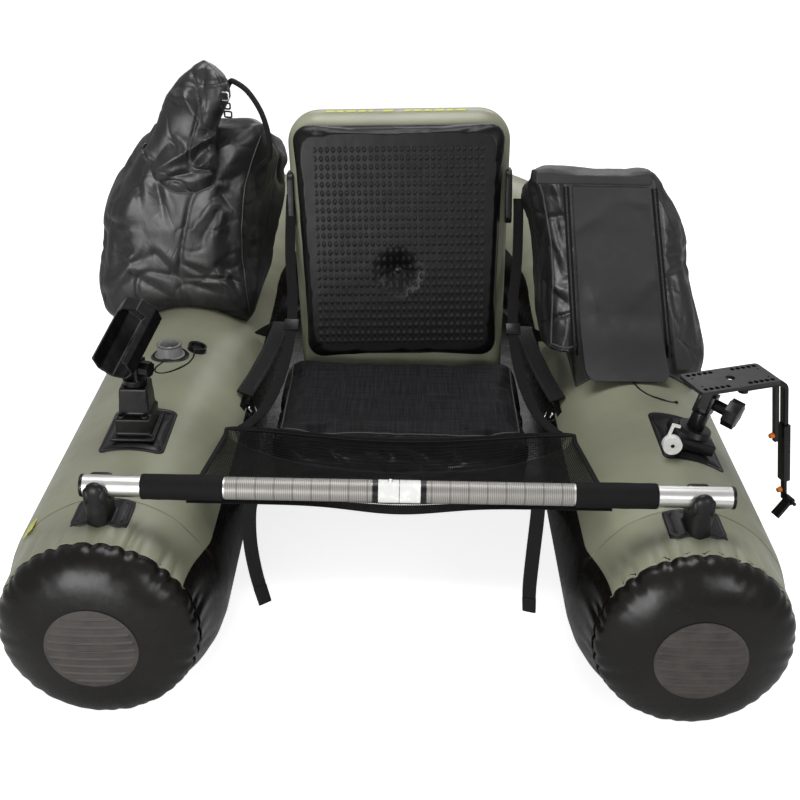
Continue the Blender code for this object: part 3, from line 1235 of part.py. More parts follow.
def build_valve(kit):
    """Open inflation valve with its push pin, cap and leash."""
    floor = 2 * AXIS_HEIGHT + GAP
    place = (-AXIS_X, VALVE_Y, floor)
    body = kit.piece("valve_body", turned_mesh("valve", valve_profile()), "grey_plastic", location=place)
    screw(body, VALVE_STEPS)
    stem = VALVE_FLOOR + THROAT_Z / 2
    profile = [(0, PLUNGER_Z), (PLUNGER_RADIUS, PLUNGER_Z), (PLUNGER_RADIUS, PLUNGER_Z / 2),
               (PLUNGER_STEM, PLUNGER_Z / 2), (PLUNGER_STEM, -stem), (0, -stem)]
    pin = kit.piece("valve_plunger", turned_mesh("plunger", profile), "grey_plastic",
                    location=(-AXIS_X, VALVE_Y, floor + VALVE_FLOOR + PLUNGER_TRAVEL - PLUNGER_Z / 2 + GAP))
    screw(pin, VALVE_STEPS)
    hole = frustum_mesh("hole", THROAT_RADIUS + GAP, THROAT_RADIUS + GAP, 2 * OVERRUN, 24, (0, 0, -OVERRUN))
    panel = as_mesh(kit, bpy.data.objects["hull_top_panel_left"])
    carve(panel, kit.guide("valve_hole", hole, location=place))
    frame = facet_frame(kit, "cap_frame", -1, CAP_FACET, CAP_Y, GAP)
    profile = [(0, CAP_Z - CAP_DEPTH), (CAP_BORE, CAP_Z - CAP_DEPTH), (CAP_BORE, CAP_Z),
               (CAP_RADIUS, CAP_Z), (CAP_RADIUS, 0), (0, 0)]
    cap = kit.piece("valve_cap", turned_mesh("cap", profile), "black_rubber", frame)
    screw(cap, VALVE_STEPS)
    cord(kit, "valve_leash", VALVE_LEASH)


def valve_profile():
    """Outline of the valve body: flange, barrel, open cup and throat."""
    top = VALVE_FLANGE_Z + VALVE_Z
    shaft = PLUNGER_STEM + RUN
    return [(VALVE_BORE, top), (VALVE_RADIUS, top), (VALVE_RADIUS, VALVE_FLANGE_Z),
            (VALVE_FLANGE_RADIUS, VALVE_FLANGE_Z), (VALVE_FLANGE_RADIUS, 0), (THROAT_RADIUS, 0),
            (THROAT_RADIUS, -THROAT_Z), (shaft, -THROAT_Z), (shaft, VALVE_FLOOR), (VALVE_BORE, VALVE_FLOOR),
            (VALVE_BORE, top)]


def cord(kit, name, route):
    """A thin cord along its route."""
    points = smooth_route(route, CORD_STEPS)
    kit.piece(name, rod_curve(name, points, CORD_RADIUS), "webbing")


def bag_mesh(name, low, high, low_z, high_z, front, depth, setback, fall, draw):
    """A bag body: low and high are its X limits at the bottom and the top.

    The top falls towards the back, and the inner side draws outward there by the last value.
    """
    bm = bmesh.new()
    bmesh.ops.create_cube(bm, size=1.0)
    for vert in bm.verts:
        upper = vert.co.z > 0
        span = high if upper else low
        x = span[1] if vert.co.x > 0 else span[0]
        lean = setback if upper else 0.0
        y = front + lean + (depth - lean if vert.co.y > 0 else 0.0)
        if vert.co.y > 0 and x == min(span, key=abs):
            x += math.copysign(draw, x)
        drop = fall if vert.co.y > 0 else 0.0
        vert.co = (x, y, high_z - drop if upper else low_z)
    bmesh.ops.bevel(bm, geom=bm.edges[:], offset=BAG_ROUND, segments=2, profile=0.5, affect='EDGES',
                    clamp_overlap=True)
    return mesh_of(bm, name)


def build_bags(kit):
    """Both bags on the tubes, with the right one's flap and zip pulls."""
    right = kit.piece("right_bag", bag_mesh("right_bag", (RIGHT_BAG_X0, RIGHT_BAG_X1),
                                            (RIGHT_BAG_TOP_X0, RIGHT_BAG_TOP_X1), RIGHT_BAG_BOTTOM,
                                            RIGHT_BAG_TOP, RIGHT_BAG_FRONT, RIGHT_BAG_DEPTH, RIGHT_BAG_SET,
                                            RIGHT_BAG_FALL, BAG_DRAW),
                      "bag_cloth")
    carve(right, hull_cutter(kit, "right_tube", 1))
    notch = box_mesh("bag_notch", (2 * (NOTCH_X - RIGHT_BAG_X0), 2 * RIGHT_BAG_DEPTH,
                                   2 * (NOTCH_Z - RIGHT_BAG_BOTTOM)))
    carve(right, kit.guide("bag_notch", notch,
                           location=(RIGHT_BAG_X0, RIGHT_BAG_FRONT + RIGHT_BAG_DEPTH / 2, RIGHT_BAG_BOTTOM)))
    left = kit.piece("left_bag", bag_mesh("left_bag", (LEFT_BAG_X0, LEFT_BAG_X1),
                                          (LEFT_BAG_TOP_X0, LEFT_BAG_TOP_X1), LEFT_BAG_BOTTOM, LEFT_BAG_TOP,
                                          LEFT_BAG_FRONT, LEFT_BAG_DEPTH, LEFT_BAG_SET, LEFT_BAG_FALL, 0.0),
                     "bag_cloth")
    carve(left, hull_cutter(kit, "left_tube", -1))
    bm = bmesh.new()
    bmesh.ops.create_uvsphere(bm, u_segments=16, v_segments=10, radius=1.0)
    bmesh.ops.scale(bm, vec=(HOOD_RADIUS_X, HOOD_RADIUS_Y, HOOD_RADIUS_Z), verts=bm.verts)
    carve(left, kit.guide("hood", mesh_of(bm, "hood"), location=(HOOD_X, HOOD_Y, HOOD_Z)), 'UNION')
    handle = rod_curve("handle", smooth_route(LEFT_HANDLE, STRAP_STEPS), HANDLE_RADIUS)
    carve(left, as_mesh(kit, kit.guide("left_bag_handle", handle)), 'UNION')
    build_flap(kit)


def build_flap(kit):
    """The flap between the zips, lying on the right bag's sloping front."""
    rise = RIGHT_BAG_TOP - RIGHT_BAG_BOTTOM
    lean = math.atan2(RIGHT_BAG_SET, rise)
    hinge_z = RIGHT_BAG_TOP - BAG_ROUND - FLAP_HANG
    share = (hinge_z - RIGHT_BAG_BOTTOM) / rise
    front = RIGHT_BAG_FRONT + RIGHT_BAG_SET * share - (GAP + FLAP_SKIN / 2) / math.cos(lean)
    frame = kit.empty("flap_hinge", kit.root, (FLAP_TOP_X, front, hinge_z), (math.pi / 2 - lean, 0, 0))
    length = (hinge_z - FLAP_BOTTOM) / math.cos(lean)
    shift = FLAP_X - FLAP_TOP_X
    half_top, half = FLAP_TOP_WIDTH / 2, FLAP_WIDTH / 2
    corner = FLAP_CORNER
    outline = [(half_top, 0), (-half_top, 0), (shift - half, -length + corner),
               (shift - half + corner / 3, -length + corner / 3), (shift - half + corner, -length),
               (shift + half - corner, -length), (shift + half - corner / 3, -length + corner / 3),
               (shift + half, -length + corner)]
    kit.piece("right_bag_flap", plate_curve("flap", outline, FLAP_SKIN), "bag_cloth", frame)
    drop = (hinge_z - ZIP_LEVEL) / math.cos(lean)
    for side, word in ((-1, "left"), (1, "right")):
        spread = half_top + (half - half_top) * drop / length
        x = shift * drop / length + side * (spread + ZIP_OFFSET)
        body = box_mesh("zip", (ZIP_WIDTH, ZIP_LENGTH, ZIP_SKIN), edge=ZIP_SKIN / 4, segments=1)
        kit.piece("zip_pull_" + word, body, "black_plastic", frame,
                  (x, -drop, (ZIP_SKIN - FLAP_SKIN) / 2))


def mirrored(points, side):
    """A right-hand route, or its mirror image on the left."""
    return [(side * x, y, z) for x, y, z in points]


def build_straps(kit):
    """Side straps with sliders, carrying straps, D rings and their patches."""
    for side, word in ((-1, "left"), (1, "right")):
        route = smooth_route(mirrored(SIDE_ROUTE, side), STRAP_STEPS)
        kit_strap(kit, "side_strap_" + word, "webbing", route, SIDE_WEB, WEB_SKIN)
        slider(kit, "strap_slider_" + word, Vector(route[SLIDER_AT]), Vector(route[SLIDER_AT + 1]))
        carry = smooth_route(mirrored(CARRY_ROUTE, side), STRAP_STEPS)
        kit_strap(kit, "carry_strap_" + word, "webbing", carry, CARRY_WEB, CARRY_SKIN)
        frame = facet_frame(kit, "ring_frame_" + word, side, FIT_FACETS, RING_Y, GAP)
        patch = kit.piece("ring_patch_" + word, ring_patch(), "black_rubber", frame)
        axis = (0, 0, PATCH_Z + KEEPER_Z / 2)
        bore = frustum_mesh("keeper_hole", RING_WIRE + GAP, RING_WIRE + GAP, KEEPER_Y + OVERRUN, 12,
                            (0, 0, -(KEEPER_Y + OVERRUN) / 2))
        carve(patch, kit.guide("keeper_hole", bore, frame, axis, (math.pi / 2, 0, 0)))
        kit.piece("d_ring_" + word, rod_curve("ring", ring_points(-side), RING_WIRE, 1, True), "steel", frame,
                  axis)


def ring_patch():
    """A flat patch with a raised keeper, welded to the tube's facet."""
    bm = bmesh.new()
    bm.from_mesh(box_mesh("base", (PATCH_X, PATCH_Y, PATCH_Z), (0, 0, PATCH_Z / 2)))
    bm.faces.ensure_lookup_table()
    top = max(bm.faces, key=lambda face: face.calc_center_median().z)
    bmesh.ops.inset_individual(bm, faces=[top], thickness=(PATCH_X - KEEPER_X) / 2)
    for vert in top.verts:
        vert.co.y = math.copysign(KEEPER_Y / 2, vert.co.y)
    lifted = bmesh.ops.extrude_discrete_faces(bm, faces=[top])["faces"]
    bmesh.ops.translate(bm, vec=(0, 0, KEEPER_Z), verts=lifted[0].verts)
    return mesh_of(bm, "ring_patch")


def ring_points(down):
    """A D: its straight side along Y through the keeper, its bow hanging down."""
    half = RING_WIDTH / 2
    points = [(0, -half, 0), (0, half, 0)]
    for step in range(1, RING_STEPS):
        angle = math.pi * step / RING_STEPS
        points.append((down * RING_DROP * math.sin(angle), half * math.cos(angle), 0))
    return points


def slider(kit, name, first, second):
    """A metal slider round a strap, between two points of its route."""
    along = (second - first).normalized()
    across = along.cross(Vector((0, 0, 1))).normalized()
    turn = Matrix((across, along, across.cross(along))).transposed().to_4x4()
    place = Matrix.Translation((first + second) / 2) @ turn
    wide = SIDE_WEB + 2 * GAP
    outer = (wide + 2 * SLIDER_FRAME, SLIDER_LENGTH, WEB_SKIN + 2 * GAP + SLIDER_SKIN)
    obj = kit.piece(name, box_mesh("slider", outer), "steel")
    obj.matrix_local = place
    slot = kit.guide(name + "_slot", box_mesh("slot", (wide, SLIDER_LENGTH + OVERRUN, WEB_SKIN + 2 * GAP)))
    slot.matrix_local = place
    return carve(obj, slot)


def net_rows(u):
    """Points of the net at a share across it, from its rear rim to its hem."""
    middle = 1 - u * u
    full = 1 - u ** 4
    rim = Vector((NET_REAR_Y - NET_REAR_SAG * middle, NET_SIDE_Z + (NET_RIM_Z - NET_SIDE_Z) * full))
    fold_z = NET_SIDE_Z + (NET_FOLD_Z - NET_SIDE_Z) * full
    fold = Vector((rim.x - NET_FOLD_SET, fold_z))
    under = BAR_RADIUS + GAP + GRIP_SKIN + GAP + NET_SKIN / 2
    hem = Vector((BAR_Y + under, BAR_Z - under))
    rows = [rim.lerp(fold, share) for share in NET_ROW_SHARES]
    rows += [fold.lerp(hem, share) for share in FLOOR_SHARES]
    x = u * NET_SIDE_X
    droop = NET_DROOP * math.exp(-(x / NET_DROOP_SPREAD) ** 2)
    rows.append(Vector((BAR_Y, BAR_Z - under - droop / 2)))
    rows.append(Vector((BAR_Y - BAR_RADIUS / 2, BAR_Z - under - droop)))
    return x, rows


def build_apron(kit):
    """Net from the seat's front to the bar, and the two tails."""
    bm = bmesh.new()
    columns = []
    for index in range(NET_COLUMNS + 1):
        x, rows = net_rows(2 * index / NET_COLUMNS - 1)
        columns.append([bm.verts.new((x, row.x, row.y)) for row in rows])
    for left, right in zip(columns, columns[1:]):
        for row in range(len(left) - 1):
            bm.faces.new((left[row], left[row + 1], right[row + 1], right[row]))
    net = kit.piece("apron_net", mesh_of(bm, "net"), "net")
    thicken(net, NET_SKIN, 0.0)
    for route, word in zip(TAIL_ROUTES, ("left", "right")):
        points = smooth_route(route, STRAP_STEPS)
        kit_strap(kit, "apron_tail_" + word, "webbing", points, TAIL_WEB, TAIL_SKIN)


def centre_on_ground(kit):
    """Move the root so that the part's box stands centred on the origin."""
    bpy.context.view_layer.update()
    graph = bpy.context.evaluated_depsgraph_get()
    low, high = [math.inf] * 3, [-math.inf] * 3
    for obj in kit.parts.objects:
        if obj.type == 'EMPTY':
            continue
        shape = obj.evaluated_get(graph)
        data = shape.to_mesh()
        for vert in data.vertices:
            place = obj.matrix_world @ vert.co
            for axis in range(3):
                low[axis] = min(low[axis], place[axis])
                high[axis] = max(high[axis], place[axis])
        shape.to_mesh_clear()
    kit.root.location = (-(low[0] + high[0]) / 2, -(low[1] + high[1]) / 2, -low[2])


def main():
    """Build the float tube."""
    kit = Kit()
    build_hull(kit)
    build_seat(kit)
    build_backrest(kit)
    build_bar(kit)
    build_forks(kit)
    build_pads(kit)
    build_rod_holder(kit)
    build_finder(kit)
    build_valve(kit)
    build_bags(kit)
    cord(kit, "bag_cord", BAG_CORD)
    build_straps(kit)
    build_apron(kit)
    centre_on_ground(kit)


main()
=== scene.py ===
"""Studio scene of an inflatable float tube.

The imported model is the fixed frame, and every soft or moulded piece is made
here in the same metres. Places are written in the hull frame of the part's
source: X is zero on the centre line, Y is zero at the nose apexes, Z is zero on
the ground, and left is -X, as someone sees it who looks at the noses.
"""

import json
import logging
import math
from dataclasses import dataclass
from enum import Enum
from typing import Callable, Optional, Sequence

import bmesh
import bpy
import numpy as np
from mathutils import Matrix, Vector
from mathutils.bvhtree import BVHTree

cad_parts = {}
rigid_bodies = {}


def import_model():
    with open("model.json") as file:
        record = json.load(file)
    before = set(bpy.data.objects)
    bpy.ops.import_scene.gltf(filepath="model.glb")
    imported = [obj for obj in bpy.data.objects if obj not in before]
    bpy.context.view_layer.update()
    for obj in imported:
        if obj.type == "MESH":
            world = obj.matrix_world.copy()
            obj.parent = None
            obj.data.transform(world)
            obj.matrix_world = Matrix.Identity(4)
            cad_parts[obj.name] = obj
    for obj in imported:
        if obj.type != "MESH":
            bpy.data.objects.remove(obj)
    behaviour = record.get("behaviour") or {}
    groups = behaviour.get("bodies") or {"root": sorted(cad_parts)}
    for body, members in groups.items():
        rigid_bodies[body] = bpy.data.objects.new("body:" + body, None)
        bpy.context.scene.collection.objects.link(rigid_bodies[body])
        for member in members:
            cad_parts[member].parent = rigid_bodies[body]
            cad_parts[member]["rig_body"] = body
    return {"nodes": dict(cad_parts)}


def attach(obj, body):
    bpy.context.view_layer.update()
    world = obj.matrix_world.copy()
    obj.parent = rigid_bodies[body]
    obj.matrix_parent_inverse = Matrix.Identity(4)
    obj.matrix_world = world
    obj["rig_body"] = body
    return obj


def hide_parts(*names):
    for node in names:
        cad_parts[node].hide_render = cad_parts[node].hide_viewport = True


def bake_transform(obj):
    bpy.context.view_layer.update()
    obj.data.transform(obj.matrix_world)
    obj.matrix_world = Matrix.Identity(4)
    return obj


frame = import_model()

log = logging.getLogger("float_tube")
Socket = bpy.types.NodeSocket
Object = bpy.types.Object
Material = bpy.types.Material
Colour = tuple[float, float, float]
Point = tuple[float, float, float]

SHIFT = np.array((-0.03892, -0.8486, 0.0))      # from the hull frame to the row's frame
TUBE_X = 0.406          # axes of the two chambers
TUBE_R = 0.158
TUBE_Z = 0.15665
BEND_Y = 1.137          # where the chambers turn inward to the stern
BAR_Y = 0.118           # axis of the measuring bar
BAR_Z = 0.363
CLOTH_FRAMES = 20       # steps of each cloth simulation


class Side(Enum):
    """The two sides of the tube, with the sign of their X."""

    LEFT = -1
    RIGHT = 1

    @property
    def word(self) -> str:
        """The side's name in the nodes' names."""
        return self.name.lower()


class Space(Enum):
    """What a material's pattern is fixed to."""

    OBJECT = "Object"
    UV = "UV"


def row(points: Sequence) -> np.ndarray:
    """Move hull frame points to the row's frame.

    Args:
        points: One point, or an array of points whose last axis is X, Y, Z.

    Returns:
        The same points in the row's frame.
    """
    return np.asarray(points, float) + SHIFT


def smoothstep(value: np.ndarray) -> np.ndarray:
    """Ease a share from 0 to 1."""
    share = np.clip(value, 0.0, 1.0)
    return share * share * (3.0 - 2.0 * share)


def smooth_route(points: Sequence[Point], steps: int) -> np.ndarray:
    """Sample a smooth curve that passes through a route's points.

    Args:
        points: The route's own points.
        steps: Samples for each stretch.

    Returns:
        An array of samples, ending on the last point.
    """
    route = np.asarray(points, float)
    ends = np.vstack((2 * route[0] - route[1], route, 2 * route[-1] - route[-2]))
    samples = []
    for before, start, end, after in zip(ends, ends[1:], ends[2:], ends[3:]):
        for step in range(steps):
            t = step / steps
            samples.append(0.5 * (2 * start + (end - before) * t
                                  + (2 * before - 5 * start + 4 * end - after) * t * t
                                  + (3 * start - before - 3 * end + after) * t ** 3))
    samples.append(route[-1])
    return np.array(samples)


def lattice_noise(points: np.ndarray, size: float, seed: int) -> np.ndarray:
    """Smooth seeded noise at points, from -1 to 1.

    Args:
        points: Array of points whose last axis has three numbers.
        size: Width of a noise cell in metres.
        seed: Picks the pattern.

    Returns:
        One number for each point.
    """
    table = np.random.default_rng(seed).uniform(-1.0, 1.0, (32, 32, 32))
    scaled = points / size
    cell = np.floor(scaled).astype(int)
    share = smoothstep(scaled - cell)
    total = np.zeros(points.shape[:-1])
    for corner in np.ndindex(2, 2, 2):
        weight = np.ones(points.shape[:-1])
        index = []
        for axis in range(3):
            part = share[..., axis]
            weight = weight * (part if corner[axis] else 1.0 - part)
            index.append((cell[..., axis] + corner[axis]) % 32)
        total += weight * table[tuple(index)]
    return total


def linked(name: str, data: bpy.types.ID) -> Object:
    """Make an object of a mesh, a camera or a lamp, and link it to the scene."""
    made = bpy.data.objects.new(name, data)
    bpy.context.scene.collection.objects.link(made)
    return made


class Shade:
    """A Principled material under construction, with short names for its nodes."""

    def __init__(self, name: str, colour: Colour, roughness: float, metallic: float = 0.0,
                 specular: float = 0.5, sheen: float = 0.0) -> None:
        """Start a material whose constants sit on the shader's own sockets."""
        self.material = bpy.data.materials.new(name)
        self.material.use_nodes = True
        self.tree = self.material.node_tree
        self.shader = self.tree.nodes["Principled BSDF"]
        for socket, value in (("Base Color", (*colour, 1.0)), ("Roughness", roughness),
                              ("Metallic", metallic), ("Specular IOR Level", specular),
                              ("Sheen Weight", sheen)):
            self.shader.inputs[socket].default_value = value

    def node(self, kind: str, inputs: dict, **settings: object) -> bpy.types.Node:
        """Add a node.

        Args:
            kind: The node's type without its prefix.
            inputs: Socket names or numbers, with values or sockets to link.
            **settings: Attributes of the node.

        Returns:
            The new node.
        """
        made = self.tree.nodes.new("ShaderNode" + kind)
        for name, value in settings.items():
            setattr(made, name, value)
        for key, value in inputs.items():
            if isinstance(value, Socket):
                self.tree.links.new(value, made.inputs[key])
            else:
                made.inputs[key].default_value = value
        return made

    def where(self, space: Space, scale: Point = (1, 1, 1), turn: Point = (0, 0, 0),
              shift: Point = (0, 0, 0)) -> Socket:
        """Coordinates for a pattern, in metres times the scale."""
        source = self.node("TexCoord", {}).outputs[space.value]
        return self.node("Mapping", {"Vector": source, "Scale": scale, "Rotation": turn,
                                     "Location": shift}).outputs[0]

    def axis(self, vector: Socket, index: int) -> Socket:
        """One of a vector's three numbers."""
        return self.node("SeparateXYZ", {0: vector}).outputs[index]

    def noise(self, vector: Socket, scale: float, detail: float = 3.0, rough: float = 0.5) -> Socket:
        """Cloudy noise from 0 to 1."""
        return self.node("TexNoise", {"Vector": vector, "Scale": scale, "Detail": detail,
                                      "Roughness": rough}).outputs["Fac"]

    def cells(self, vector: Socket, scale: float) -> Socket:
        """Distance to the nearest of scattered points."""
        return self.node("TexVoronoi", {"Vector": vector, "Scale": scale}).outputs["Distance"]

    def maths(self, operation: str, first: object, second: object = 0.0) -> Socket:
        """A sum, product or other operation on numbers."""
        return self.node("Math", {0: first, 1: second}, operation=operation).outputs[0]

    def stripes(self, coordinate: Socket, pitch: float) -> Socket:
        """Round stripes across a coordinate, from 0 to 1."""
        turn = self.maths("MULTIPLY", coordinate, 2 * math.pi / pitch)
        return self.span(self.maths("SINE", turn), -1.0, 1.0, 0.0, 1.0)

    def span(self, value: Socket, low: float, high: float, out_low: float, out_high: float) -> Socket:
        """Map a range of numbers to another, clamped."""
        return self.node("MapRange", {"Value": value, "From Min": low, "From Max": high,
                                      "To Min": out_low, "To Max": out_high}).outputs[0]

    def mixed(self, share: Socket, first: object, second: object) -> Socket:
        """Mix two colours."""
        def full(value: object) -> object:
            """Give a plain colour its alpha."""
            return value if isinstance(value, Socket) else (*value, 1.0)
        return self.node("Mix", {0: share, 6: full(first), 7: full(second)}, data_type='RGBA').outputs[2]

    def bump(self, height: Socket, depth: float, normal: Optional[Socket] = None) -> Socket:
        """Raise the surface by a pattern, with the depth in metres."""
        inputs: dict = {"Height": height, "Strength": 1.0, "Distance": depth}
        if normal is not None:
            inputs["Normal"] = normal
        return self.node("Bump", inputs).outputs[0]

    def give(self, socket: str, value: Socket) -> None:
        """Link a pattern to one of the shader's sockets."""
        self.tree.links.new(value, self.shader.inputs[socket])


@dataclass(frozen=True)
class CoatedFabric:
    """Plastic-coated fabric of the air chambers and bags."""

    name: str
    colour: Colour
    roughness: float
    pucker: float = 0.0006      # depth of the soft unevenness
    weave: float = 0.00003
    specular: float = 0.45

    def material(self) -> Material:
        """Build the coated fabric: faint weave, soft unevenness and rubbed patches."""
        shade = Shade(self.name, self.colour, self.roughness, specular=self.specular)
        place = shade.where(Space.OBJECT)
        cloud = shade.noise(place, 6.0, 4.0)
        grime = shade.noise(place, 38.0, 5.0, 0.65)
        darker = tuple(0.86 * part for part in self.colour)
        lighter = tuple(min(1.0, 1.10 * part + 0.003) for part in self.colour)
        shade.give("Base Color", shade.mixed(shade.span(cloud, 0.35, 0.68, 0.0, 1.0), darker, lighter))
        shade.give("Roughness", shade.span(grime, 0.3, 0.7, self.roughness - 0.05,
                                           self.roughness + 0.07))
        soft = shade.bump(shade.noise(place, 14.0, 3.0), self.pucker)
        fine = shade.bump(shade.cells(place, 900.0), self.weave, soft)
        shade.give("Normal", fine)
        return shade.material


@dataclass(frozen=True)
class CrumpledFabric:
    """Shiny coated bag cloth with sharp small creases."""

    name: str
    colour: Colour
    roughness: float
    crease: float = 0.0012

    def material(self) -> Material:
        """Build the cloth: creases as sharp ridges, and a fine weave."""
        shade = Shade(self.name, self.colour, self.roughness, specular=0.6)
        place = shade.where(Space.OBJECT, scale=(1.0, 1.0, 0.72))
        warp = shade.noise(place, 9.0, 2.0)
        bent = shade.node("VectorMath", {0: place, 1: shade.node("CombineXYZ", {
            0: shade.maths("MULTIPLY", warp, 0.10), 1: warp, 2: shade.maths("MULTIPLY", warp, 0.08)}
        ).outputs[0]}, operation='ADD').outputs[0]
        ridge = shade.maths("ABSOLUTE", shade.maths("SUBTRACT", shade.noise(bent, 9.0, 2.0, 0.45), 0.5))
        small = shade.maths("ABSOLUTE", shade.maths("SUBTRACT", shade.noise(bent, 34.0, 2.0), 0.5))
        height = shade.maths("ADD", shade.maths("POWER", ridge, 0.7), shade.maths("MULTIPLY", small, 0.35))
        shade.give("Normal", shade.bump(shade.cells(place, 1100.0), 0.00002,
                                        shade.bump(height, self.crease)))
        worn = shade.span(ridge, 0.0, 0.05, 0.55, 0.0)
        paler = tuple(part * 1.8 + 0.01 for part in self.colour)
        shade.give("Base Color", shade.mixed(worn, self.colour, paler))
        shade.give("Roughness", shade.span(shade.noise(place, 30.0), 0.3, 0.7, self.roughness - 0.05,
                                           self.roughness + 0.08))
        return shade.material


@dataclass(frozen=True)
class Woven:
    """Webbing or woven cloth whose threads follow the piece's own UV map."""

    name: str
    colour: Colour
    thread: float = 0.0011
    depth: float = 0.00035
    roughness: float = 0.75
    contrast: float = 1.9

    def material(self) -> Material:
        """Build the weave from crossing stripes."""
        shade = Shade(self.name, self.colour, self.roughness, specular=0.16, sheen=0.02)
        place = shade.where(Space.UV)
        across = shade.stripes(shade.axis(place, 0), self.thread)
        along = shade.stripes(shade.axis(place, 1), self.thread * 1.6)
        height = shade.maths("MULTIPLY", across, shade.span(along, 0.0, 1.0, 0.45, 1.0))
        paler = tuple(part * self.contrast + 0.004 for part in self.colour)
        fluff = shade.noise(shade.where(Space.OBJECT), 160.0, 2.0)
        share = shade.maths("MULTIPLY", height, shade.span(fluff, 0.3, 0.7, 0.5, 1.0))
        shade.give("Base Color", shade.mixed(share, self.colour, paler))
        shade.give("Normal", shade.bump(height, self.depth))
        return shade.material


@dataclass(frozen=True)
class Moulded:
    """Moulded plastic or rubber with a fine texture and a faint paler haze."""

    name: str
    colour: Colour
    roughness: float
    grain: float = 0.00008
    grain_scale: float = 700.0
    specular: float = 0.28

    def material(self) -> Material:
        """Build the moulded finish."""
        shade = Shade(self.name, self.colour, self.roughness, specular=self.specular)
        place = shade.where(Space.OBJECT)
        haze = shade.noise(place, 60.0, 4.0, 0.6)
        paler = tuple(min(1.0, part * 1.35 + 0.006) for part in self.colour)
        shade.give("Base Color", shade.mixed(shade.span(haze, 0.45, 0.75, 0.0, 0.8), self.colour, paler))
        shade.give("Roughness", shade.span(haze, 0.3, 0.7, self.roughness - 0.06, self.roughness + 0.08))
        shade.give("Normal", shade.bump(shade.noise(place, self.grain_scale, 2.0), self.grain))
        return shade.material


@dataclass(frozen=True)
class Metal:
    """Bare metal, brushed along X or plain."""

    name: str
    colour: Colour
    roughness: float
    brush: Point = (6.0, 260.0, 260.0)

    def material(self) -> Material:
        """Build the metal with fine brushing and dull smears."""
        shade = Shade(self.name, self.colour, self.roughness, metallic=1.0)
        lines = shade.noise(shade.where(Space.OBJECT, scale=self.brush), 4.0, 4.0)
        smear = shade.noise(shade.where(Space.OBJECT), 25.0, 3.0)
        shade.give("Roughness", shade.span(shade.maths("ADD", lines, smear), 0.6, 1.4,
                                           self.roughness - 0.07, self.roughness + 0.12))
        shade.give("Normal", shade.bump(lines, 0.00002))
        return shade.material


@dataclass(frozen=True)
class Foam:
    """Soft closed-cell foam of the grips."""

    name: str
    colour: Colour

    def material(self) -> Material:
        """Build the foam with open pores."""
        shade = Shade(self.name, self.colour, 0.66, specular=0.12)
        place = shade.where(Space.OBJECT)
        pores = shade.cells(place, 1300.0)
        shade.give("Base Color", shade.mixed(shade.span(pores, 0.2, 0.7, 0.0, 1.0),
                                             tuple(0.55 * part for part in self.colour),
                                             tuple(1.9 * part for part in self.colour)))
        shade.give("Normal", shade.bump(pores, 0.0002, shade.bump(shade.noise(place, 45.0), 0.0009)))
        return shade.material


@dataclass(frozen=True)
class PrintedScale:
    """Silver measuring tape round the bar, its lines set out from the middle."""

    name: str = "printed_scale"
    pitch: float = 0.0025

    def material(self) -> Material:
        """Build the tape: close lines, with every tenth one stronger."""
        shade = Shade(self.name, (0.42, 0.41, 0.39), 0.42, metallic=0.35)
        place = shade.where(Space.UV)
        along = shade.axis(place, 1)
        fine = shade.span(shade.stripes(along, self.pitch), 0.55, 0.8, 0.0, 1.0)
        coarse = shade.span(shade.stripes(along, 10 * self.pitch), 0.975, 0.99, 0.0, 1.0)
        lines = shade.maths("MAXIMUM", shade.maths("MULTIPLY", fine, 0.62),
                            shade.maths("MULTIPLY", coarse, 0.72))
        haze = shade.noise(shade.where(Space.OBJECT), 30.0)
        base = shade.mixed(haze, (0.27, 0.26, 0.245), (0.37, 0.36, 0.335))
        shade.give("Base Color", shade.mixed(lines, base, (0.075, 0.068, 0.060)))
        shade.give("Normal", shade.bump(fine, 0.00005))
        return shade.material


@dataclass(frozen=True)
class EmbossedVinyl:
    """Black vinyl of the backrest, embossed with staggered dots inside a border."""

    name: str = "embossed_vinyl"
    half_width: float = 0.150
    low: float = 0.026
    high: float = 0.384
    pitch: float = 0.0108
    squash: float = 0.72        # rows lie closer than columns by this share

    def material(self) -> Material:
        """Build the vinyl. Its UV map holds local width and height in metres."""
        shade = Shade(self.name, (0.010, 0.010, 0.011), 0.5, specular=0.22)
        place = shade.where(Space.UV)
        across, up = shade.axis(place, 0), shade.axis(place, 1)
        tall = shade.maths("MULTIPLY", up, self.squash)
        turn = math.pi / self.pitch
        first = shade.maths("SINE", shade.maths("MULTIPLY", shade.maths("ADD", across, tall), turn))
        second = shade.maths("SINE", shade.maths("MULTIPLY", shade.maths("SUBTRACT", across, tall), turn))
        dots = shade.span(shade.maths("MULTIPLY", first, second), 0.1, 0.85, 0.0, 1.0)
        side = shade.span(shade.maths("ABSOLUTE", across), self.half_width - 0.006, self.half_width, 1.0, 0.0)
        foot = shade.span(up, self.low, self.low + 0.006, 0.0, 1.0)
        head = shade.span(up, self.high - 0.006, self.high, 1.0, 0.0)
        inside = shade.maths("MULTIPLY", side, shade.maths("MULTIPLY", foot, head))
        height = shade.maths("MULTIPLY", dots, inside)
        soft = shade.bump(shade.noise(shade.where(Space.OBJECT), 22.0, 4.0), 0.0012)
        grain = shade.bump(shade.cells(shade.where(Space.OBJECT), 1000.0), 0.00006, soft)
        shade.give("Normal", shade.bump(height, 0.0011, grain))
        tone = shade.mixed(height, (0.0042, 0.0042, 0.0045), (0.0150, 0.0145, 0.0140))
        shade.give("Base Color", tone)
        shade.give("Roughness", shade.span(height, 0.0, 1.0, 0.34, 0.48))
        return shade.material


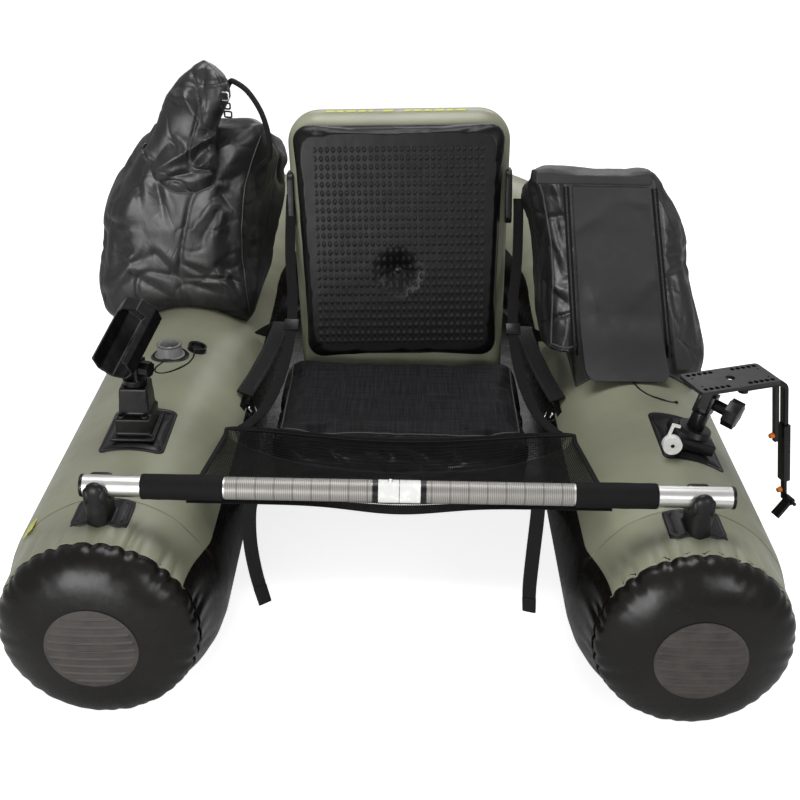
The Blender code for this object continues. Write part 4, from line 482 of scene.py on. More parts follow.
@dataclass(frozen=True)
class SeatCloth:
    """Seat cover: streaky woven top panel, and plain vinyl on the sides."""

    name: str = "seat_cover"
    panel_x: float = 0.197      # half width of the woven panel
    front: float = 0.4585       # its front edge, in the hull frame
    low: float = 0.2585         # height under which the cover is vinyl

    def material(self) -> Material:
        """Build both cloths, parted along the sewn edge of the top panel."""
        shade = Shade(self.name, (0.01, 0.01, 0.011), 0.7, specular=0.2)
        here = shade.where(Space.OBJECT, shift=tuple(-SHIFT))
        x, y, z = (shade.axis(here, index) for index in range(3))
        inside = shade.maths("LESS_THAN", shade.maths("ABSOLUTE", x), self.panel_x)
        inside = shade.maths("MULTIPLY", inside, shade.maths("GREATER_THAN", y, self.front))
        inside = shade.maths("MULTIPLY", inside, shade.maths("GREATER_THAN", z, self.low))
        warp = shade.noise(shade.where(Space.OBJECT, scale=(420.0, 14.0, 14.0)), 1.0, 3.0)
        weft = shade.noise(shade.where(Space.OBJECT, scale=(14.0, 420.0, 14.0)), 1.0, 3.0)
        streak = shade.span(shade.maths("ADD", warp, weft), 0.8, 1.3, 0.0, 1.0)
        cloth = shade.mixed(streak, (0.0035, 0.0035, 0.0045), (0.0200, 0.0200, 0.0225))
        vinyl = shade.mixed(shade.noise(here, 20.0), (0.006, 0.006, 0.0065), (0.012, 0.012, 0.0125))
        shade.give("Base Color", shade.mixed(inside, vinyl, cloth))
        shade.give("Roughness", shade.span(inside, 0.0, 1.0, 0.27, 0.72))
        soft = shade.bump(shade.noise(here, 17.0, 3.0), 0.0018)
        thread = shade.maths("MULTIPLY", shade.maths("ADD", warp, weft), inside)
        shade.give("Normal", shade.bump(thread, 0.0006, soft))
        return shade.material


@dataclass(frozen=True)
class Mesh:
    """Open mesh cloth of the apron, with real see-through holes between threads."""

    name: str = "mesh_cloth"
    pitch: float = 0.0030
    solid: float = 0.68

    def material(self) -> Material:
        """Build the mesh from two sets of threads on the UV map."""
        shade = Shade(self.name, (0.012, 0.012, 0.012), 0.7, specular=0.15)
        place = shade.where(Space.UV)
        across = shade.stripes(shade.axis(place, 0), self.pitch)
        along = shade.stripes(shade.axis(place, 1), self.pitch * 1.5)
        threads = shade.maths("MAXIMUM", across, along)
        shade.give("Alpha", shade.span(threads, self.solid, self.solid + 0.12, 0.0, 1.0))
        shade.give("Normal", shade.bump(threads, 0.0003))
        shade.give("Base Color", shade.mixed(shade.noise(shade.where(Space.OBJECT), 30.0),
                                             (0.006, 0.006, 0.006), (0.022, 0.021, 0.020)))
        return shade.material


@dataclass(frozen=True)
class RibbedRubber:
    """Brown-grey wear rubber of the noses."""

    name: str = "ribbed_rubber"

    def material(self) -> Material:
        """Build the dusty rubber; its ribs are in the mesh."""
        shade = Shade(self.name, (0.030, 0.026, 0.023), 0.6)
        place = shade.where(Space.OBJECT)
        dust = shade.noise(place, 40.0, 5.0, 0.65)
        shade.give("Base Color", shade.mixed(shade.span(dust, 0.35, 0.7, 0.0, 1.0),
                                             (0.022, 0.019, 0.017), (0.050, 0.043, 0.038)))
        shade.give("Roughness", shade.span(dust, 0.3, 0.7, 0.5, 0.72))
        shade.give("Normal", shade.bump(shade.noise(place, 500.0), 0.0001))
        return shade.material


class Palette:
    """Every finish of the float tube, each made once."""

    def __init__(self) -> None:
        """Build the materials under the names that the pieces ask for."""
        finishes = (
            CoatedFabric("olive", (0.262, 0.268, 0.190), 0.36),
            CoatedFabric("black", (0.0060, 0.0052, 0.0046), 0.25, pucker=0.0016, specular=0.24),
            CrumpledFabric("bag", (0.0120, 0.0120, 0.0127), 0.37, crease=0.0008),
            CoatedFabric("flap", (0.026, 0.026, 0.028), 0.46, pucker=0.0030, specular=0.30),
            # Grey of the piping, welts, stitches, zip teeth and valve lip. On the left bag's mouth the same
            # grey is a painted highlight.
            Moulded("piping", (0.060, 0.060, 0.062), 0.45),
            Woven("webbing", (0.0050, 0.0050, 0.0052), contrast=1.5, roughness=0.6),
            Woven("carry_pad", (0.0085, 0.0085, 0.0090), thread=0.0016, depth=0.0004, contrast=1.6,
                  roughness=0.55),
            Woven("cord", (0.010, 0.010, 0.010), thread=0.0012),
            Moulded("pad_rubber", (0.0060, 0.0060, 0.0060), 0.36, grain=0.00012, grain_scale=420.0),
            Moulded("plastic", (0.0050, 0.0050, 0.0052), 0.32),
            Moulded("plate", (0.0190, 0.0190, 0.0195), 0.40, specular=0.35),
            # Near-black and matt, almost without gloss: painted shade of the finder plate's countersunk
            # holes.
            Moulded("recess", (0.0008, 0.0008, 0.0008), 0.85, specular=0.02),
            Moulded("white", (0.72, 0.72, 0.70), 0.34, grain=0.00003),
            Moulded("grey", (0.19, 0.19, 0.185), 0.40),
            Moulded("orange", (0.78, 0.20, 0.012), 0.35, grain=0.00003),
            Moulded("yellow", (0.50, 0.50, 0.10), 0.45, grain=0.00003),
            Metal("aluminium", (0.74, 0.735, 0.72), 0.33),
            Metal("steel", (0.62, 0.62, 0.60), 0.22, brush=(40.0, 40.0, 40.0)),
            Foam("foam", (0.0050, 0.0050, 0.0050)),
            PrintedScale(), EmbossedVinyl(), SeatCloth(), Mesh(), RibbedRubber(),
        )
        self.made = {finish.name: finish.material() for finish in finishes}

    def __getitem__(self, name: str) -> Material:
        """The material of that name."""
        return self.made[name]


class Workshop:
    """Turns arrays of points into finished pieces that ride on the frame."""

    def __init__(self, palette: Palette) -> None:
        """Keep the finishes and count the pieces."""
        self.palette = palette
        self.count = 0

    def mesh(self, name: str, verts: np.ndarray, faces: Sequence, uvs: Optional[Sequence] = None) -> Object:
        """Make an object from row frame points and faces.

        Args:
            name: The piece's name.
            verts: Points in the row's frame.
            faces: Lists of vertex numbers, counter-clockwise from outside.
            uvs: One UV pair for each corner of each face, in order.

        Returns:
            The linked object.
        """
        data = bpy.data.meshes.new(name)
        data.from_pydata([tuple(vert) for vert in verts], [], [tuple(face) for face in faces])
        if uvs is not None:
            layer = data.uv_layers.new(name="metres")
            layer.data.foreach_set("uv", np.asarray(uvs, np.float32).ravel())
        return linked(name, data)

    def grid(self, name: str, points: np.ndarray, closed: bool = False, ring: bool = False,
             caps: bool = False, flip: bool = False) -> Object:
        """Skin a table of points with quads and a UV map in metres.

        Args:
            name: The piece's name.
            points: Rows by columns by three, in the hull frame.
            closed: Joins the last column to the first.
            ring: Joins the last row to the first.
            caps: Closes the first and last row of a closed table.
            flip: Turns the faces round.

        Returns:
            The new object.
        """
        rows, columns = points.shape[:2]
        wide = np.vstack((points.swapaxes(0, 1), points[:, :1].swapaxes(0, 1))).swapaxes(0, 1)
        tall = np.vstack((wide, wide[:1]))
        u = np.concatenate(((0.0,), np.cumsum(np.linalg.norm(np.diff(wide, axis=1), axis=2).mean(0))))
        v = np.concatenate(((0.0,), np.cumsum(np.linalg.norm(np.diff(tall, axis=0), axis=2).mean(1))))
        faces, uvs = [], []
        for i in range(rows if ring else rows - 1):
            for j in range(columns if closed else columns - 1):
                down, across = (i + 1) % rows, (j + 1) % columns
                face = [i * columns + j, i * columns + across, down * columns + across, down * columns + j]
                corner = [(u[j], v[i]), (u[j + 1], v[i]), (u[j + 1], v[i + 1]), (u[j], v[i + 1])]
                faces.append(face[::-1] if flip else face)
                uvs.extend(corner[::-1] if flip else corner)
        if caps:
            for first, order in ((0, -1), ((rows - 1) * columns, 1)):
                face = list(range(first, first + columns))[::order * (-1 if flip else 1)]
                faces.append(face)
                centre = points.reshape(-1, 3)[face].mean(0)
                uvs.extend([(float(p[0] - centre[0]), float(p[2] - centre[2]))
                            for p in points.reshape(-1, 3)[face]])
        return self.mesh(name, row(points.reshape(-1, 3)), faces, uvs)

    def sweep(self, name: str, path: np.ndarray, outline: np.ndarray, side: Optional[np.ndarray] = None,
              ring: bool = False) -> Object:
        """Carry a closed outline along a path.

        Args:
            name: The piece's name.
            path: Points of the path in the hull frame.
            outline: Pairs of sideways and upward distance, in order round it.
            side: The sideways direction, one for all points or one for each.
            ring: Whether the path closes on itself.

        Returns:
            The new object, closed at both ends.
        """
        count = len(path)
        ahead = np.roll(path, -1, 0) - np.roll(path, 1, 0)
        if not ring:
            ahead[0], ahead[-1] = path[1] - path[0], path[-1] - path[-2]
        ahead = ahead / np.linalg.norm(ahead, axis=1)[:, None]
        if side is None:
            start = np.cross(ahead[0], (0.0, 0.0, 1.0))
            if np.linalg.norm(start) < 0.1:
                start = np.array((1.0, 0.0, 0.0))
            sides = [start]
            for index in range(1, count):
                carried = sides[-1] - ahead[index] * np.dot(sides[-1], ahead[index])
                sides.append(carried / np.linalg.norm(carried))
            across = np.array(sides)
            across[0] = across[0] / np.linalg.norm(across[0])
        else:
            across = np.broadcast_to(np.asarray(side, float), (count, 3)).copy()
            across -= ahead * np.sum(across * ahead, axis=1)[:, None]
            across /= np.linalg.norm(across, axis=1)[:, None]
        above = np.cross(across, ahead)
        points = (path[:, None, :] + outline[None, :, :1] * across[:, None, :]
                  + outline[None, :, 1:] * above[:, None, :])
        return self.grid(name, points, closed=True, ring=ring, caps=not ring)

    def lathe(self, name: str, profile: Sequence[tuple[float, float]], place: Matrix,
              steps: int = 48) -> Object:
        """Turn a profile of radius and height round a local Z axis.

        Args:
            name: The piece's name.
            profile: Pairs of radius and height, from the foot up the outer side and back.
            place: Where the local axis stands in the hull frame.
            steps: Facets in a turn.

        Returns:
            The new object, closed where the profile meets the axis.
        """
        angles = np.linspace(0.0, 2 * math.pi, steps, endpoint=False)
        points = np.array([[(radius * math.cos(angle), radius * math.sin(angle), height)
                            for angle in angles] for radius, height in profile])
        turned = points @ np.array(place.to_3x3()).T + np.array(place.translation)
        made = self.grid(name, turned, closed=True)
        data = bmesh.new()
        data.from_mesh(made.data)
        bmesh.ops.remove_doubles(data, verts=data.verts, dist=0.00001)
        bmesh.ops.holes_fill(data, edges=data.edges, sides=steps)
        data.to_mesh(made.data)
        data.free()
        return self.outward_faces(made)

    def block(self, name: str, size: Point, place: Matrix, edge: float = 0.001, segments: int = 2) -> Object:
        """A box with rounded edges, centred on a place in the hull frame."""
        data = bmesh.new()
        bmesh.ops.create_cube(data, size=1.0)
        bmesh.ops.scale(data, vec=Vector(size), verts=data.verts)
        if edge:
            bmesh.ops.bevel(data, geom=data.edges[:], offset=edge, segments=segments, profile=0.5,
                            affect='EDGES', clamp_overlap=True)
        bmesh.ops.transform(data, matrix=Matrix.Translation(Vector(SHIFT)) @ place, verts=data.verts)
        made = bpy.data.meshes.new(name)
        data.to_mesh(made)
        data.free()
        return linked(name, made)

    def pillow(self, name: str, half: Point, radius: float, cuts: int, place: Matrix,
               corner: float = 0.0, shape: Optional[Callable[[np.ndarray], np.ndarray]] = None) -> Object:
        """A box with round edges, ready to be filled.

        Args:
            name: The piece's name.
            half: Half sizes along the local axes.
            radius: Of the edges.
            cuts: How finely the box is divided.
            place: Where the box stands in the hull frame.
            corner: Larger radius of the four corners in the local X and Z, if any.
            shape: Reshapes the box's own points.

        Returns:
            The new closed piece.
        """
        data = bmesh.new()
        bmesh.ops.create_cube(data, size=2.0)
        bmesh.ops.subdivide_edges(data, edges=data.edges[:], cuts=2 * cuts + 1, use_grid_fill=True)
        made = bpy.data.meshes.new(name)
        data.to_mesh(made)
        data.free()
        piece = linked(name, made)
        points = coordinates(piece)
        points = np.sin(points * math.pi / 2 * 0.93) / math.sin(math.pi / 2 * 0.93) * np.array(half)
        if corner:
            core = np.array((half[0] - corner, half[2] - corner))
            flat = points[:, (0, 2)]
            near = np.clip(flat, -core, core)
            off = flat - near
            length = np.linalg.norm(off, axis=1)
            most = np.max(np.abs(off), axis=1)
            flat = near + off * (most / np.maximum(length, 1e-9))[:, None]
            points[:, (0, 2)] = np.where(length[:, None] > 1e-9, flat, points[:, (0, 2)])
        core = np.array(half) - radius
        if corner:
            off = self.past_core(points, half, corner)
            length = np.linalg.norm(off, axis=1)
            edge = smoothstep(length / corner)
            out = off / np.maximum(length, 1e-9)[:, None]
            top = np.clip(np.abs(points[:, 1]) / half[1], 0.0, 1.0)
            inward = radius * (1 - np.sqrt(np.clip(1 - np.clip((top * half[1] - core[1]) / radius, 0, 1) ** 2,
                                                   0, 1)))
            points[:, (0, 2)] -= edge[:, None] * inward[:, None] * out
        else:
            near = np.clip(points, -core, core)
            off = points - near
            length = np.linalg.norm(off, axis=1)
            points = np.where(length[:, None] > 1e-9,
                              near + radius * off / np.maximum(length, 1e-9)[:, None], points)
        if shape is not None:
            points = shape(points)
        turn = np.array(place.to_3x3())
        reshape(piece, row(points @ turn.T + np.array(place.translation)))
        return piece

    def past_core(self, points: np.ndarray, half: Point, corner: float) -> np.ndarray:
        """How far points lie in X and Z past the core of a plate with round corners."""
        core = np.array((half[0] - corner, half[2] - corner))
        flat = points[:, (0, 2)]
        return flat - np.clip(flat, -core, core)

    def plate(self, name: str, outline: np.ndarray, thickness: float, place: Matrix, edge: float) -> Object:
        """A flat plate of an outline in its own XY, with rounded edges.

        Args:
            name: The piece's name.
            outline: Points round it, counter-clockwise.
            thickness: Of the plate, centred on its plane.
            place: Where it stands in the hull frame.
            edge: Radius of its edges.

        Returns:
            The new piece.
        """
        centre = outline.mean(0)
        rings = []
        for level, inset in ((-1.0, 1.0), (-1.0, 0.55), (-0.75, 0.12), (-0.4, 0.0), (0.4, 0.0), (0.75, 0.12),
                             (1.0, 0.55), (1.0, 1.0)):
            height = level * thickness / 2 if abs(level) == 1.0 else math.copysign(
                thickness / 2 - edge * (1 - abs(level)), level)
            off = outline - centre
            reach = np.linalg.norm(off, axis=1)
            flat = centre + off * (1 - inset * edge / reach)[:, None]
            rings.append(np.column_stack((flat, np.full(len(flat), height))))
        points = np.array(rings) @ np.array(place.to_3x3()).T + np.array(place.translation)
        return self.outward_faces(self.grid(name, points, closed=True, caps=True))

    def saddle(self, name: str, side: Side, middle: float, half: float, span: tuple[float, float],
               face: float, foot: float, corner: float = 0.012, edge: float = 0.0014,
               border: float = 0.0) -> Object:
        """A pad with round corners that follows a chamber's round top.

        Args:
            name: The piece's name.
            side: The chamber.
            middle: Angle of the pad's middle in degrees from the top, outward positive.
            half: Half its width along the arc.
            span: Where it starts and ends along Y.
            face: Radius of its outer face about the chamber's axis.
            foot: Radius of its underside.
            corner: Radius of its corners.
            edge: Radius of its edge.
            border: How far a moulded groove lies inside its edge, or 0.

        Returns:
            The new closed piece.
        """
        tall = (span[1] - span[0]) / 2
        arcs = corner_arcs((half - corner, tall - corner), corner, 6)
        outline = []
        for arc, following in zip(arcs, arcs[1:] + arcs[:1]):
            outline += arc
            start, end = arc[-1], following[0]
            outline += [(start[0] + share * (end[0] - start[0]), start[1] + share * (end[1] - start[1]))
                        for share in np.linspace(0.0, 1.0, 12)[1:-1]]
        flat = np.array(outline)
        reach = np.linalg.norm(flat, axis=1)
        steps = [(0.0, foot), (0.0, face - edge), (0.3 * edge, face - 0.3 * edge), (edge, face)]
        if border:
            steps += [(border, face), (border + 0.0008, face - 0.0007), (border + 0.0024, face - 0.0007),
                      (border + 0.0032, face)]
        rings = [(flat * (1 - inset / reach)[:, None], radius) for inset, radius in steps]
        inner = rings[-1][0]
        rings += [(inner * share, face) for share in (0.75, 0.5, 0.25, 0.02)]
        rings.insert(0, (inner * 0.02, foot))
        rings.insert(1, (inner * 0.5, foot))
        rows = []
        for spots, radius in rings:
            angle = math.radians(middle) + spots[:, 0] / TUBE_R
            x = side.value * (TUBE_X + radius * np.sin(angle))
            y = (span[0] + span[1]) / 2 + spots[:, 1]
            rows.append(np.stack((x, y, TUBE_Z + radius * np.cos(angle)), -1))
        return self.outward_faces(self.grid(name, np.array(rows), closed=True, caps=True))

    def outward_faces(self, piece: Object) -> Object:
        """Turn a closed piece's faces outward."""
        data = bmesh.new()
        data.from_mesh(piece.data)
        bmesh.ops.recalc_face_normals(data, faces=data.faces)
        data.to_mesh(piece.data)
        data.free()
        return piece

    def sack(self, name: str, levels: Sequence[tuple], dome: float, fall: float) -> Object:
        """A closed bag through level sections with round corners.

        Args:
            name: The piece's name.
            levels: Height, four X values (front -X, front +X, back -X, back +X), front Y and back Y.
            dome: How far the top rises over the last level.
            fall: How far the top sinks towards the back.

        Returns:
            The new closed piece.
        """
        table = np.array(levels)
        heights = np.linspace(table[0, 0], table[-1, 0], 60)
        front0, front1, back0, back1, y0, y1 = (np.interp(heights, table[:, 0], column)
                                                for column in table.T[1:])
        square = rounded_square(0.20)
        u, v = (square[:, 0] + 1) / 2, (square[:, 1] + 1) / 2
        sections = []
        for k, z in enumerate(heights):
            x = (front0[k] * (1 - u) + front1[k] * u) * (1 - v) + (back0[k] * (1 - u) + back1[k] * u) * v
            sections.append(np.stack((x, y0[k] + (y1[k] - y0[k]) * v, np.full_like(x, z)), -1))
        top, foot = sections[-1], sections[0]
        for share in (0.97, 0.88, 0.70, 0.45, 0.15):
            middle = top.mean(0)
            cap = middle + (top - middle) * share
            cap[:, 2] = heights[-1] + dome * (1 - share ** 2)
            sections.append(cap)
        for share in (0.97, 0.80, 0.50, 0.15):
            middle = foot.mean(0)
            cap = middle + (foot - middle) * share
            sections.insert(0, cap)
        form = np.array(sections)
        behind = np.clip((form[..., 1] - y0[-1]) / (y1[-1] - y0[-1]), 0.0, 1.0)
        form[..., 2] -= fall * behind * smoothstep((form[..., 2] - heights[-1] + 0.165) / 0.165)
        return self.outward_faces(self.grid(name, form, closed=True, caps=True))

    def drape(self, under: Object, spots: np.ndarray, direction: Point, start: float,
              lift: float) -> np.ndarray:
        """Lay a path on a piece.

        Args:
            under: The piece that carries the path.
            spots: Pairs of X and Y in the hull frame.
            direction: In which the path falls.
            start: Height from which it falls.
            lift: Height of the path over the piece.

        Returns:
            Points on the piece, in the hull frame.
        """
        tree = BVHTree.FromPolygons([vert.co for vert in under.data.vertices],
                                    [tuple(face.vertices) for face in under.data.polygons])
        found = []
        for x, y in spots:
            origin = Vector(row((x, y, start)))
            hit, normal, _, _ = tree.ray_cast(origin, Vector(direction))
            if hit is not None:
                found.append(np.array(hit + normal * lift) - SHIFT)
        return np.array(found)

    def drape_front(self, under: Object, spots: np.ndarray, start: float, lift: float) -> np.ndarray:
        """Lay a path on a piece's front.

        Args:
            under: The piece that carries the path.
            spots: Pairs of X and Z in the hull frame.
            start: Y from which the path is pressed back.
            lift: Height of the path over the piece.

        Returns:
            Points on the piece, in the hull frame.
        """
        tree = BVHTree.FromPolygons([vert.co for vert in under.data.vertices],
                                    [tuple(face.vertices) for face in under.data.polygons])
        found = []
        for x, z in spots:
            hit, normal, _, _ = tree.ray_cast(Vector(row((x, start, z))), Vector((0.0, 1.0, 0.0)))
            if hit is not None:
                found.append(np.array(hit + normal * lift) - SHIFT)
        return np.array(found)

    def apply(self, piece: Object) -> Object:
        """Turn a piece's modifiers into plain mesh."""
        bpy.context.view_layer.update()
        graph = bpy.context.evaluated_depsgraph_get()
        baked = bpy.data.meshes.new_from_object(piece.evaluated_get(graph))
        piece.modifiers.clear()
        old = piece.data
        piece.data = baked
        bpy.data.meshes.remove(old)
        return piece

    def thicken(self, piece: Object, skin: float, offset: float = -1.0) -> Object:
        """Give an open sheet its wall."""
        wall = piece.modifiers.new("wall", 'SOLIDIFY')
        wall.thickness = skin
        wall.offset = offset
        return self.apply(piece)

    def melted(self, node: str, finish: str, voxel: float, passes: int) -> Object:
        """Stand in for a moulded node with a copy whose edges all run softly into each other.

        Args:
            node: The CAD node.
            finish: The finish's name.
            voxel: Size of the new faces.
            passes: How often the form is smoothed.

        Returns:
            The new piece.
        """
        source = frame["nodes"][node]
        piece = linked(node + "_form", source.data.copy())
        whole = piece.modifiers.new("whole", 'REMESH')
        whole.mode = 'VOXEL'
        whole.voxel_size = voxel
        smooth = piece.modifiers.new("smooth", 'SMOOTH')
        smooth.factor = 0.5
        smooth.iterations = passes
        self.apply(piece)
        return self.finish(piece, finish, source["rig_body"], (node,), 180.0)

    def soften(self, piece: Object) -> Object:
        """Subdivide a piece smoothly, once."""
        round_off = piece.modifiers.new("round", 'SUBSURF')
        round_off.levels = 1
        round_off.render_levels = 1
        return self.apply(piece)

    def finish(self, piece: Object, finish: str, body: str = "hull", stands_for: Sequence[str] = (),
               sharp: float = 50.0, ride: bool = True) -> Object:
        """Give a piece its finish, its smoothness and its place on the frame.

        Args:
            piece: The piece in its final shape.
            finish: The finish's name in the palette.
            body: The body it rides on.
            stands_for: CAD nodes that it replaces.
            sharp: Angle in degrees from which an edge stays sharp.
            ride: False where the piece blends between bodies instead.

        Returns:
            The same piece.
        """
        piece.data.materials.clear()
        piece.data.materials.append(self.palette[finish])
        for polygon in piece.data.polygons:
            polygon.use_smooth = True
        piece.data.set_sharp_from_angle(angle=math.radians(sharp))
        if ride:
            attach(piece, body)
        if stands_for:
            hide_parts(*stands_for)
        self.count += 1
        log.info("%s: %d faces on %s", piece.name, len(piece.data.polygons), body)
        return piece

    def refined(self, node: str, finish: str, edge: float, sharp: float) -> Object:
        """Stand in for a rigid node with a merged copy whose edges are eased.

        Args:
            node: The CAD node.
            finish: The finish's name.
            edge: Width of the eased edges, or 0.
            sharp: Angle in degrees over which an edge is eased and kept sharp.

        Returns:
            The new piece.
        """
        source = frame["nodes"][node]
        data = bmesh.new()
        data.from_mesh(source.data)
        bmesh.ops.remove_doubles(data, verts=data.verts, dist=0.00002)
        bmesh.ops.dissolve_limit(data, angle_limit=math.radians(1.0), verts=data.verts, edges=data.edges)
        copy = bpy.data.meshes.new(node + "_form")
        data.to_mesh(copy)
        data.free()
        piece = linked(node + "_form", copy)
        if edge:
            ease = piece.modifiers.new("edge", 'BEVEL')
            ease.width = edge
            ease.segments = 2
            ease.limit_method = 'ANGLE'
            ease.angle_limit = math.radians(sharp)
            ease.use_clamp_overlap = True
            ease.harden_normals = False
            self.apply(piece)
        return self.finish(piece, finish, source["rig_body"], (node,), sharp)


def corner_arcs(core: tuple[float, float], corner: float, steps: int) -> list[list[tuple[float, float]]]:
    """The round corners of a rectangle, counter-clockwise from the one at +X and +Y.

    Args:
        core: Half sizes less the corners' radius.
        corner: Radius of the corners.
        steps: Steps in each quarter turn.

    Returns:
        Four runs of points.
    """
    arcs = []
    for sx, sy, turn in ((1, 1, 0.0), (-1, 1, 0.5), (-1, -1, 1.0), (1, -1, 1.5)):
        angles = [math.pi * (turn + step / (2 * steps)) for step in range(steps + 1)]
        arcs.append([(sx * core[0] + corner * math.cos(angle), sy * core[1] + corner * math.sin(angle))
                     for angle in angles])
    return arcs


def circle(radius: float, steps: int = 16) -> np.ndarray:
    """A round outline, in order for outward faces."""
    angles = np.linspace(0.0, 2 * math.pi, steps, endpoint=False)
    return radius * np.stack((np.cos(angles), np.sin(angles)), 1)


def strap_outline(width: float, thickness: float, belly: float = 0.0) -> np.ndarray:
    """A flat strap's outline with round edges, a little fuller in its middle.

    Args:
        width: Across the strap.
        thickness: Of its edge.
        belly: How much thicker the middle is on each face.

    Returns:
        Pairs of sideways and upward distance.
    """
    half, thin = width / 2, thickness / 2
    stations = np.linspace(-1.0, 1.0, 9)
    rise = thin * np.clip(np.sqrt(np.clip(1.02 - stations ** 8, 0.0, 1.0)), 0.25, 1.0)
    rise = rise + belly * (1 - stations ** 2)
    lower = np.stack((half * stations, -rise), 1)
    upper = np.stack((half * stations[::-1], rise[::-1]), 1)
    return np.vstack((lower, upper))


def inflate(piece: Object, voxel: float, pressure: float, cap: float, slack: float,
            held: Callable[[np.ndarray], np.ndarray], bending: float = 0.6) -> Object:
    """Fill a closed form with air under its cloth, and keep the result as plain mesh.

    Args:
        piece: The closed form, a little smaller than the filled one.
        voxel: Edge of the cloth's grid in metres.
        pressure: Air pressure of the simulation.
        cap: How far a point may move.
        slack: Share by which the cloth is larger than the form, for wrinkles.
        held: Gives each point's freedom to move, from 0 to 1, from its row frame place.
        bending: Stiffness of the cloth against folding.

    Returns:
        The same piece.
    """
    remesh = piece.modifiers.new("voxels", 'REMESH')
    remesh.mode = 'VOXEL'
    remesh.voxel_size = voxel
    bpy.context.view_layer.update()
    graph = bpy.context.evaluated_depsgraph_get()
    baked = bpy.data.meshes.new_from_object(piece.evaluated_get(graph))
    piece.modifiers.clear()
    piece.data = baked
    start = coordinates(piece)
    cloth = piece.modifiers.new("cloth", 'CLOTH')
    settings = cloth.settings
    settings.quality = 5
    settings.use_pressure = True
    settings.uniform_pressure_force = pressure
    settings.effector_weights.gravity = 0.0
    settings.shrink_min = -slack
    settings.bending_stiffness = bending
    settings.tension_stiffness = 20.0
    settings.compression_stiffness = 20.0
    cloth.collision_settings.use_collision = False
    cloth.point_cache.frame_start = 1
    cloth.point_cache.frame_end = CLOTH_FRAMES
    scene = bpy.context.scene
    for moment in range(1, CLOTH_FRAMES + 1):
        scene.frame_set(moment)
    graph = bpy.context.evaluated_depsgraph_get()
    result = bpy.data.meshes.new_from_object(piece.evaluated_get(graph))
    moved = np.empty(len(result.vertices) * 3)
    result.vertices.foreach_get("co", moved)
    moved = moved.reshape(-1, 3)
    bpy.data.meshes.remove(result)
    piece.modifiers.clear()
    scene.frame_set(1)
    step = moved - start
    length = np.linalg.norm(step, axis=1)
    step *= (np.minimum(length, cap) / np.maximum(length, 1e-9))[:, None]
    step *= held(start)[:, None]
    return reshape(piece, start + step)


def coordinates(piece: Object) -> np.ndarray:
    """A piece's points in the row's frame."""
    points = np.empty(len(piece.data.vertices) * 3)
    piece.data.vertices.foreach_get("co", points)
    return points.reshape(-1, 3)


def reshape(piece: Object, points: np.ndarray) -> Object:
    """Give a piece's points new places in the row's frame."""
    piece.data.vertices.foreach_set("co", np.ascontiguousarray(points, float).ravel())
    piece.data.update()
    return piece


def normals(piece: Object) -> np.ndarray:
    """The directions in which a piece's points face."""
    facing = np.empty(len(piece.data.vertices) * 3)
    piece.data.vertices.foreach_get("normal", facing)
    return facing.reshape(-1, 3)


def folds(points: np.ndarray, lines: Sequence[tuple]) -> np.ndarray:
    """Depth of sharp folds drawn as lines.

    Args:
        points: Points in the hull frame.
        lines: X and Z of each fold's start and end, its depth and its width. A negative depth is a ridge.

    Returns:
        How far each point lies under the plain form.
    """
    flat = points[:, (0, 2)]
    total = np.zeros(len(points))
    for a0, a1, b0, b1, depth, width in lines:
        start, run = np.array((a0, a1)), np.array((b0 - a0, b1 - a1))
        length = np.linalg.norm(run)
        off = flat - start
        along = off @ run / length
        past = np.maximum(np.maximum(-along, along - length), 0.0)
        share = np.clip(along / length, 0.0, 1.0)
        spread = width * (0.9 + 0.8 * share)
        across = (off[:, 1] * run[0] - off[:, 0] * run[1]) / length / spread
        fade = np.exp(-(past / (1.6 * width)) ** 2) * (1.0 - 0.80 * share ** 1.4)
        total += depth * fade * (np.exp(-np.abs(across)) - 0.55 * np.exp(-((across - 1.9) / 1.2) ** 2))
    return total


def crumple(points: np.ndarray, size: float, depth: float, seed: int) -> np.ndarray:
    """Depth of a net of soft creases, as crumpled coated cloth shows."""
    warp = np.stack([lattice_noise(points, 1.7 * size, seed + k) for k in range(3)], -1)
    warped = points + 0.3 * size * warp
    near = np.clip(1.0 - np.abs(lattice_noise(warped, size, seed + 7)) / 0.16, 0.0, 1.0)
    return depth * (near ** 2 - 0.25)


def above_tube(points: np.ndarray, lift: float) -> np.ndarray:
    """Raise hull frame points that would sink into a chamber.

    Args:
        points: Points in the hull frame, changed in place.
        lift: Gap to keep.

    Returns:
        The same array.
    """
    off = np.abs(points[:, 0]) - TUBE_X
    roof = TUBE_Z + np.sqrt(np.clip((TUBE_R + lift) ** 2 - off ** 2, 0.0, None))
    inside = (np.abs(off) < TUBE_R) & (points[:, 2] > TUBE_Z)
    points[:, 2] = np.where(inside, np.maximum(points[:, 2], roof), points[:, 2])
    return points


def rounded_square(corner: float, each: int = 22) -> np.ndarray:
    """Points round the square from -1 to 1 with round corners, counter-clockwise."""
    spots = []
    for turn in range(4):
        angle = turn * math.pi / 2
        spin = np.array(((math.cos(angle), -math.sin(angle)), (math.sin(angle), math.cos(angle))))
        side = [(1.0, y) for y in np.linspace(-1 + corner, 1 - corner, each)]
        side += [(1 - corner + corner * math.cos(t), 1 - corner + corner * math.sin(t))
                 for t in np.linspace(0.0, math.pi / 2, 7)[1:-1]]
        spots.extend(np.array(side) @ spin.T)
    return np.array(spots)


def flat_uv(piece: Object, project: Callable[[np.ndarray], np.ndarray]) -> Object:
    """Give a piece a UV map from its points' places.

    Args:
        piece: The piece in its final shape.
        project: Gives UV pairs in metres for an array of row frame points.

    Returns:
        The same piece.
    """
    layer = piece.data.uv_layers.get("metres") or piece.data.uv_layers.new(name="metres")
    corners = np.empty(len(piece.data.loops), int)
    piece.data.loops.foreach_get("vertex_index", corners)
    layer.data.foreach_set("uv", project(coordinates(piece))[corners].astype(np.float32).ravel())
    return piece


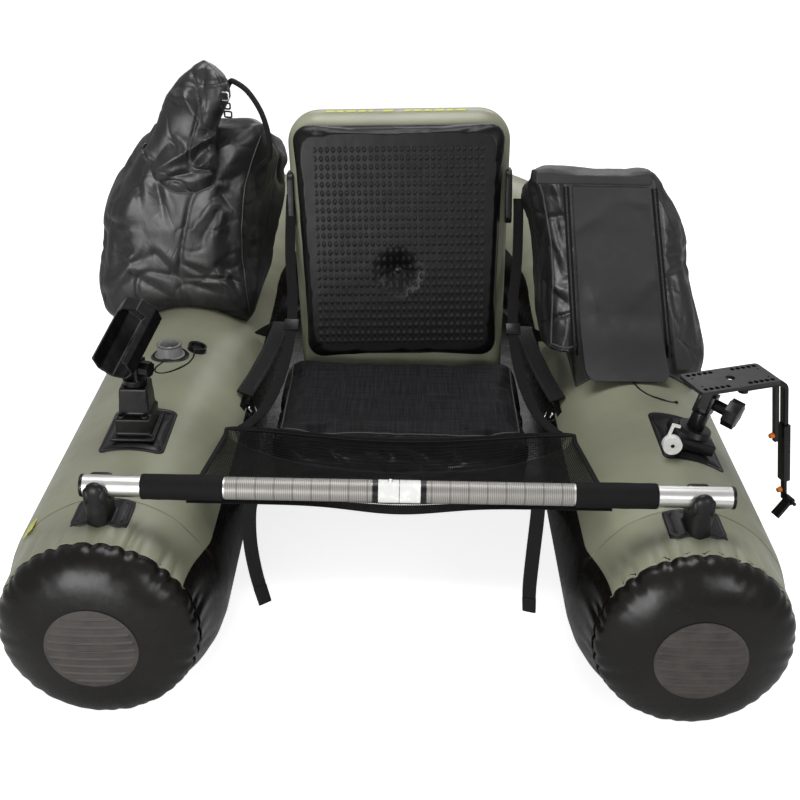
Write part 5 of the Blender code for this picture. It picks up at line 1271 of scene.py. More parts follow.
@dataclass
class Studio:
    """Camera at the photograph's angle, pale floor and soft lamps."""

    position: Point = (-0.0016, -1.2656, 1.2074)
    pitch: float = 27.04        # degrees down
    roll: float = 1.12          # degrees clockwise
    lens: float = 54.0          # for a 36 mm sensor

    def camera(self) -> Object:
        """Set up the camera."""
        data = bpy.data.cameras.new("camera")
        data.lens = self.lens
        data.sensor_width = 36.0
        data.clip_start = 0.05
        made = linked("camera", data)
        look = (Matrix.Translation(Vector(row(self.position)))
                @ Matrix.Rotation(math.radians(90.0 - self.pitch), 4, 'X')
                @ Matrix.Rotation(math.radians(self.roll), 4, 'Z'))
        made.matrix_world = look
        bpy.context.scene.camera = made
        return made

    def backdrop(self) -> Object:
        """Lay the floor, white to the camera and in reflections, with the object's shadow."""
        data = bpy.data.meshes.new("floor")
        reach = 14.0
        data.from_pydata([(-reach, -reach, -0.0006), (reach, -reach, -0.0006), (reach, reach, -0.0006),
                          (-reach, reach, -0.0006)], [], [(0, 1, 2, 3)])
        floor = linked("floor", data)
        material = bpy.data.materials.new("floor_paper")
        material.use_nodes = True
        tree = material.node_tree
        shader = tree.nodes["Principled BSDF"]
        shader.inputs["Base Color"].default_value = (0.80, 0.80, 0.80, 1.0)
        shader.inputs["Roughness"].default_value = 0.9
        glow = tree.nodes.new("ShaderNodeEmission")
        glow.inputs["Color"].default_value = (1.0, 1.0, 1.0, 1.0)
        glow.inputs["Strength"].default_value = 0.80
        both = tree.nodes.new("ShaderNodeAddShader")
        path = tree.nodes.new("ShaderNodeLightPath")
        seen = tree.nodes.new("ShaderNodeMath")
        seen.operation = 'MAXIMUM'
        tree.links.new(path.outputs["Is Camera Ray"], seen.inputs[0])
        tree.links.new(path.outputs["Is Transmission Ray"], seen.inputs[1])
        mix = tree.nodes.new("ShaderNodeMixShader")
        tree.links.new(seen.outputs[0], mix.inputs[0])
        tree.links.new(shader.outputs[0], both.inputs[0])
        tree.links.new(glow.outputs[0], both.inputs[1])
        tree.links.new(shader.outputs[0], mix.inputs[1])
        tree.links.new(both.outputs[0], mix.inputs[2])
        tree.links.new(mix.outputs[0], tree.nodes["Material Output"].inputs["Surface"])
        data.materials.append(material)
        return floor

    def world(self) -> None:
        """Light the air evenly, and show it white to the camera and in gloss."""
        world = bpy.data.worlds.new("air")
        bpy.context.scene.world = world
        world.use_nodes = True
        tree = world.node_tree
        background = tree.nodes["Background"]
        background.inputs["Color"].default_value = (1.0, 1.0, 1.0, 1.0)
        path = tree.nodes.new("ShaderNodeLightPath")
        seen = tree.nodes.new("ShaderNodeMath")
        seen.operation = 'MAXIMUM'
        tree.links.new(path.outputs["Is Camera Ray"], seen.inputs[0])
        tree.links.new(path.outputs["Is Transmission Ray"], seen.inputs[1])
        strength = tree.nodes.new("ShaderNodeMapRange")
        gloss = tree.nodes.new("ShaderNodeMath")
        gloss.operation = 'MULTIPLY_ADD'
        gloss.use_clamp = True
        gloss.inputs[1].default_value = 0.25
        tree.links.new(path.outputs["Is Glossy Ray"], gloss.inputs[0])
        tree.links.new(seen.outputs[0], gloss.inputs[2])
        strength.inputs["To Min"].default_value = 0.26
        strength.inputs["To Max"].default_value = 1.0
        tree.links.new(gloss.outputs[0], strength.inputs["Value"])
        tree.links.new(strength.outputs[0], background.inputs["Strength"])

    def lamp(self, name: str, place: Point, target: Point, size: tuple[float, float], power: float) -> Object:
        """Hang one soft rectangular lamp that looks at a point."""
        data = bpy.data.lights.new(name, 'AREA')
        data.shape = 'RECTANGLE'
        data.size, data.size_y = size
        data.energy = power
        made = linked(name, data)
        start, end = Vector(row(place)), Vector(row(target))
        made.matrix_world = (Matrix.Translation(start)
                             @ (end - start).to_track_quat('-Z', 'Y').to_matrix().to_4x4())
        return made

    def build(self) -> None:
        """Set up the whole studio."""
        bpy.context.scene.view_settings.view_transform = 'Standard'
        self.camera()
        self.backdrop()
        self.world()
        centre = (0.0, 0.6, 0.3)
        self.lamp("lamp_above", (-0.1, 0.7, 2.5), centre, (1.5, 1.1), 32.0)
        self.lamp("lamp_front_left", (-1.05, -2.2, 0.62), (-0.4, 0.8, 0.45), (1.4, 1.1), 44.0)
        self.lamp("lamp_front_right", (1.5, -1.9, 1.2), centre, (0.8, 0.9), 16.0)
        self.lamp("lamp_back", (0.3, 3.2, 2.0), centre, (1.8, 0.9), 16.0)


@dataclass
class Hull:
    """The two air chambers, joined at the stern, with their noses and seams."""

    shop: Workshop
    stern_rise: float = 0.105   # how far the stern lifts
    rise_start: float = 0.9996  # Y at which it starts to lift
    stern_straight: float = 0.020
    nose_depth: float = 0.052
    nose_radius: float = 0.136
    nose_rise: float = 0.0218   # keeps the narrowing chambers' tops level
    fullness: float = 2.4       # exponent of the nose's section
    taper: float = 0.130        # length of the narrowing end
    surface: float = 0.1573     # radius of the finished fabric
    inner_seam: float = -60.0   # degrees from the top, outward positive
    outer_seam: float = 97.5
    skin: float = 0.0011
    pleats: int = 36            # gathers round each nose
    pleat_fall: float = 0.0058  # depth of the deepest at the seam
    patch_radius: float = 0.063

    def __post_init__(self) -> None:
        """Draw the pleats' places, depths and reaches, the same on every run."""
        rng = np.random.default_rng(11)
        base = np.arange(self.pleats) * 2 * math.pi / self.pleats
        self.pleat_at = base + rng.uniform(-0.035, 0.035, self.pleats)
        self.pleat_depth = rng.uniform(0.35, 1.0, self.pleats)
        self.pleat_reach = rng.uniform(0.55, 1.35, self.pleats)
        self.pleat_lean = rng.uniform(-0.9, 0.9, self.pleats)

    def pleat(self, angle: np.ndarray, away: np.ndarray, reach: float) -> np.ndarray:
        """How deep the gathered fabric lies under the plain form.

        Args:
            angle: Angles from the top, in radians.
            away: Distances from the nose seam.
            reach: How far the pleats run.

        Returns:
            Depths as a share of the deepest pleat, negative on the swells between them.
        """
        total = np.zeros(np.broadcast(angle, away).shape)
        for at, depth, length, lean in zip(self.pleat_at, self.pleat_depth, self.pleat_reach,
                                           self.pleat_lean):
            width = 0.034 + 0.8 * away
            off = (angle - at - lean * away + math.pi) % (2 * math.pi) - math.pi
            total += depth * np.exp(-(off / width) ** 2) * np.exp(-(away / (reach * length)) ** 1.5)
        swell = 0.30 * np.exp(-((away - 0.4 * reach) / (0.6 * reach)) ** 2)
        return total - swell

    def route(self, side: Side) -> tuple[np.ndarray, np.ndarray, np.ndarray]:
        """Axis of one chamber from its nose seam to the middle of the stern.

        Args:
            side: Which chamber.

        Returns:
            Points, plain radii, and distances from the nose seam.
        """
        start = self.nose_depth
        near = start + np.concatenate((np.linspace(0.0, 0.09, 31), np.linspace(0.11, 0.90, 40)))
        places = [(TUBE_X, y) for y in near if y < BEND_Y - 0.03]
        places += [(TUBE_X, y) for y in np.linspace(places[-1][1] + 0.02, BEND_Y - 0.01, 6)]
        arc = TUBE_X - self.stern_straight
        for turn in np.linspace(0.0, math.pi / 2, 40):
            places.append((self.stern_straight + arc * math.cos(turn), BEND_Y + TUBE_X * math.sin(turn)))
        places.append((0.0, BEND_Y + TUBE_X))
        flat = np.array(places)
        away = np.concatenate(((0.0,), np.cumsum(np.linalg.norm(np.diff(flat, axis=0), axis=1))))
        first = self.rise_start - start
        lift = self.stern_rise * smoothstep((away - first) / (away[-2] - first))
        points = np.column_stack((side.value * flat[:, 0], flat[:, 1], TUBE_Z + lift))
        short = 1.0 - smoothstep((away - 0.003) / (self.taper - 0.003))
        points[:, 2] += self.nose_rise * short
        return points, self.surface - (self.surface - self.nose_radius) * short, away

    def shell(self, side: Side, start: float, end: float, columns: int, lift: float) -> np.ndarray:
        """Points of a chamber's surface between two angles.

        Args:
            side: Which chamber.
            start: First angle in degrees from the top, outward positive.
            end: Last angle.
            columns: How many columns.
            lift: Height over the fabric.

        Returns:
            Rows by columns by three, in the hull frame.
        """
        points, radii, away = self.route(side)
        ahead = np.gradient(points, axis=0)
        ahead[-1] = (-side.value, 0.0, 0.0)
        ahead /= np.linalg.norm(ahead, axis=1)[:, None]
        outward = side.value * np.cross(ahead, (0.0, 0.0, 1.0))
        outward /= np.linalg.norm(outward, axis=1)[:, None]
        above = side.value * np.cross(outward, ahead)
        angle = np.radians(np.linspace(start, end, columns))[None, :]
        distance = away[:, None]
        radius = radii[:, None] - self.pleat_fall * self.pleat(angle, distance, 0.052)
        bend = smoothstep((distance - 1.05) / 0.12) * np.clip(-np.sin(angle), 0.0, 1.0) ** 1.5
        ripple = np.sin(distance * 150.0 + 2.0 * np.sin(angle * 3.0)) ** 2
        radius = radius - 0.0022 * bend * ripple
        out = (np.sin(angle)[..., None] * outward[:, None, :]
               + np.cos(angle)[..., None] * above[:, None, :])
        soft = lattice_noise(points[:, None, :] + radius[..., None] * out, 0.16, 3) * 0.0007
        form = points[:, None, :] + (radius + soft + lift)[..., None] * out
        form[..., 2] = np.maximum(form[..., 2], 0.0002)
        return form

    def skin_piece(self, name: str, side: Side, start: float, end: float, columns: int, finish: str,
                   stands_for: Sequence[str], lift: float = 0.0) -> Object:
        """Skin a stretch of a chamber and give it its thickness."""
        form = self.shell(side, start, end, columns, lift)
        piece = self.shop.grid(name, form, flip=side is Side.RIGHT)
        self.shop.thicken(piece, self.skin)
        return self.shop.finish(piece, finish, "hull", stands_for, sharp=60.0)

    def nose_height(self, radius: np.ndarray) -> np.ndarray:
        """How far the nose stands ahead of its seam at a radius."""
        share = np.clip(radius / self.nose_radius, 0.0, 1.0)
        return self.nose_depth * (1 - share ** self.fullness) ** (1 / self.fullness)

    def nose_points(self, side: Side, radii: np.ndarray, columns: int, lift: Callable) -> np.ndarray:
        """Points over a nose in rings.

        Args:
            side: Which nose.
            radii: The rings' radii.
            columns: Points in a ring.
            lift: Height over the plain nose, from arrays of local X and Z.

        Returns:
            Rings by columns by three, in the hull frame.
        """
        angle = np.linspace(0.0, 2 * math.pi, columns, endpoint=False)[None, :]
        radius = radii[:, None]
        height = self.nose_height(radius)
        away = np.maximum(self.nose_radius - radius, 0.0) + height
        dip = 0.0052 * self.pleat(angle, away, 0.040)
        slope = np.clip(height / self.nose_depth, 0.0, 1.0)
        reach = radius - dip * (1 - 0.6 * slope)
        x, z = reach * np.sin(angle), reach * np.cos(angle)
        forward = height - dip * 0.7 * slope + lift(x, z)
        forward = forward - 0.0016 * np.exp(-(away / 0.004)) * np.sin(angle * self.pleats) ** 2
        centre = np.stack((side.value * (TUBE_X + x), self.nose_depth - forward,
                           TUBE_Z + self.nose_rise + z), -1)
        centre[..., 2] = np.maximum(centre[..., 2], 0.0002)
        return centre

    def nose(self, side: Side) -> None:
        """Build a gathered nose and its ribbed wear patch."""
        share = np.sin(np.linspace(0.0, math.pi / 2, 56))
        rings = np.concatenate((0.0007 + (self.nose_radius - 0.0007) * share, (self.nose_radius + 0.0012,)))

        def plain(x: np.ndarray, z: np.ndarray) -> np.ndarray:
            """Soft unevenness of the nose's fabric."""
            here = np.stack((x, np.full_like(x, 0.3 * side.value), z), -1)
            return 0.0010 * lattice_noise(here, 0.055, 5)
        form = self.nose_points(side, rings, 288, plain)
        form[-1, :, 1] += 0.006
        name = f"nose_panel_{side.word}"
        piece = self.shop.grid(name + "_skin", form, closed=True, flip=side is Side.RIGHT)
        self.close_pole(piece)
        self.shop.thicken(piece, self.skin)
        self.shop.finish(piece, "black", "hull", (name,), sharp=70.0)

        def ribs(x: np.ndarray, z: np.ndarray) -> np.ndarray:
            """Height of the wear patch with its level ribs."""
            wave = np.clip(np.cos(2 * math.pi * (z + 0.0016 * np.cos(22 * x)) / 0.0128), 0.55, 1.0) - 0.55
            edge = smoothstep((self.patch_radius - 0.002 - np.hypot(x, z)) / 0.004)
            return 0.0016 + 0.0034 * wave * edge + plain(x, z)
        rings = np.linspace(0.0006, self.patch_radius, 60)
        form = self.nose_points(side, rings, 240, ribs)
        patch = self.shop.grid(f"wear_patch_{side.word}_skin", form, closed=True, flip=side is Side.RIGHT)
        self.close_pole(patch)
        self.shop.thicken(patch, 0.0022)
        self.shop.finish(patch, "ribbed_rubber", "hull", (f"wear_patch_{side.word}",), sharp=60.0)

    def close_pole(self, piece: Object) -> None:
        """Close the small hole at the middle of a nose."""
        data = bmesh.new()
        data.from_mesh(piece.data)
        data.verts.ensure_lookup_table()
        pole = data.verts[0].co
        ring = [edge for edge in data.edges if edge.is_boundary and (edge.verts[0].co - pole).length < 0.004]
        bmesh.ops.contextual_create(data, geom=ring)
        data.to_mesh(piece.data)
        data.free()
        self.shop.outward_faces(piece)

    def build(self) -> None:
        """Build both chambers."""
        for side in Side:
            word = side.word
            self.skin_piece(f"hull_top_panel_{word}_skin", side, self.inner_seam - 1.5, self.outer_seam + 1.5,
                            200, "olive", (f"hull_top_panel_{word}",))
            self.skin_piece(f"hull_base_panel_{word}_skin", side, self.outer_seam - 0.4,
                            self.inner_seam + 360.4, 230, "black", (f"hull_base_panel_{word}",), lift=0.0007)
            self.nose(side)
        self.stern_seam()

    def stern_seam(self) -> None:
        """Weld the two halves with a tape round the middle of the stern."""
        angle = np.linspace(0.0, 2 * math.pi, 120, endpoint=False)
        rows = []
        for x, lift in ((-0.013, 0.0004), (-0.012, 0.0016), (0.012, 0.0016), (0.013, 0.0004)):
            radius = self.surface + lift + 0.0004
            rows.append(np.stack((np.full_like(angle, x), BEND_Y + TUBE_X + radius * np.sin(angle),
                                  TUBE_Z + self.stern_rise + radius * np.cos(angle)), -1))
        tape = self.shop.grid("stern_tape", np.array(rows), closed=True)
        self.shop.thicken(tape, 0.0010)
        self.shop.finish(tape, "black", "hull", sharp=40.0)


@dataclass
class Seat:
    """The padded seat between the chambers."""

    shop: Workshop
    half: Point = (0.2150, 0.1560, 0.0590)
    centre: Point = (0.0, 0.5880, 0.2168)
    rim: float = 0.0275         # radius of the cushion's edges
    panel_x: float = 0.197      # half width of the woven top panel
    panel_front: float = 0.4585
    panel_back: float = 0.7350

    def build(self) -> None:
        """Fill the cushion, sink its middle and sew the top panel's edge."""
        room = 0.004            # left for the air to fill
        half = tuple(part - room for part in self.half)
        piece = self.shop.pillow("seat_cushion_cover", half, self.rim, 14,
                                 Matrix.Translation(Vector(self.centre)))

        def free(points: np.ndarray) -> np.ndarray:
            """Hold the underside flat, where it rests."""
            return smoothstep((points[:, 2] - 0.163) / 0.03)
        inflate(piece, 0.0055, 4.0, 0.010, 0.012, free)
        points = coordinates(piece) - SHIFT
        x, y, z = points.T
        upper = smoothstep((z - 0.225) / 0.035)
        corner = np.exp(-((x + 0.165) / 0.05) ** 2 - ((y - 0.450) / 0.03) ** 2)
        corner += 0.7 * np.exp(-((x - 0.170) / 0.045) ** 2 - ((y - 0.450) / 0.03) ** 2)
        z -= upper * (0.004 * corner + 0.0015 * lattice_noise(points, 0.07, 8))
        front = smoothstep((0.462 - y) / 0.03) * upper
        y += front * 0.0022 * np.sin(x * 95.0 + 2.0 * np.sin(z * 60.0)) * np.exp(-((x + 0.15) / 0.07) ** 2)
        top = 0.2762 - 0.0035 * smoothstep((np.abs(x) - 0.15) / 0.06)
        z = np.where(z > top, top + 0.25 * (z - top), z)
        points = np.stack((np.clip(x, -0.2147, 0.2147), np.clip(y, 0.4310, 0.7445), z), -1)
        reshape(piece, row(points))
        self.shop.soften(piece)
        self.shop.finish(piece, "seat_cover", "hull", ("seat_cushion",), sharp=80.0)
        self.sew(piece)

    def sew(self, cushion: Object) -> None:
        """Lay a sewn welt round the woven panel."""
        corner = 0.018
        middle, deep = (self.panel_back + self.panel_front) / 2, (self.panel_back - self.panel_front) / 2
        path = [(x, middle + y) for arc in corner_arcs((self.panel_x - corner, deep - corner), corner, 4)
                for x, y in arc]
        loop = []
        for first, second in zip(path, path[1:] + path[:1]):
            steps = max(1, int(math.dist(first, second) / 0.006))
            for step in range(steps):
                share = step / steps
                loop.append((first[0] + share * (second[0] - first[0]),
                             first[1] + share * (second[1] - first[1])))
        welt = self.shop.drape(cushion, np.array(loop), (0.0, 0.0, -1.0), 0.32, 0.0004)
        piece = self.shop.sweep("seat_welt", welt, circle(0.0016, 8), ring=True)
        self.shop.finish(piece, "piping", "hull", sharp=80.0)


@dataclass
class Backrest:
    """The reclined back: an inflated shell, a tufted pad and side tabs."""

    shop: Workshop
    pivot: Point = (0.0, 0.7350, 0.27845)
    recline: float = 8.0        # degrees
    lean: float = -1.9          # degrees to the side
    pad_half: Point = (0.188, 0.0150, 0.2110)
    pad_low: float = -0.004
    pad_rear: float = 0.0220
    taper: float = 0.016
    shell_half_x: float = 0.199
    shell_back: float = 0.1063
    shell_top: float = 0.436
    shell_foot: float = 0.105
    tuft: tuple[float, float] = (-0.004, 0.158)
    marks: tuple = ((-0.128, -0.113), (-0.108, -0.097), (-0.092, -0.076), (-0.071, -0.058),
                    (-0.053, -0.045), (-0.028, -0.010), (0.010, 0.021), (0.026, 0.040), (0.045, 0.058),
                    (0.063, 0.079), (0.084, 0.095), (0.100, 0.117))      # the dashes' ends along X

    def __post_init__(self) -> None:
        """Work out the leaning frame."""
        sideways = Matrix.Rotation(math.radians(self.lean), 4, 'Y')
        backwards = Matrix.Rotation(math.radians(-self.recline), 4, 'X')
        self.place = Matrix.Translation(Vector(self.pivot)) @ sideways @ backwards
        forth = Matrix.Translation(Vector(SHIFT)) @ self.place
        self.back, self.forth = np.array(forth.inverted()), np.array(forth)

    def local(self, points: np.ndarray) -> np.ndarray:
        """Row frame points in the backrest's own frame."""
        return points @ self.back[:3, :3].T + self.back[:3, 3]

    def world(self, points: np.ndarray) -> np.ndarray:
        """Points of the backrest's own frame in the row's frame."""
        return points @ self.forth[:3, :3].T + self.forth[:3, 3]

    def drawn_in(self, height: float) -> Callable[[np.ndarray], np.ndarray]:
        """A taper that narrows a form towards its foot.

        Args:
            height: The form's half height.

        Returns:
            A function that reshapes the form's own points.
        """
        def shape(points: np.ndarray) -> np.ndarray:
            """Narrow each level by its distance from the top."""
            level = (1 - points[:, 2] / height) / 2
            points[:, 0] *= 1 - self.taper * level / self.shell_half_x
            return points
        return shape

    def build(self) -> None:
        """Build the pad, the shell and what is sewn to them."""
        self.pad()
        self.shell()
        self.tabs()

    def pad(self) -> None:
        """Fill the pad, pull in its tuft and set the button."""
        half = (self.pad_half[0] - 0.001, self.pad_half[1] - 0.0035, self.pad_half[2] - 0.001)
        centre = Matrix.Translation((0.0, self.pad_rear - 0.0150, self.pad_low + self.pad_half[2]))
        piece = self.shop.pillow("backrest_pad_cover", half, 0.0108, 20, self.place @ centre, 0.030,
                                 self.drawn_in(half[2]))

        def free(points: np.ndarray) -> np.ndarray:
            """Hold the back of the pad, which lies on the shell."""
            return smoothstep((self.pad_rear - 0.006 - self.local(points)[:, 1]) / 0.010)
        inflate(piece, 0.0046, 3.0, 0.0065, 0.006, free)
        self.shop.soften(piece)
        points = self.local(coordinates(piece))
        x, y, z = points.T
        dx, dz = x - self.tuft[0], z - self.tuft[1]
        away = np.hypot(dx, dz)
        angle = np.arctan2(dz, dx)
        front = smoothstep((self.pad_rear - 0.010 - y) / 0.008)
        pull = 0.0155 * np.exp(-(away / 0.024) ** 2) + 0.0045 * np.exp(-(away / 0.055) ** 2)
        fold = 0.0006 * np.cos(9 * angle + 0.8 * np.sin(2 * angle)) * np.exp(-((away - 0.024) / 0.014) ** 2)
        y = np.minimum(y + front * (pull + fold), np.maximum(y, self.pad_rear - 0.004))
        y = np.maximum(y, -0.0085)
        points = np.stack((x, y, z), -1)
        reshape(piece, self.world(points))
        flat_uv(piece, lambda spots: self.local(spots)[:, (0, 2)])
        self.shop.finish(piece, "embossed_vinyl", "backrest", ("backrest_pad",), sharp=85.0)
        spot = Matrix.Translation((self.tuft[0], 0.0108, self.tuft[1]))
        profile = ((0.0, -0.004), (0.0085, -0.004), (0.0085, 0.0005), (0.0078, 0.0022), (0.0050, 0.0036),
                   (0.0, 0.0042))
        button = self.shop.lathe("backrest_button", profile,
                                 self.place @ spot @ Matrix.Rotation(math.pi / 2, 4, 'X'), 32)
        self.shop.finish(button, "plastic", "backrest", sharp=50.0)

    def shell(self) -> None:
        """Shape the inflated shell with its welded edge."""
        height = (self.shell_top + self.shell_foot) / 2
        half = (self.shell_half_x, (self.shell_back - self.pad_rear - 0.0004) / 2, height)
        centre = Matrix.Translation((0.0, self.pad_rear + 0.0004 + half[1], self.shell_top - height))
        narrow = self.drawn_in(height)

        def shape(points: np.ndarray) -> np.ndarray:
            """Let the sides belly out between soft puckers along the weld."""
            points = narrow(points)
            out = np.maximum(np.abs(points[:, 0]) / half[0], np.abs(points[:, 2]) / half[2])
            edge = smoothstep((out - 0.86) / 0.14)
            run = np.arctan2(points[:, 2] / height, points[:, 0] / half[0])
            ripple = np.sin(run * 34.0 + 2.0 * np.sin(run * 5.0))
            points[:, 1] += edge * 0.0016 * ripple * np.clip(points[:, 1] / half[1], 0.0, 1.0)
            uneven = 0.0010 * lattice_noise(points + 3.0, 0.09, 4)
            points[:, 1] += uneven * np.clip(points[:, 1] / half[1], 0.0, 1.0)
            return points
        piece = self.shop.pillow("backrest_shell_skin", half, 0.034, 40, self.place @ centre, 0.058, shape)
        points = self.local(coordinates(piece))
        points[:, 1] = np.maximum(points[:, 1], self.pad_rear + 0.0004)
        points[:, 1] = np.minimum(points[:, 1], self.shell_back)
        reshape(piece, self.world(points))
        self.shop.soften(piece)
        self.shop.finish(piece, "olive", "backrest", ("backrest_shell",), sharp=85.0)
        self.dashes()

    def dashes(self) -> None:
        """Print plain yellow dashes on the shell's crest."""
        rim = 0.0340            # radius of the crest
        for index, (start, end) in enumerate(self.marks):
            x = np.linspace(start, end, 8)
            rows = []
            for depth in np.linspace(0.0, 1.0, 4):
                turn = math.radians(66.0 + 12.0 * depth)
                y = self.pad_rear + 0.0344 - rim * math.cos(turn)
                z = self.shell_top - rim + rim * math.sin(turn) + 0.0004
                rows.append(np.stack((x + 0.002 * depth, np.full(8, y), np.full(8, z)), -1))
            spots = self.world(np.array(rows)) - SHIFT
            dash = self.shop.grid(f"backrest_dash_{index}", spots)
            self.shop.thicken(dash, 0.0005, 1.0)
            self.shop.finish(dash, "yellow", "backrest", sharp=40.0)

    def tabs(self) -> None:
        """Weld the black rubber tabs that hold the side straps."""
        for side in Side:
            reach = side.value * (self.shell_half_x - 0.0045)
            spot = self.place @ Matrix.Translation((reach, 0.052, 0.283))
            outline = np.vstack(corner_arcs((0.034, 0.012), 0.014, 6))
            tab = self.shop.plate(f"backrest_tab_{side.word}", outline, 0.0110,
                                  spot @ Matrix.Rotation(math.pi / 2, 4, 'Y'), 0.0022)
            self.shop.finish(tab, "pad_rubber", "backrest", sharp=40.0)


@dataclass
class Bar:
    """The measuring bar with its film, grips, caps and fork posts."""

    shop: Workshop
    radius: float = 0.015
    ends: tuple[float, float] = (-0.4250, 0.4470)
    scale: tuple[float, float] = (0.0365, 0.2345)
    grip: tuple[float, float] = (0.2365, 0.3475)

    def along(self, x: float, side: Side) -> Matrix:
        """Place whose local Z runs outward along the bar from an X."""
        spot = Matrix.Translation((side.value * x, BAR_Y, BAR_Z))
        return spot @ Matrix.Rotation(side.value * math.pi / 2, 4, 'Y')

    def tube(self, name: str, side: Side, start: float, end: float, radius: float, inner: float) -> Object:
        """A round sleeve about the bar's axis."""
        rim = 0.0003            # bevel of the sleeve's ends
        length = end - start
        profile = ((inner, 0.0), (radius - rim, 0.0), (radius, rim), (radius, length - rim),
                   (radius - rim, length), (inner, length), (inner, 0.0))
        return self.shop.lathe(name, profile, self.along(start, side), 64)

    def build(self) -> None:
        """Build both halves and what sits on them."""
        for side in Side:
            word = side.word
            end = abs(self.ends[0]) if side is Side.LEFT else self.ends[1]
            tube = self.tube(f"bar_tube_{word}_skin", side, 0.0002, end, self.radius, 0.0136)
            self.shop.finish(tube, "aluminium", "bar", (f"bar_tube_{word}",), sharp=40.0)
            film = self.tube(f"bar_scale_{word}", side, self.scale[0], self.scale[1], 0.01535, 0.01503)
            self.shop.finish(film, "printed_scale", "bar", sharp=40.0)
            band = self.tube(f"bar_band_{word}", side, 0.0285, self.scale[0] - 0.0002, 0.01575, 0.01503)
            self.shop.finish(band, "plastic", "bar", sharp=40.0)
            white = self.tube(f"bar_middle_{word}", side, 0.0004, 0.0283, 0.01555, 0.01503)
            self.shop.finish(white, "white", "bar", sharp=40.0)
            self.grip_piece(side)
            self.shop.refined(f"bar_cap_{word}", "plastic", 0.0005, 30.0)
            self.mount(side)
        self.shop.refined("snap_button", "aluminium", 0.0003, 40.0)

    def mount(self, side: Side) -> None:
        """Soften a fork post and add its pad and its round lobe."""
        word = side.word
        self.shop.melted(f"bar_post_{word}", "pad_rubber", 0.0016, 14)
        half = TUBE_R * math.radians(14.3)
        pad = self.shop.saddle(f"bar_pad_{word}", side, 0.0, half, (0.094, 0.162), 0.1606, 0.1571,
                               border=0.005)
        self.shop.finish(pad, "pad_rubber", "hull", sharp=50.0)
        radius, shoulder = 0.0145, 0.017
        turn = np.linspace(0.0, math.pi / 2, 10)[:-1]
        cap = [(radius * math.cos(part), shoulder + radius * math.sin(part)) for part in turn]
        profile = [(0.0, -0.040), (radius, -0.040), *cap, (0.0, shoulder + radius)]
        place = (Matrix.Translation((side.value * TUBE_X, BAR_Y - 0.0190, BAR_Z - 0.016))
                 @ Matrix.Diagonal((1.0, 0.62, 1.0, 1.0)))
        lobe = self.shop.lathe(f"bar_lobe_{word}", profile, place, 40)
        self.shop.finish(lobe, "pad_rubber", "hull", sharp=60.0)

    def grip_piece(self, side: Side) -> None:
        """Foam grip with soft ends and a slightly uneven skin."""
        length = self.grip[1] - self.grip[0]
        heights = np.concatenate(((0.0, 0.0004, 0.0012, 0.0028), np.linspace(0.006, length - 0.006, 26),
                                  (length - 0.0028, length - 0.0012, length - 0.0004, length)))
        radii = np.full(len(heights), 0.0176)
        for index, drop in enumerate((0.0016, 0.0008, 0.0003, 0.0)):
            radii[index] -= drop
            radii[-1 - index] -= drop
        profile = [(0.0152, 0.0), *zip(radii, heights), (0.0152, length), (0.0152, 0.0)]
        grip = self.shop.lathe(f"bar_grip_{side.word}_foam", profile, self.along(self.grip[0], side), 48)
        points = coordinates(grip)
        axis = row((0.0, BAR_Y, BAR_Z))
        off = points[:, 1:] - axis[1:]
        radius = np.linalg.norm(off, axis=1)
        uneven = np.where(radius > 0.0156, 0.0003 * lattice_noise(points, 0.014, 9), 0.0)
        points[:, 1:] = axis[1:] + off * ((radius + uneven) / radius)[:, None]
        reshape(grip, points)
        self.shop.finish(grip, "foam", "bar", (f"bar_grip_{side.word}",), sharp=60.0)


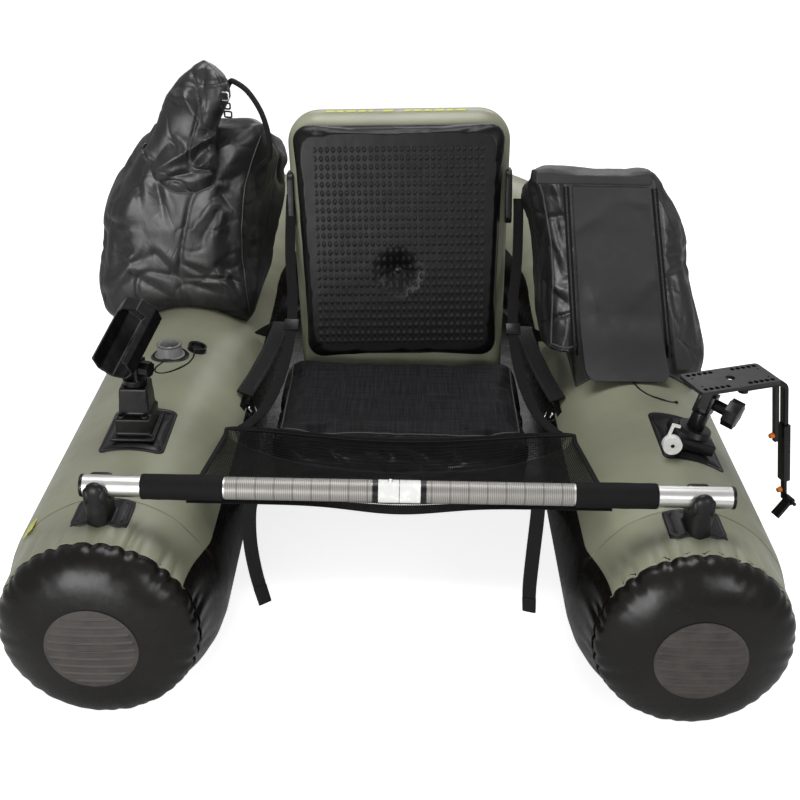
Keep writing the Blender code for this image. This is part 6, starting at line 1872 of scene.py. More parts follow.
class Repeater:
    """Sets one small part again and again along a path, with Geometry Nodes."""

    def __init__(self, shop: Workshop) -> None:
        """Build the node tree once."""
        self.shop = shop
        self.sockets: dict[str, str] = {}
        self.tree = self.make_tree()

    def make_tree(self) -> bpy.types.NodeTree:
        """Build the tree: even points on the path, a part on each, real geometry, one material."""
        tree = bpy.data.node_groups.new("parts_along_path", 'GeometryNodeTree')
        tree.interface.new_socket("Path", in_out='INPUT', socket_type='NodeSocketGeometry')
        for name, kind in (("Part", 'NodeSocketObject'), ("Count", 'NodeSocketInt'),
                           ("Finish", 'NodeSocketMaterial')):
            self.sockets[name] = tree.interface.new_socket(name, in_out='INPUT', socket_type=kind).identifier
        tree.interface.new_socket("Parts", in_out='OUTPUT', socket_type='NodeSocketGeometry')
        given = tree.nodes.new('NodeGroupInput')
        curve = tree.nodes.new('GeometryNodeMeshToCurve')
        even = tree.nodes.new('GeometryNodeResampleCurve')
        tangent = tree.nodes.new('GeometryNodeInputTangent')
        above = tree.nodes.new('GeometryNodeInputNamedAttribute')
        above.data_type = 'FLOAT_VECTOR'
        above.inputs["Name"].default_value = "above"
        ahead = tree.nodes.new('FunctionNodeAlignRotationToVector')
        ahead.axis = 'X'
        upright = tree.nodes.new('FunctionNodeAlignRotationToVector')
        upright.axis = 'Z'
        upright.pivot_axis = 'X'
        part = tree.nodes.new('GeometryNodeObjectInfo')
        place = tree.nodes.new('GeometryNodeInstanceOnPoints')
        real = tree.nodes.new('GeometryNodeRealizeInstances')
        paint = tree.nodes.new('GeometryNodeSetMaterial')
        result = tree.nodes.new('NodeGroupOutput')
        for start, end in ((given.outputs["Path"], curve.inputs["Mesh"]),
                           (curve.outputs["Curve"], even.inputs["Curve"]),
                           (given.outputs["Count"], even.inputs["Count"]),
                           (even.outputs["Curve"], place.inputs["Points"]),
                           (tangent.outputs["Tangent"], ahead.inputs["Vector"]),
                           (ahead.outputs["Rotation"], upright.inputs["Rotation"]),
                           (above.outputs["Attribute"], upright.inputs["Vector"]),
                           (upright.outputs["Rotation"], place.inputs["Rotation"]),
                           (given.outputs["Part"], part.inputs["Object"]),
                           (part.outputs["Geometry"], place.inputs["Instance"]),
                           (place.outputs["Instances"], real.inputs["Geometry"]),
                           (real.outputs["Geometry"], paint.inputs["Geometry"]),
                           (given.outputs["Finish"], paint.inputs["Material"]),
                           (paint.outputs["Geometry"], result.inputs["Parts"])):
            tree.links.new(start, end)
        return tree

    def along(self, name: str, path: np.ndarray, above: np.ndarray, part: Object, count: int, finish: str,
              body: str = "hull") -> Object:
        """Set parts along a path.

        Args:
            name: The new piece's name.
            path: Points in the hull frame.
            above: The direction in which each part's Z looks, one for all points or one for each.
            part: The small part, at the origin, its X along the path.
            count: How many.
            finish: The finish's name.
            body: The body that the parts ride on.

        Returns:
            The new piece.
        """
        data = bpy.data.meshes.new(name)
        data.from_pydata([tuple(spot) for spot in row(path)], [(k, k + 1) for k in range(len(path) - 1)], [])
        layer = data.attributes.new("above", 'FLOAT_VECTOR', 'POINT')
        layer.data.foreach_set("vector", np.broadcast_to(above, (len(path), 3)).astype(np.float32).ravel())
        piece = linked(name, data)
        parts = piece.modifiers.new("parts", 'NODES')
        parts.node_group = self.tree
        parts[self.sockets["Part"]] = part
        parts[self.sockets["Count"]] = count
        parts[self.sockets["Finish"]] = self.shop.palette[finish]
        self.shop.apply(piece)
        return self.shop.finish(piece, finish, body, sharp=40.0)

    def small(self, name: str, size: Point, edge: float, lift: float = 0.0) -> Object:
        """A small rounded part at the origin, to be set along a path."""
        return self.shop.block(name, size, Matrix.Translation(Vector((0.0, 0.0, lift)) - Vector(SHIFT)),
                               edge, 1)

    def drop(self, part: Object) -> None:
        """Take away a small part once it has been set."""
        bpy.data.objects.remove(part)


@dataclass
class Apron:
    """The mesh apron between seat and bar, its bindings and its two tails."""

    shop: Workshop
    repeat: Repeater
    side_x: float = 0.287
    side_z: float = 0.2655
    rim_z: float = 0.287
    rear_y: float = 0.466
    sag: float = 0.064
    fold_z: float = 0.238
    fold_set: float = 0.022
    droop: float = 0.012
    spread: float = 0.080
    under: float = 0.0188
    skin: float = 0.0007

    def line(self, u: float, steps: tuple[int, int, int]) -> np.ndarray:
        """Points down the net at a share across it.

        Args:
            u: From -1 on the left to 1 on the right.
            steps: How many points to the fold, to the hem and under the bar.

        Returns:
            Points in the hull frame, from the rear rim to the hem.
        """
        middle, full = 1 - u * u, 1 - u ** 4
        rim = np.array((self.rear_y - self.sag * middle, self.side_z + (self.rim_z - self.side_z) * full))
        fold = np.array((rim[0] - self.fold_set, self.side_z + (self.fold_z - self.side_z) * full))
        hem = np.array((BAR_Y + self.under, BAR_Z - self.under))
        x = u * self.side_x
        droop = self.droop * math.exp(-(x / self.spread) ** 2)
        last = np.array((BAR_Y - 0.0075, BAR_Z - self.under - droop))
        half = np.array((BAR_Y, BAR_Z - self.under - droop / 2))
        sheet = [rim + (fold - rim) * t for t in np.linspace(0.0, 1.0, steps[0], endpoint=False)]
        for t in np.linspace(0.0, 1.0, steps[1], endpoint=False):
            spot = fold + (hem - fold) * t
            spot[1] -= 0.006 * full * math.sin(math.pi * t) * (1 - 0.3 * math.sin(9 * u))
            sheet.append(spot)
        for t in np.linspace(0.0, 1.0, steps[2]):
            sheet.append((1 - t) ** 2 * hem + 2 * t * (1 - t) * half + t * t * last)
        return np.array([(x, spot[0], spot[1]) for spot in sheet])

    def build(self) -> None:
        """Hang the net, bind its edges and sew on the tails."""
        shares = np.linspace(-1.0, 1.0, 121)
        columns = np.array([self.line(float(u), (10, 40, 8)) for u in shares]).swapaxes(0, 1)
        depth = np.linspace(0.0, 1.0, len(columns))[:, None]
        wave = 0.0022 * np.sin(shares[None, :] * 21.0 + 3.0 * depth) * np.sin(math.pi * depth)
        slack = 0.0016 * np.sin(math.pi * depth) * (1 + lattice_noise(columns, 0.05, 21))
        columns[..., 2] -= np.abs(wave) + slack
        net = self.shop.thicken(self.shop.grid("apron_mesh", columns), self.skin, 0.0)
        self.shop.outward_faces(net)
        self.shop.finish(net, "mesh_cloth", "hull", ("apron_net",), sharp=180.0, ride=False)
        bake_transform(net)
        lines = np.array([self.line(float(u), (10, 4, 3)) for u in shares])
        rim = lines[:, 0]
        down = lines[:, 2] - rim
        tape = self.shop.sweep("apron_rim_binding", rim + down * 0.26, strap_outline(0.0085, 0.0018),
                               side=down)
        self.shop.finish(tape, "webbing", "hull", sharp=60.0)
        stitch = self.repeat.small("rim_thread", (0.0026, 0.0006, 0.0005), 0.0001, 0.0013)
        out = np.cross(np.gradient(rim, axis=0), down)
        out /= np.linalg.norm(out, axis=1)[:, None]
        out *= -np.sign(out[:, 1:2])
        self.repeat.along("apron_rim_stitches", rim + down * 0.40, out, stitch, 150, "piping")
        self.repeat.drop(stitch)
        lines = np.array([self.line(float(u), (4, 10, 7)) for u in shares])
        hem = lines[:, -1]
        up = lines[:, -4] - hem
        band = self.shop.sweep("apron_hem_band", hem + up * 0.5, strap_outline(0.014, 0.0018), side=up)
        self.shop.finish(band, "webbing", "bar", sharp=60.0)
        for side in Side:
            edge = self.line(float(side.value), (8, 26, 5))
            edge[:, 0] -= side.value * 0.003
            gusset = self.shop.sweep(f"apron_side_binding_{side.word}", edge, strap_outline(0.0075, 0.0018),
                                     side=np.array((1.0, 0.0, 0.0)))
            self.shop.finish(gusset, "webbing", "hull", sharp=60.0, ride=False)
            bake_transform(gusset)
        self.tails()

    def tails(self) -> None:
        """Hang the loose ends of the two lashing straps."""
        routes = {Side.LEFT: ((-0.2030, 0.1500, 0.3352), (-0.2080, 0.1460, 0.3050), (-0.2070, 0.1380, 0.2600),
                              (-0.1990, 0.1280, 0.2150), (-0.1860, 0.1120, 0.1780)),
                  Side.RIGHT: ((0.1930, 0.1500, 0.3370), (0.1920, 0.1460, 0.3000), (0.1890, 0.1380, 0.2450),
                               (0.1870, 0.1300, 0.2000), (0.1880, 0.1220, 0.1650))}
        for side, route in routes.items():
            path = smooth_route(route, 10)
            turn = np.linspace(0.15, 0.75 if side is Side.LEFT else -0.55, len(path))
            across = np.stack((np.cos(turn), np.sin(turn), 0.12 * np.sin(turn * 3)), -1)
            tail = self.shop.sweep(f"apron_tail_{side.word}_web", path, strap_outline(0.0200, 0.0016),
                                   side=across)
            self.shop.finish(tail, "webbing", "bar", (f"apron_tail_{side.word}",), sharp=60.0)
            tip = self.shop.sweep(f"apron_tail_{side.word}_fold", path[-7:], strap_outline(0.0204, 0.0046),
                                  side=across[-7:])
            self.shop.finish(tip, "webbing", "bar", sharp=60.0)


def filled_bag(shop: Workshop, name: str, levels: Sequence[tuple], dome: float, fall: float, cap: float,
               slack: float) -> Object:
    """Fill a bag between its foot, which rests on its chamber, and its mouth.

    Args:
        shop: The workshop.
        name: The bag's name.
        levels: Its level sections.
        dome: How far its top rises.
        fall: How far its top sinks towards the back.
        cap: How far the filling may move a point.
        slack: Share by which the cloth is larger than the form.

    Returns:
        The filled bag.
    """
    bag = shop.sack(name, levels, dome, fall)

    def free(spots: np.ndarray) -> np.ndarray:
        """Hold the foot."""
        return smoothstep((spots[:, 2] - 0.29) / 0.05)
    inflate(bag, 0.0068, 3.0, cap, slack, free, 0.15)
    return shop.soften(bag)


@dataclass
class DryBag:
    """The tall roll-top bag on the left chamber."""

    shop: Workshop
    # Height, front X from and to, back X from and to, front Y and back Y.
    levels: tuple = (
        (0.268, -0.560, -0.300, -0.560, -0.300, 0.878, 1.095),
        (0.300, -0.575, -0.286, -0.575, -0.286, 0.857, 1.108),
        (0.350, -0.577, -0.291, -0.577, -0.272, 0.852, 1.110),
        (0.410, -0.570, -0.297, -0.570, -0.255, 0.852, 1.110),
        (0.470, -0.560, -0.296, -0.560, -0.240, 0.855, 1.108),
        (0.515, -0.550, -0.292, -0.550, -0.233, 0.860, 1.104),
        (0.550, -0.532, -0.288, -0.535, -0.230, 0.866, 1.095),
        (0.600, -0.498, -0.272, -0.505, -0.228, 0.876, 1.075),
        (0.640, -0.474, -0.256, -0.480, -0.232, 0.886, 1.085),
        (0.664, -0.458, -0.250, -0.466, -0.240, 0.892, 1.085))
    # X and Z of each fold's start and end, its depth and its width.
    creases: tuple = (
        (-0.547, 0.477, -0.488, 0.481, 0.007, 0.007), (-0.542, 0.511, -0.501, 0.541, -0.005, 0.008),
        (-0.486, 0.552, -0.485, 0.501, 0.005, 0.006), (-0.451, 0.545, -0.440, 0.487, 0.007, 0.007),
        (-0.385, 0.481, -0.339, 0.540, -0.005, 0.007), (-0.345, 0.504, -0.382, 0.443, 0.007, 0.007),
        (-0.331, 0.497, -0.306, 0.419, 0.007, 0.007), (-0.336, 0.540, -0.310, 0.493, 0.007, 0.007),
        (-0.508, 0.407, -0.460, 0.427, 0.005, 0.007), (-0.460, 0.423, -0.397, 0.347, 0.006, 0.008),
        (-0.408, 0.405, -0.352, 0.372, 0.005, 0.007), (-0.388, 0.363, -0.331, 0.345, 0.007, 0.009),
        (-0.542, 0.470, -0.535, 0.395, 0.005, 0.007), (-0.565, 0.336, -0.503, 0.380, 0.008, 0.010),
        (-0.503, 0.380, -0.430, 0.335, 0.007, 0.009), (-0.322, 0.376, -0.296, 0.306, 0.007, 0.007))
    hood_folds: tuple = (
        (-0.412, 0.723, -0.383, 0.717, -0.006, 0.006), (-0.383, 0.717, -0.346, 0.654, -0.007, 0.007),
        (-0.350, 0.651, -0.449, 0.593, -0.010, 0.009), (-0.408, 0.639, -0.389, 0.619, 0.005, 0.008),
        (-0.410, 0.710, -0.391, 0.700, 0.005, 0.005), (-0.464, 0.617, -0.453, 0.586, 0.005, 0.005),
        (-0.363, 0.605, -0.334, 0.627, -0.005, 0.005), (-0.412, 0.584, -0.363, 0.592, 0.005, 0.005),
        (-0.353, 0.780, -0.357, 0.711, 0.009, 0.009), (-0.311, 0.745, -0.329, 0.725, -0.004, 0.005),
        (-0.452, 0.604, -0.407, 0.660, 0.007, 0.012), (-0.361, 0.640, -0.384, 0.584, 0.009, 0.014))
    # Height, X from and to, Y from and to.
    hood_levels: tuple = (
        (0.7765, -0.3585, -0.3535, 0.866, 0.871), (0.768, -0.374, -0.338, 0.852, 0.882),
        (0.745, -0.400, -0.315, 0.838, 0.893), (0.715, -0.424, -0.313, 0.828, 0.902),
        (0.690, -0.435, -0.325, 0.822, 0.905), (0.660, -0.447, -0.338, 0.817, 0.900),
        (0.630, -0.461, -0.342, 0.813, 0.890), (0.600, -0.472, -0.340, 0.811, 0.878),
        (0.575, -0.470, -0.340, 0.812, 0.868), (0.553, -0.452, -0.346, 0.817, 0.862))
    handle: tuple = ((-0.3220, 0.8740, 0.7200), (-0.3140, 0.8790, 0.7370), (-0.3050, 0.8720, 0.7400),
                     (-0.2800, 0.8620, 0.7250), (-0.2560, 0.8520, 0.6900), (-0.2440, 0.8500, 0.6450),
                     (-0.2460, 0.8580, 0.6100), (-0.2620, 0.8800, 0.5900))
    buckle: tuple = ((0.722, 0.024, 0.014), (0.706, 0.020, 0.010), (0.692, 0.016, 0.010))    # Z and size

    def build(self) -> None:
        """Fill the bag, press its folds in and close its mouth."""
        bag = filled_bag(self.shop, "left_bag_skin", self.levels, 0.006, 0.078, 0.009, 0.024)
        facing = normals(bag)
        points = coordinates(bag) - SHIFT
        front = smoothstep((-facing[:, 1] - 0.25) / 0.4)
        depth = 0.55 * front * folds(points, self.creases) + crumple(points, 0.115, 0.0030, 31)
        depth += crumple(points + 0.4, 0.050, 0.0009, 47)
        points -= facing * depth[:, None]
        points[:, 0] = np.maximum(points[:, 0], -0.598)
        points[:, 0] = np.minimum(points[:, 0], -0.2225)
        above_tube(points, 0.0022)
        reshape(bag, row(points))
        self.shop.finish(bag, "bag", "hull", ("left_bag",), sharp=180.0)
        table = np.array(self.levels)
        heights = np.linspace(0.300, 0.640, 40)
        corner = np.interp(heights, table[:, 0], table[:, 2]) - 0.0075
        spots = self.shop.drape_front(bag, np.stack((corner, heights), -1), 0.7, 0.0006)
        edge = self.shop.sweep("left_bag_seam", spots, circle(0.0021, 8))
        self.shop.finish(edge, "bag", "hull", sharp=80.0)
        self.hood()

    def hood_form(self) -> np.ndarray:
        """Points round the folded mouth from its tip to its lip, which rises at both sides."""
        table = np.array(self.hood_levels)
        share = np.linspace(0.0, 1.0, 96) ** 0.9
        heights = table[0, 0] + (table[-1, 0] - table[0, 0]) * share
        order = table[::-1]
        x0, x1, y0, y1 = (np.interp(heights, order[:, 0], column) for column in order.T[1:])
        angle = np.linspace(0.0, 2 * math.pi, 160, endpoint=False)
        u = np.sign(np.cos(angle)) * np.abs(np.cos(angle)) ** 0.80
        v = np.sign(np.sin(angle)) * np.abs(np.sin(angle)) ** 0.80
        x = ((x0 + x1) / 2)[:, None] + ((x1 - x0) / 2)[:, None] * u[None, :]
        y = ((y0 + y1) / 2)[:, None] + ((y1 - y0) / 2)[:, None] * v[None, :]
        z = np.broadcast_to(heights[:, None], x.shape).copy()
        low = smoothstep((0.640 - z) / 0.080)
        z += low * (0.046 * np.clip((-0.405 - x) / 0.066, 0.0, 1.0) ** 1.6
                    + 0.014 * np.clip((x + 0.375) / 0.035, 0.0, 1.0))
        z += low * 0.012 * np.clip((y - 0.83) / 0.03, 0.0, 1.0)
        return np.stack((x, y, z), -1)

    def hood(self) -> None:
        """Fold the bag's mouth over its front, with its buckle and cord handle."""
        form = self.hood_form()
        shell = self.shop.grid("left_bag_hood", form, closed=True)
        data = bmesh.new()
        data.from_mesh(shell.data)
        ring = [edge for edge in data.edges if edge.is_boundary and edge.verts[0].co.z > 0.7]
        bmesh.ops.contextual_create(data, geom=ring)
        bmesh.ops.recalc_face_normals(data, faces=data.faces)
        middle = Vector(row((-0.39, 0.86, 0.66)))
        outward = sum(1 if face.normal.dot(face.calc_center_median() - middle) > 0 else -1
                      for face in data.faces)
        if outward < 0:
            bmesh.ops.reverse_faces(data, faces=data.faces)
        data.to_mesh(shell.data)
        data.free()
        facing = normals(shell)
        points = coordinates(shell) - SHIFT
        front = smoothstep((-facing[:, 1] - 0.1) / 0.5)
        depth = front * folds(points, self.hood_folds) + crumple(points, 0.070, 0.0042, 63)
        depth += crumple(points + 0.2, 0.034, 0.0014, 71)
        depth *= smoothstep((0.779 - points[:, 2]) / 0.03)
        points -= facing * depth[:, None]
        points[:, 1] = np.minimum(points[:, 1], 0.915)
        reshape(shell, row(points))
        lip = points[:form[..., 0].size].reshape(form.shape)[-1]
        self.shop.thicken(shell, 0.0016)
        self.shop.finish(shell, "bag", "hull", ("left_bag",), sharp=180.0)
        # The bead round the lip takes the paler piping grey: a painted highlight along the mouth's edge.
        rim = self.shop.sweep("left_bag_hood_rim", lip, circle(0.0022, 8), ring=True)
        self.shop.finish(rim, "piping", "hull", sharp=80.0)
        grip = self.shop.sweep("left_bag_handle", smooth_route(self.handle, 8), circle(0.0048, 14))
        self.shop.finish(grip, "cord", "hull", sharp=80.0)
        square = rounded_square(0.35, 5)
        # The first link is bright steel, a painted highlight on the black plastic buckle; the others are
        # plain plastic.
        for index, (z, wide, tall) in enumerate(self.buckle):
            x = -0.3205 + 0.004 * index + square[:, 0] * wide / 2 * 0.8
            y = 0.838 - square[:, 0] * wide * 0.12 - 0.003 * index
            path = np.stack((x, y, z + square[:, 1] * tall / 2), -1)
            link = self.shop.sweep(f"left_bag_buckle_{index}", path, circle(0.0016, 8), ring=True)
            self.shop.finish(link, "plastic" if index else "steel", "hull", sharp=80.0)


@dataclass
class ZippedBag:
    """The bag on the right chamber, with its long flap between two zips."""

    shop: Workshop
    repeat: Repeater
    levels: tuple = (
        (0.262, 0.300, 0.508, 0.300, 0.508, 0.616, 0.850), (0.290, 0.268, 0.524, 0.262, 0.524, 0.613, 0.855),
        (0.330, 0.251, 0.527, 0.258, 0.522, 0.6186, 0.855),
        (0.380, 0.250, 0.514, 0.250, 0.512, 0.6257, 0.855),
        (0.430, 0.249, 0.498, 0.243, 0.500, 0.6329, 0.855),
        (0.480, 0.246, 0.484, 0.236, 0.490, 0.6400, 0.853),
        (0.525, 0.241, 0.476, 0.228, 0.482, 0.6464, 0.850),
        (0.570, 0.231, 0.461, 0.220, 0.468, 0.6529, 0.846),
        (0.610, 0.221, 0.440, 0.214, 0.446, 0.6586, 0.840),
        (0.640, 0.209, 0.420, 0.210, 0.424, 0.6629, 0.832),
        (0.652, 0.203, 0.412, 0.210, 0.416, 0.6670, 0.825))
    creases: tuple = (
        (0.253, 0.564, 0.266, 0.516, 0.005, 0.005), (0.264, 0.570, 0.279, 0.522, 0.005, 0.005),
        (0.250, 0.521, 0.265, 0.482, 0.005, 0.005), (0.253, 0.444, 0.290, 0.420, 0.006, 0.007),
        (0.250, 0.491, 0.262, 0.441, -0.003, 0.005), (0.410, 0.608, 0.461, 0.544, -0.004, 0.007),
        (0.431, 0.531, 0.472, 0.526, 0.004, 0.006), (0.448, 0.479, 0.477, 0.486, 0.004, 0.006),
        (0.456, 0.464, 0.473, 0.369, 0.003, 0.007), (0.487, 0.449, 0.513, 0.337, -0.004, 0.007))
    hinge: tuple[float, float] = (0.338, 0.627)     # X and Z of the flap's hinge line
    flap_shift: float = 0.046       # how far the flap's middle moves outward down to its foot
    flap_half: tuple[float, float] = (0.062, 0.071)     # half width at the hinge and at the foot
    flap_length: float = 0.3081
    flap_curl: float = 0.054        # the flap's foot stands forward on the chamber by this
    flap_folds: tuple = (
        (0.290, 0.560, 0.360, 0.612, 0.0030, 0.010), (0.395, 0.600, 0.330, 0.616, 0.0024, 0.008),
        (0.325, 0.440, 0.352, 0.365, 0.0030, 0.012), (0.420, 0.470, 0.375, 0.420, 0.0020, 0.012))
    slope: tuple[float, float] = (0.060, 0.420)     # setback and height of the bag's front

    def build(self) -> None:
        """Build the bag, then what is sewn on its front."""
        self.flap(self.filled())

    @property
    def lean(self) -> float:
        """How far the bag's front leans back."""
        return math.atan2(*self.slope)

    def plane(self, z: np.ndarray) -> np.ndarray:
        """Y of the right bag's sloping front at a height."""
        return 0.605 + self.slope[0] * (z - 0.235) / self.slope[1]

    def middle(self, drop: np.ndarray) -> np.ndarray:
        """X of the flap's middle line, from the hinge's, at a distance down the flap."""
        return self.flap_shift * drop / self.flap_length

    def half(self, drop: np.ndarray) -> np.ndarray:
        """Half the flap's width at a distance down the flap."""
        return self.flap_half[0] + (self.flap_half[1] - self.flap_half[0]) * drop / self.flap_length

    def filled(self) -> Object:
        """Fill the right bag, press its folds in and pipe its edges."""
        bag = filled_bag(self.shop, "right_bag_skin", self.levels, 0.003, 0.070, 0.007, 0.030)
        facing = normals(bag)
        points = coordinates(bag) - SHIFT
        front = smoothstep((-facing[:, 1] - 0.2) / 0.4)
        right = smoothstep((facing[:, 0] - 0.2) / 0.4)
        depth = np.maximum(front, right) * folds(points, self.creases)
        depth += crumple(points, 0.085, 0.0036, 83) + crumple(points + 0.3, 0.040, 0.0010, 91)
        points -= facing * depth[:, None]
        x, y, z = points.T
        drop = (self.hinge[1] - z) / math.cos(self.lean)
        aside = np.abs(x - self.hinge[0] - self.middle(drop))
        covered = smoothstep((self.half(drop) + 0.024 - aside) / 0.012)
        limit = self.plane(z) - 0.0035 + 0.0052 * covered
        points[:, 1] = np.maximum(y, limit)
        shelf = 0.347 - 0.10 * smoothstep((x - 0.286) / 0.030)
        points[:, 2] = np.maximum(z, shelf)
        points[:, 0] = np.maximum(points[:, 0], 0.2035)
        above_tube(points, 0.0022)
        reshape(bag, row(points))
        self.shop.finish(bag, "bag", "hull", ("right_bag",), sharp=180.0)
        table = np.array(self.levels)
        heights = np.linspace(0.352, 0.640, 40)
        corner = np.interp(heights, table[:, 0], table[:, 1]) + 0.0085
        left = self.shop.drape_front(bag, np.stack((corner, heights), -1), 0.45, 0.0008)
        across = np.linspace(corner[0] + 0.003, 0.300, 10)
        low = self.shop.drape_front(bag, np.stack((across, np.full(10, 0.3535)), -1), 0.45, 0.0008)
        path = np.vstack((left[::-1], low))
        piping = self.shop.sweep("right_bag_piping", path, circle(0.0020, 8))
        self.shop.finish(piping, "piping", "hull", sharp=80.0)
        return bag

    def on_hinge(self, x: np.ndarray, drop: np.ndarray, rise: np.ndarray) -> np.ndarray:
        """Hull frame points from the flap's own sideways, downward and outward distances."""
        front = self.plane(np.array(self.hinge[1])) - 0.00195 / math.cos(self.lean)
        return np.stack((self.hinge[0] + x, front - drop * math.sin(self.lean) - rise * math.cos(self.lean),
                         self.hinge[1] - drop * math.cos(self.lean) + rise * math.sin(self.lean)), -1)

    def flap(self, bag: Object) -> None:
        """Cut the long flap and the panel above it, and lay the two zips beside it.

        Args:
            bag: The right bag's skin.
        """
        length, corner = self.flap_length + 0.010, 0.016
        rounded = length - corner * (1 - np.sin(np.linspace(0.0, math.pi / 2, 12)[1:]))
        drop = np.concatenate((np.linspace(0.0, length - corner, 44), rounded))
        share = drop / length
        into = np.clip((drop - (length - corner)) / corner, 0.0, 1.0)
        wide = self.half(drop) - corner * (1 - np.sqrt(np.clip(1 - into ** 2, 0.0, 1.0)))
        u = np.linspace(-1.0, 1.0, 41)
        x = self.middle(drop)[:, None] + wide[:, None] * u[None, :]
        u, down = u[None, :], share[:, None]
        rise = 0.0034 * np.exp(-((u + 0.55) / 0.30) ** 2 - ((down - 0.62) / 0.20) ** 2)
        rise = rise + 0.0022 * np.exp(-((u - 0.3) / 0.5) ** 2 - ((down - 0.25) / 0.2) ** 2)
        rise = rise + self.flap_curl * np.clip((down - 0.66) / 0.34, 0.0, 1.0) ** 2
        form = self.on_hinge(x, np.broadcast_to(drop[:, None], x.shape), rise)
        form[..., 1] -= 0.0016 * (1 + lattice_noise(form, 0.07, 12)) * np.minimum(1.0, down * 6)
        pressed = np.maximum(folds(form.reshape(-1, 3), self.flap_folds), 0.0)
        form[..., 1] -= pressed.reshape(form.shape[:2])
        flap = self.shop.grid("right_bag_tongue", form)
        self.shop.outward_faces(self.shop.thicken(flap, 0.0022, 0.0))
        self.shop.finish(flap, "flap", "bag_flap", ("right_bag_flap",), sharp=60.0)
        self.top_panel(bag)
        self.zips()

    def top_panel(self, bag: Object) -> None:
        """Sew the matt panel over the bag's top edge, above the flap."""
        across = np.linspace(0.2150, 0.4060, 40)
        rows = [self.shop.drape_front(bag, [(x, z) for x in across], 0.45, 0.0012)
                for z in (0.6300, 0.6345, 0.6390, 0.6430, 0.6465)]
        rows += [self.shop.drape(bag, [(x, y) for x in across], (0.0, 0.0, -1.0), 0.80, 0.0012)
                 for y in (0.6760, 0.6840, 0.6940, 0.7060, 0.7200, 0.7360)]
        form = np.array([[[np.interp(x, line[:, 0], line[:, axis]) for axis in range(3)] for x in across]
                         for line in rows if len(line) > 30])
        form[:5, :, 1] = np.minimum(form[:5, :, 1], self.plane(form[:5, :, 2]) - 0.0036)
        cover = self.shop.thicken(self.shop.grid("right_bag_top_panel", form), 0.0020, 0.0)
        self.shop.outward_faces(self.shop.soften(cover))
        self.shop.finish(cover, "flap", "hull", sharp=60.0)

    def zips(self) -> None:
        """Lay the zips' tapes and teeth beside the flap, with their pulls."""
        tooth = self.repeat.small("zip_tooth", (0.0013, 0.0030, 0.0011), 0.0002)
        above = np.array((0.0, -math.cos(self.lean), math.sin(self.lean)))
        for side in Side:
            run = np.linspace(0.002, 0.292, 30)
            centre = self.middle(run) + side.value * (self.half(run) + 0.011)
            tape = self.on_hinge(centre, run, np.full(30, -0.00235))
            band = self.shop.sweep(f"zip_tape_{side.word}", tape, strap_outline(0.0105, 0.0012),
                                   side=np.array((1.0, 0.0, 0.0)))
            self.shop.finish(band, "webbing", "hull", sharp=60.0)
            teeth = self.on_hinge(centre, run, np.full(30, -0.00150))
            self.repeat.along(f"zip_teeth_{side.word}", teeth, above, tooth, 130, "piping")
            self.shop.refined(f"zip_pull_{side.word}", "plastic", 0.0004, 35.0)
        self.repeat.drop(tooth)


@dataclass
class Straps:
    """Webbing that holds the backrest, the carrying straps and their metal."""

    shop: Workshop
    repeat: Repeater
    side_route: tuple = ((0.2040, 0.8240, 0.5520), (0.2040, 0.8000, 0.5250), (0.2030, 0.7620, 0.4550),
                         (0.1960, 0.7150, 0.3850), (0.1990, 0.6600, 0.3300), (0.2110, 0.6000, 0.2900),
                         (0.2300, 0.5450, 0.2640), (0.2520, 0.5050, 0.2550), (0.2705, 0.4840, 0.2520))
    carry_route: tuple = ((0.2732, 0.5980, 0.2620), (0.2540, 0.6400, 0.2820), (0.2360, 0.6800, 0.3070),
                          (0.2265, 0.7300, 0.3200), (0.2255, 0.7800, 0.3180), (0.2380, 0.8200, 0.2970),
                          (0.2716, 0.8520, 0.2630))

    def build(self) -> None:
        """Sew all the straps."""
        thread = self.repeat.small("strap_thread", (0.0030, 0.0007, 0.0005), 0.0001)
        along_x = np.array((1.0, 0.0, 0.0))
        for side in Side:
            word = side.word
            mirror = np.array((side.value, 1.0, 1.0))
            path = smooth_route(self.side_route, 8) * mirror
            web = self.shop.sweep(f"side_strap_{word}_web", path, strap_outline(0.0180, 0.0020), side=along_x)
            self.shop.finish(web, "webbing", "hull", (f"side_strap_{word}",), sharp=60.0, ride=False)
            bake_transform(web)
            doubled = self.shop.sweep(f"side_strap_{word}_fold", path[-15:-3], strap_outline(0.0184, 0.0044),
                                      side=along_x)
            self.shop.finish(doubled, "webbing", "hull", sharp=60.0, ride=False)
            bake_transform(doubled)
            route = smooth_route(self.carry_route, 8) * mirror
            pad = self.shop.sweep(f"carry_strap_{word}_pad", route, strap_outline(0.0300, 0.0038, 0.0006),
                                  side=along_x)
            self.shop.finish(pad, "carry_pad", "hull", (f"carry_strap_{word}",), sharp=60.0)
            for edge in (-1, 1):
                line = route[2:-2].copy()
                line[:, 0] += edge * 0.0122
                ahead = np.gradient(line, axis=0)
                above = np.cross(along_x, ahead)
                above *= np.sign(above[:, 2:3])
                above /= np.linalg.norm(above, axis=1)[:, None]
                self.repeat.along(f"carry_stitches_{word}_{'outer' if edge * side.value > 0 else 'inner'}",
                                  line + above * 0.0021, above, thread, 52, "piping")
            self.shop.refined(f"d_ring_{word}", "steel", 0.0, 70.0)
            self.shop.refined(f"strap_slider_{word}", "plastic", 0.0005, 35.0)
            self.shop.refined(f"ring_patch_{word}", "pad_rubber", 0.0006, 30.0)
        self.repeat.drop(thread)


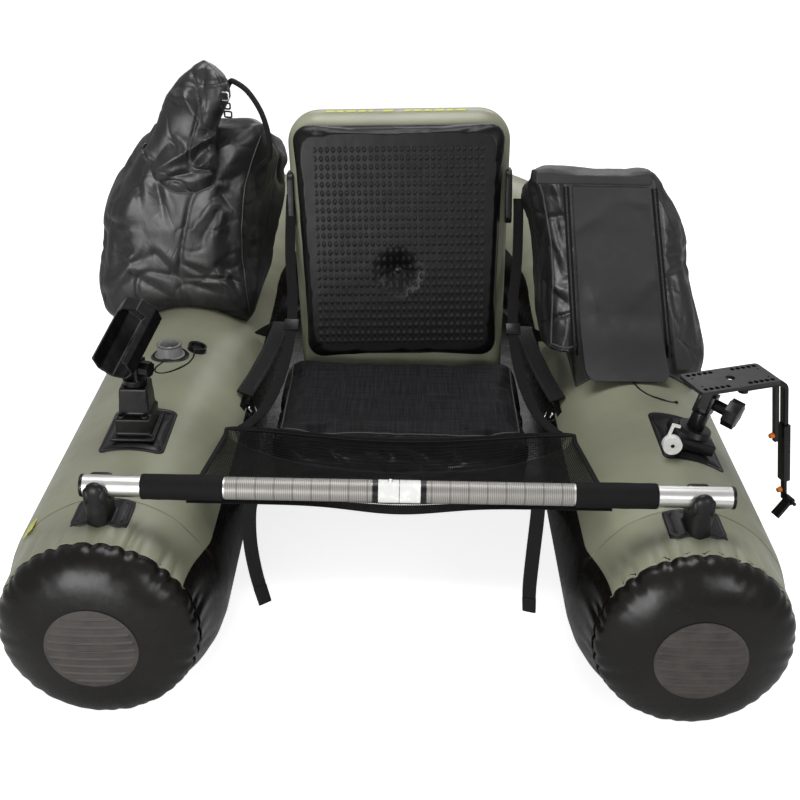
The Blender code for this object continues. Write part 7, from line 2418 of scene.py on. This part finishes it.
@dataclass
class Fittings:
    """Rod holder, valve, finder mount and their rubber pads."""

    shop: Workshop
    repeat: Repeater
    leash: tuple = ((-0.3655, 0.6562, 0.3150), (-0.3660, 0.6400, 0.3107), (-0.3700, 0.6150, 0.3116),
                    (-0.3800, 0.5900, 0.3144), (-0.3930, 0.5720, 0.3154), (-0.4070, 0.5640, 0.3154),
                    (-0.4180, 0.5700, 0.3154), (-0.4210, 0.5850, 0.3154), (-0.4160, 0.6000, 0.3154),
                    (-0.4100, 0.6132, 0.3154))
    bag_cord: tuple = ((0.3920, 0.6155, 0.3172), (0.3925, 0.5980, 0.3154), (0.3930, 0.5700, 0.3154),
                       (0.4000, 0.5400, 0.3154), (0.4120, 0.5180, 0.3154), (0.4280, 0.5060, 0.3150),
                       (0.4440, 0.5040, 0.3106), (0.4560, 0.5080, 0.3074))
    # Each dash's ends along Y and its edges in degrees from the top.
    marks: tuple = ((0.150, 0.180, 44.0, 52.0), (0.190, 0.232, 42.0, 54.0), (0.243, 0.270, 44.0, 52.0),
                    (0.280, 0.325, 42.0, 54.0), (0.336, 0.362, 44.0, 52.0))

    def build(self) -> None:
        """Fit everything that is bolted or glued on the chambers."""
        self.pads()
        self.rod_holder()
        self.valve()
        self.finder()
        self.cords()
        self.dashes()
        self.floor_panel()

    def pads(self) -> None:
        """Glue the smooth rubber pads on the round chambers."""
        for name, side, middle, span, border in (("rod_pad", Side.LEFT, 0.0, (0.300, 0.438), 0.006),
                                                 ("finder_pad", Side.RIGHT, 15.0, (0.305, 0.455), 0.006)):
            half = TUBE_R * math.radians(18.2)
            pad = self.shop.saddle(name + "_rubber", side, middle, half, span, 0.1599, 0.1571, border=border)
            self.shop.finish(pad, "pad_rubber", "hull", (name,), sharp=50.0)

    def rod_holder(self) -> None:
        """Ease the rod holder's mouldings and set its screws."""
        for name, voxel, passes in (("rod_base", 0.0014, 4), ("rod_swivel", 0.0009, 3),
                                    ("rod_cradle", 0.0011, 3)):
            self.shop.melted(name, "plastic", voxel, passes)
        self.shop.refined("rod_knob", "plastic", 0.0005, 28.0)
        profile = ((0.0, 0.0), (0.0060, 0.0), (0.0060, 0.0026), (0.0054, 0.0034), (0.0040, 0.0034),
                   (0.0038, 0.0008), (0.0, 0.0008))
        head = self.shop.lathe("screw_boss", profile, Matrix.Translation(-Vector(SHIFT)), 20)
        screws = np.array(((-0.4240, 0.3400, 0.3496), (-0.3880, 0.3400, 0.3496)))
        self.repeat.along("rod_base_screws", screws, np.array((0.0, 0.0, 1.0)), head, 2, "pad_rubber")
        self.repeat.drop(head)

    def valve(self) -> None:
        """Finish the valve, its plunger and its cap."""
        self.shop.refined("valve_body", "grey", 0.0005, 30.0)
        seat = Matrix.Translation((-TUBE_X, 0.640, TUBE_Z + 0.1572))
        profile = ((0.0262, -0.006), (0.0335, -0.006), (0.0340, 0.0010), (0.0322, 0.0026), (0.0262, 0.0032))
        flange = self.shop.lathe("valve_flange", profile, seat, 64)
        points = coordinates(flange) - SHIFT
        points[:, 2] -= TUBE_R - np.sqrt(TUBE_R ** 2 - (points[:, 0] + TUBE_X) ** 2)
        reshape(flange, row(points))
        self.shop.finish(flange, "pad_rubber", "hull", sharp=40.0)
        ring = [(0.0205 + 0.0014 * math.cos(t), 0.0214 + 0.0014 * math.sin(t))
                for t in np.linspace(0.0, 2 * math.pi, 13)]
        lip = self.shop.lathe("valve_lip", ring, seat, 64)
        self.shop.finish(lip, "piping", "hull", sharp=80.0)
        self.shop.refined("valve_plunger", "white", 0.0004, 30.0)
        self.shop.refined("valve_cap", "pad_rubber", 0.0007, 30.0)

    def finder(self) -> None:
        """Finish the finder mount and the transducer arm."""
        for name, finish, edge in (("finder_base", "plastic", 0.0010), ("finder_lock", "white", 0.0008),
                                   ("finder_post", "plastic", 0.0010), ("finder_knob", "plastic", 0.0007),
                                   ("finder_plate", "plate", 0.0), ("transducer_arm", "plastic", 0.0007),
                                   ("transducer_sleeve", "plastic", 0.0007),
                                   ("transducer_foot", "plastic", 0.0006),
                                   ("arm_screw_upper", "orange", 0.0003),
                                   ("arm_screw_lower", "orange", 0.0003)):
            self.shop.refined(name, finish, edge, 30.0)
        self.recesses()

    def recesses(self) -> None:
        """Set near-black matt rings in four rows on the finder's plate, painted shade of its countersunk
        holes.
        """
        inner, outer, high = 0.0020, 0.0036, 0.00035
        profile = ((inner, 0.0), (outer, 0.0), (outer, high), (inner, high), (inner, 0.0))
        ring = self.shop.lathe("countersink", profile, Matrix.Translation(-Vector(SHIFT)), 14)
        yaw = math.radians(20.0)
        ahead = np.array((math.cos(yaw), math.sin(yaw), 0.0))
        aside = np.array((-math.sin(yaw), math.cos(yaw), 0.0))
        middle = np.array((0.5026, 0.3886, 0.41270))
        for index, (side_x, side_y) in enumerate(((-1, -1), (-1, 1), (1, -1), (1, 1))):
            reach = np.linspace(0.28, 0.84, 5)[:, None] * 0.070 * side_x
            spots = middle + reach * ahead + side_y * 0.02479 * aside
            self.repeat.along(f"plate_recesses_{index}", spots, np.array((0.0, 0.0, 1.0)), ring, 5, "recess",
                              "mount_plate")
        self.repeat.drop(ring)

    def cords(self) -> None:
        """Lay the valve cap's leash and the bag's drawcord."""
        for name, route, node, far in (("valve_leash_cord", self.leash, "valve_leash", "object"),
                                       ("bag_drawcord", self.bag_cord, "bag_cord", "knot")):
            path = smooth_route(route, 6)
            cord = self.shop.sweep(name, path, circle(0.0014, 10))
            self.shop.finish(cord, "cord", "hull", (node,), sharp=80.0)
            if far == "knot":
                profile = ((0.0, -0.0034), (0.0018, -0.0031), (0.0030, -0.0016), (0.0031, 0.0010),
                           (0.0020, 0.0029), (0.0, 0.0034))
                place = Matrix.Translation(Vector(path[-1])) @ Matrix.Rotation(1.2, 4, 'Y')
                knot = self.shop.lathe(name + "_knot", profile, place, 18)
                self.shop.finish(knot, "cord", "hull", sharp=80.0)

    def dashes(self) -> None:
        """Print plain yellow dashes where the left chamber carries its marking."""
        for index, (start, end, low, high) in enumerate(self.marks):
            half = TUBE_R * math.radians(high - low) / 2
            dash = self.shop.saddle(f"chamber_dash_{index}", Side.LEFT, (low + high) / 2, half, (start, end),
                                    0.15800, 0.1572, corner=0.003, edge=0.0002)
            self.shop.finish(dash, "yellow", "hull", sharp=60.0)

    def floor_panel(self) -> None:
        """Stretch a black sheet between the chambers: under the seat it is the floor panel, and behind the
        seat, out to the stern, it is painted shade in the gap.
        """
        # The sheet reaches back to y 1.31, past the floor panel's rear, and darkens the stern gap as painted
        # shade.
        reach, front, length = 0.2480, 0.420, 0.890
        u = np.linspace(-1.0, 1.0, 41)
        y = np.linspace(front, front + length, 61)
        half = reach * np.sqrt(1 - (np.maximum(y - BEND_Y, 0.0) / reach) ** 2)
        sag = 0.0010 * np.outer(np.sin(math.pi * (y - front) / length), 1 - u ** 2)
        form = np.stack((half[:, None] * u, np.broadcast_to(y[:, None], (61, 41)), 0.1575 - sag), -1)
        sheet = self.shop.grid("seat_floor_sheet", form)
        self.shop.outward_faces(self.shop.thicken(sheet, 0.0010))
        self.shop.finish(sheet, "black", "hull", ("seat_base_panel",), sharp=40.0)


def main() -> None:
    """Dress the frame piece by piece and report each piece."""
    logging.basicConfig(level=logging.INFO, format="%(message)s")
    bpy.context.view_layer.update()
    shop = Workshop(Palette())
    Studio().build()
    Hull(shop).build()
    Seat(shop).build()
    Backrest(shop).build()
    Bar(shop).build()
    repeat = Repeater(shop)
    Apron(shop, repeat).build()
    DryBag(shop).build()
    ZippedBag(shop, repeat).build()
    Straps(shop, repeat).build()
    Fittings(shop, repeat).build()
    log.info("%d pieces dressed", shop.count)


if __name__ == "__main__":
    main()
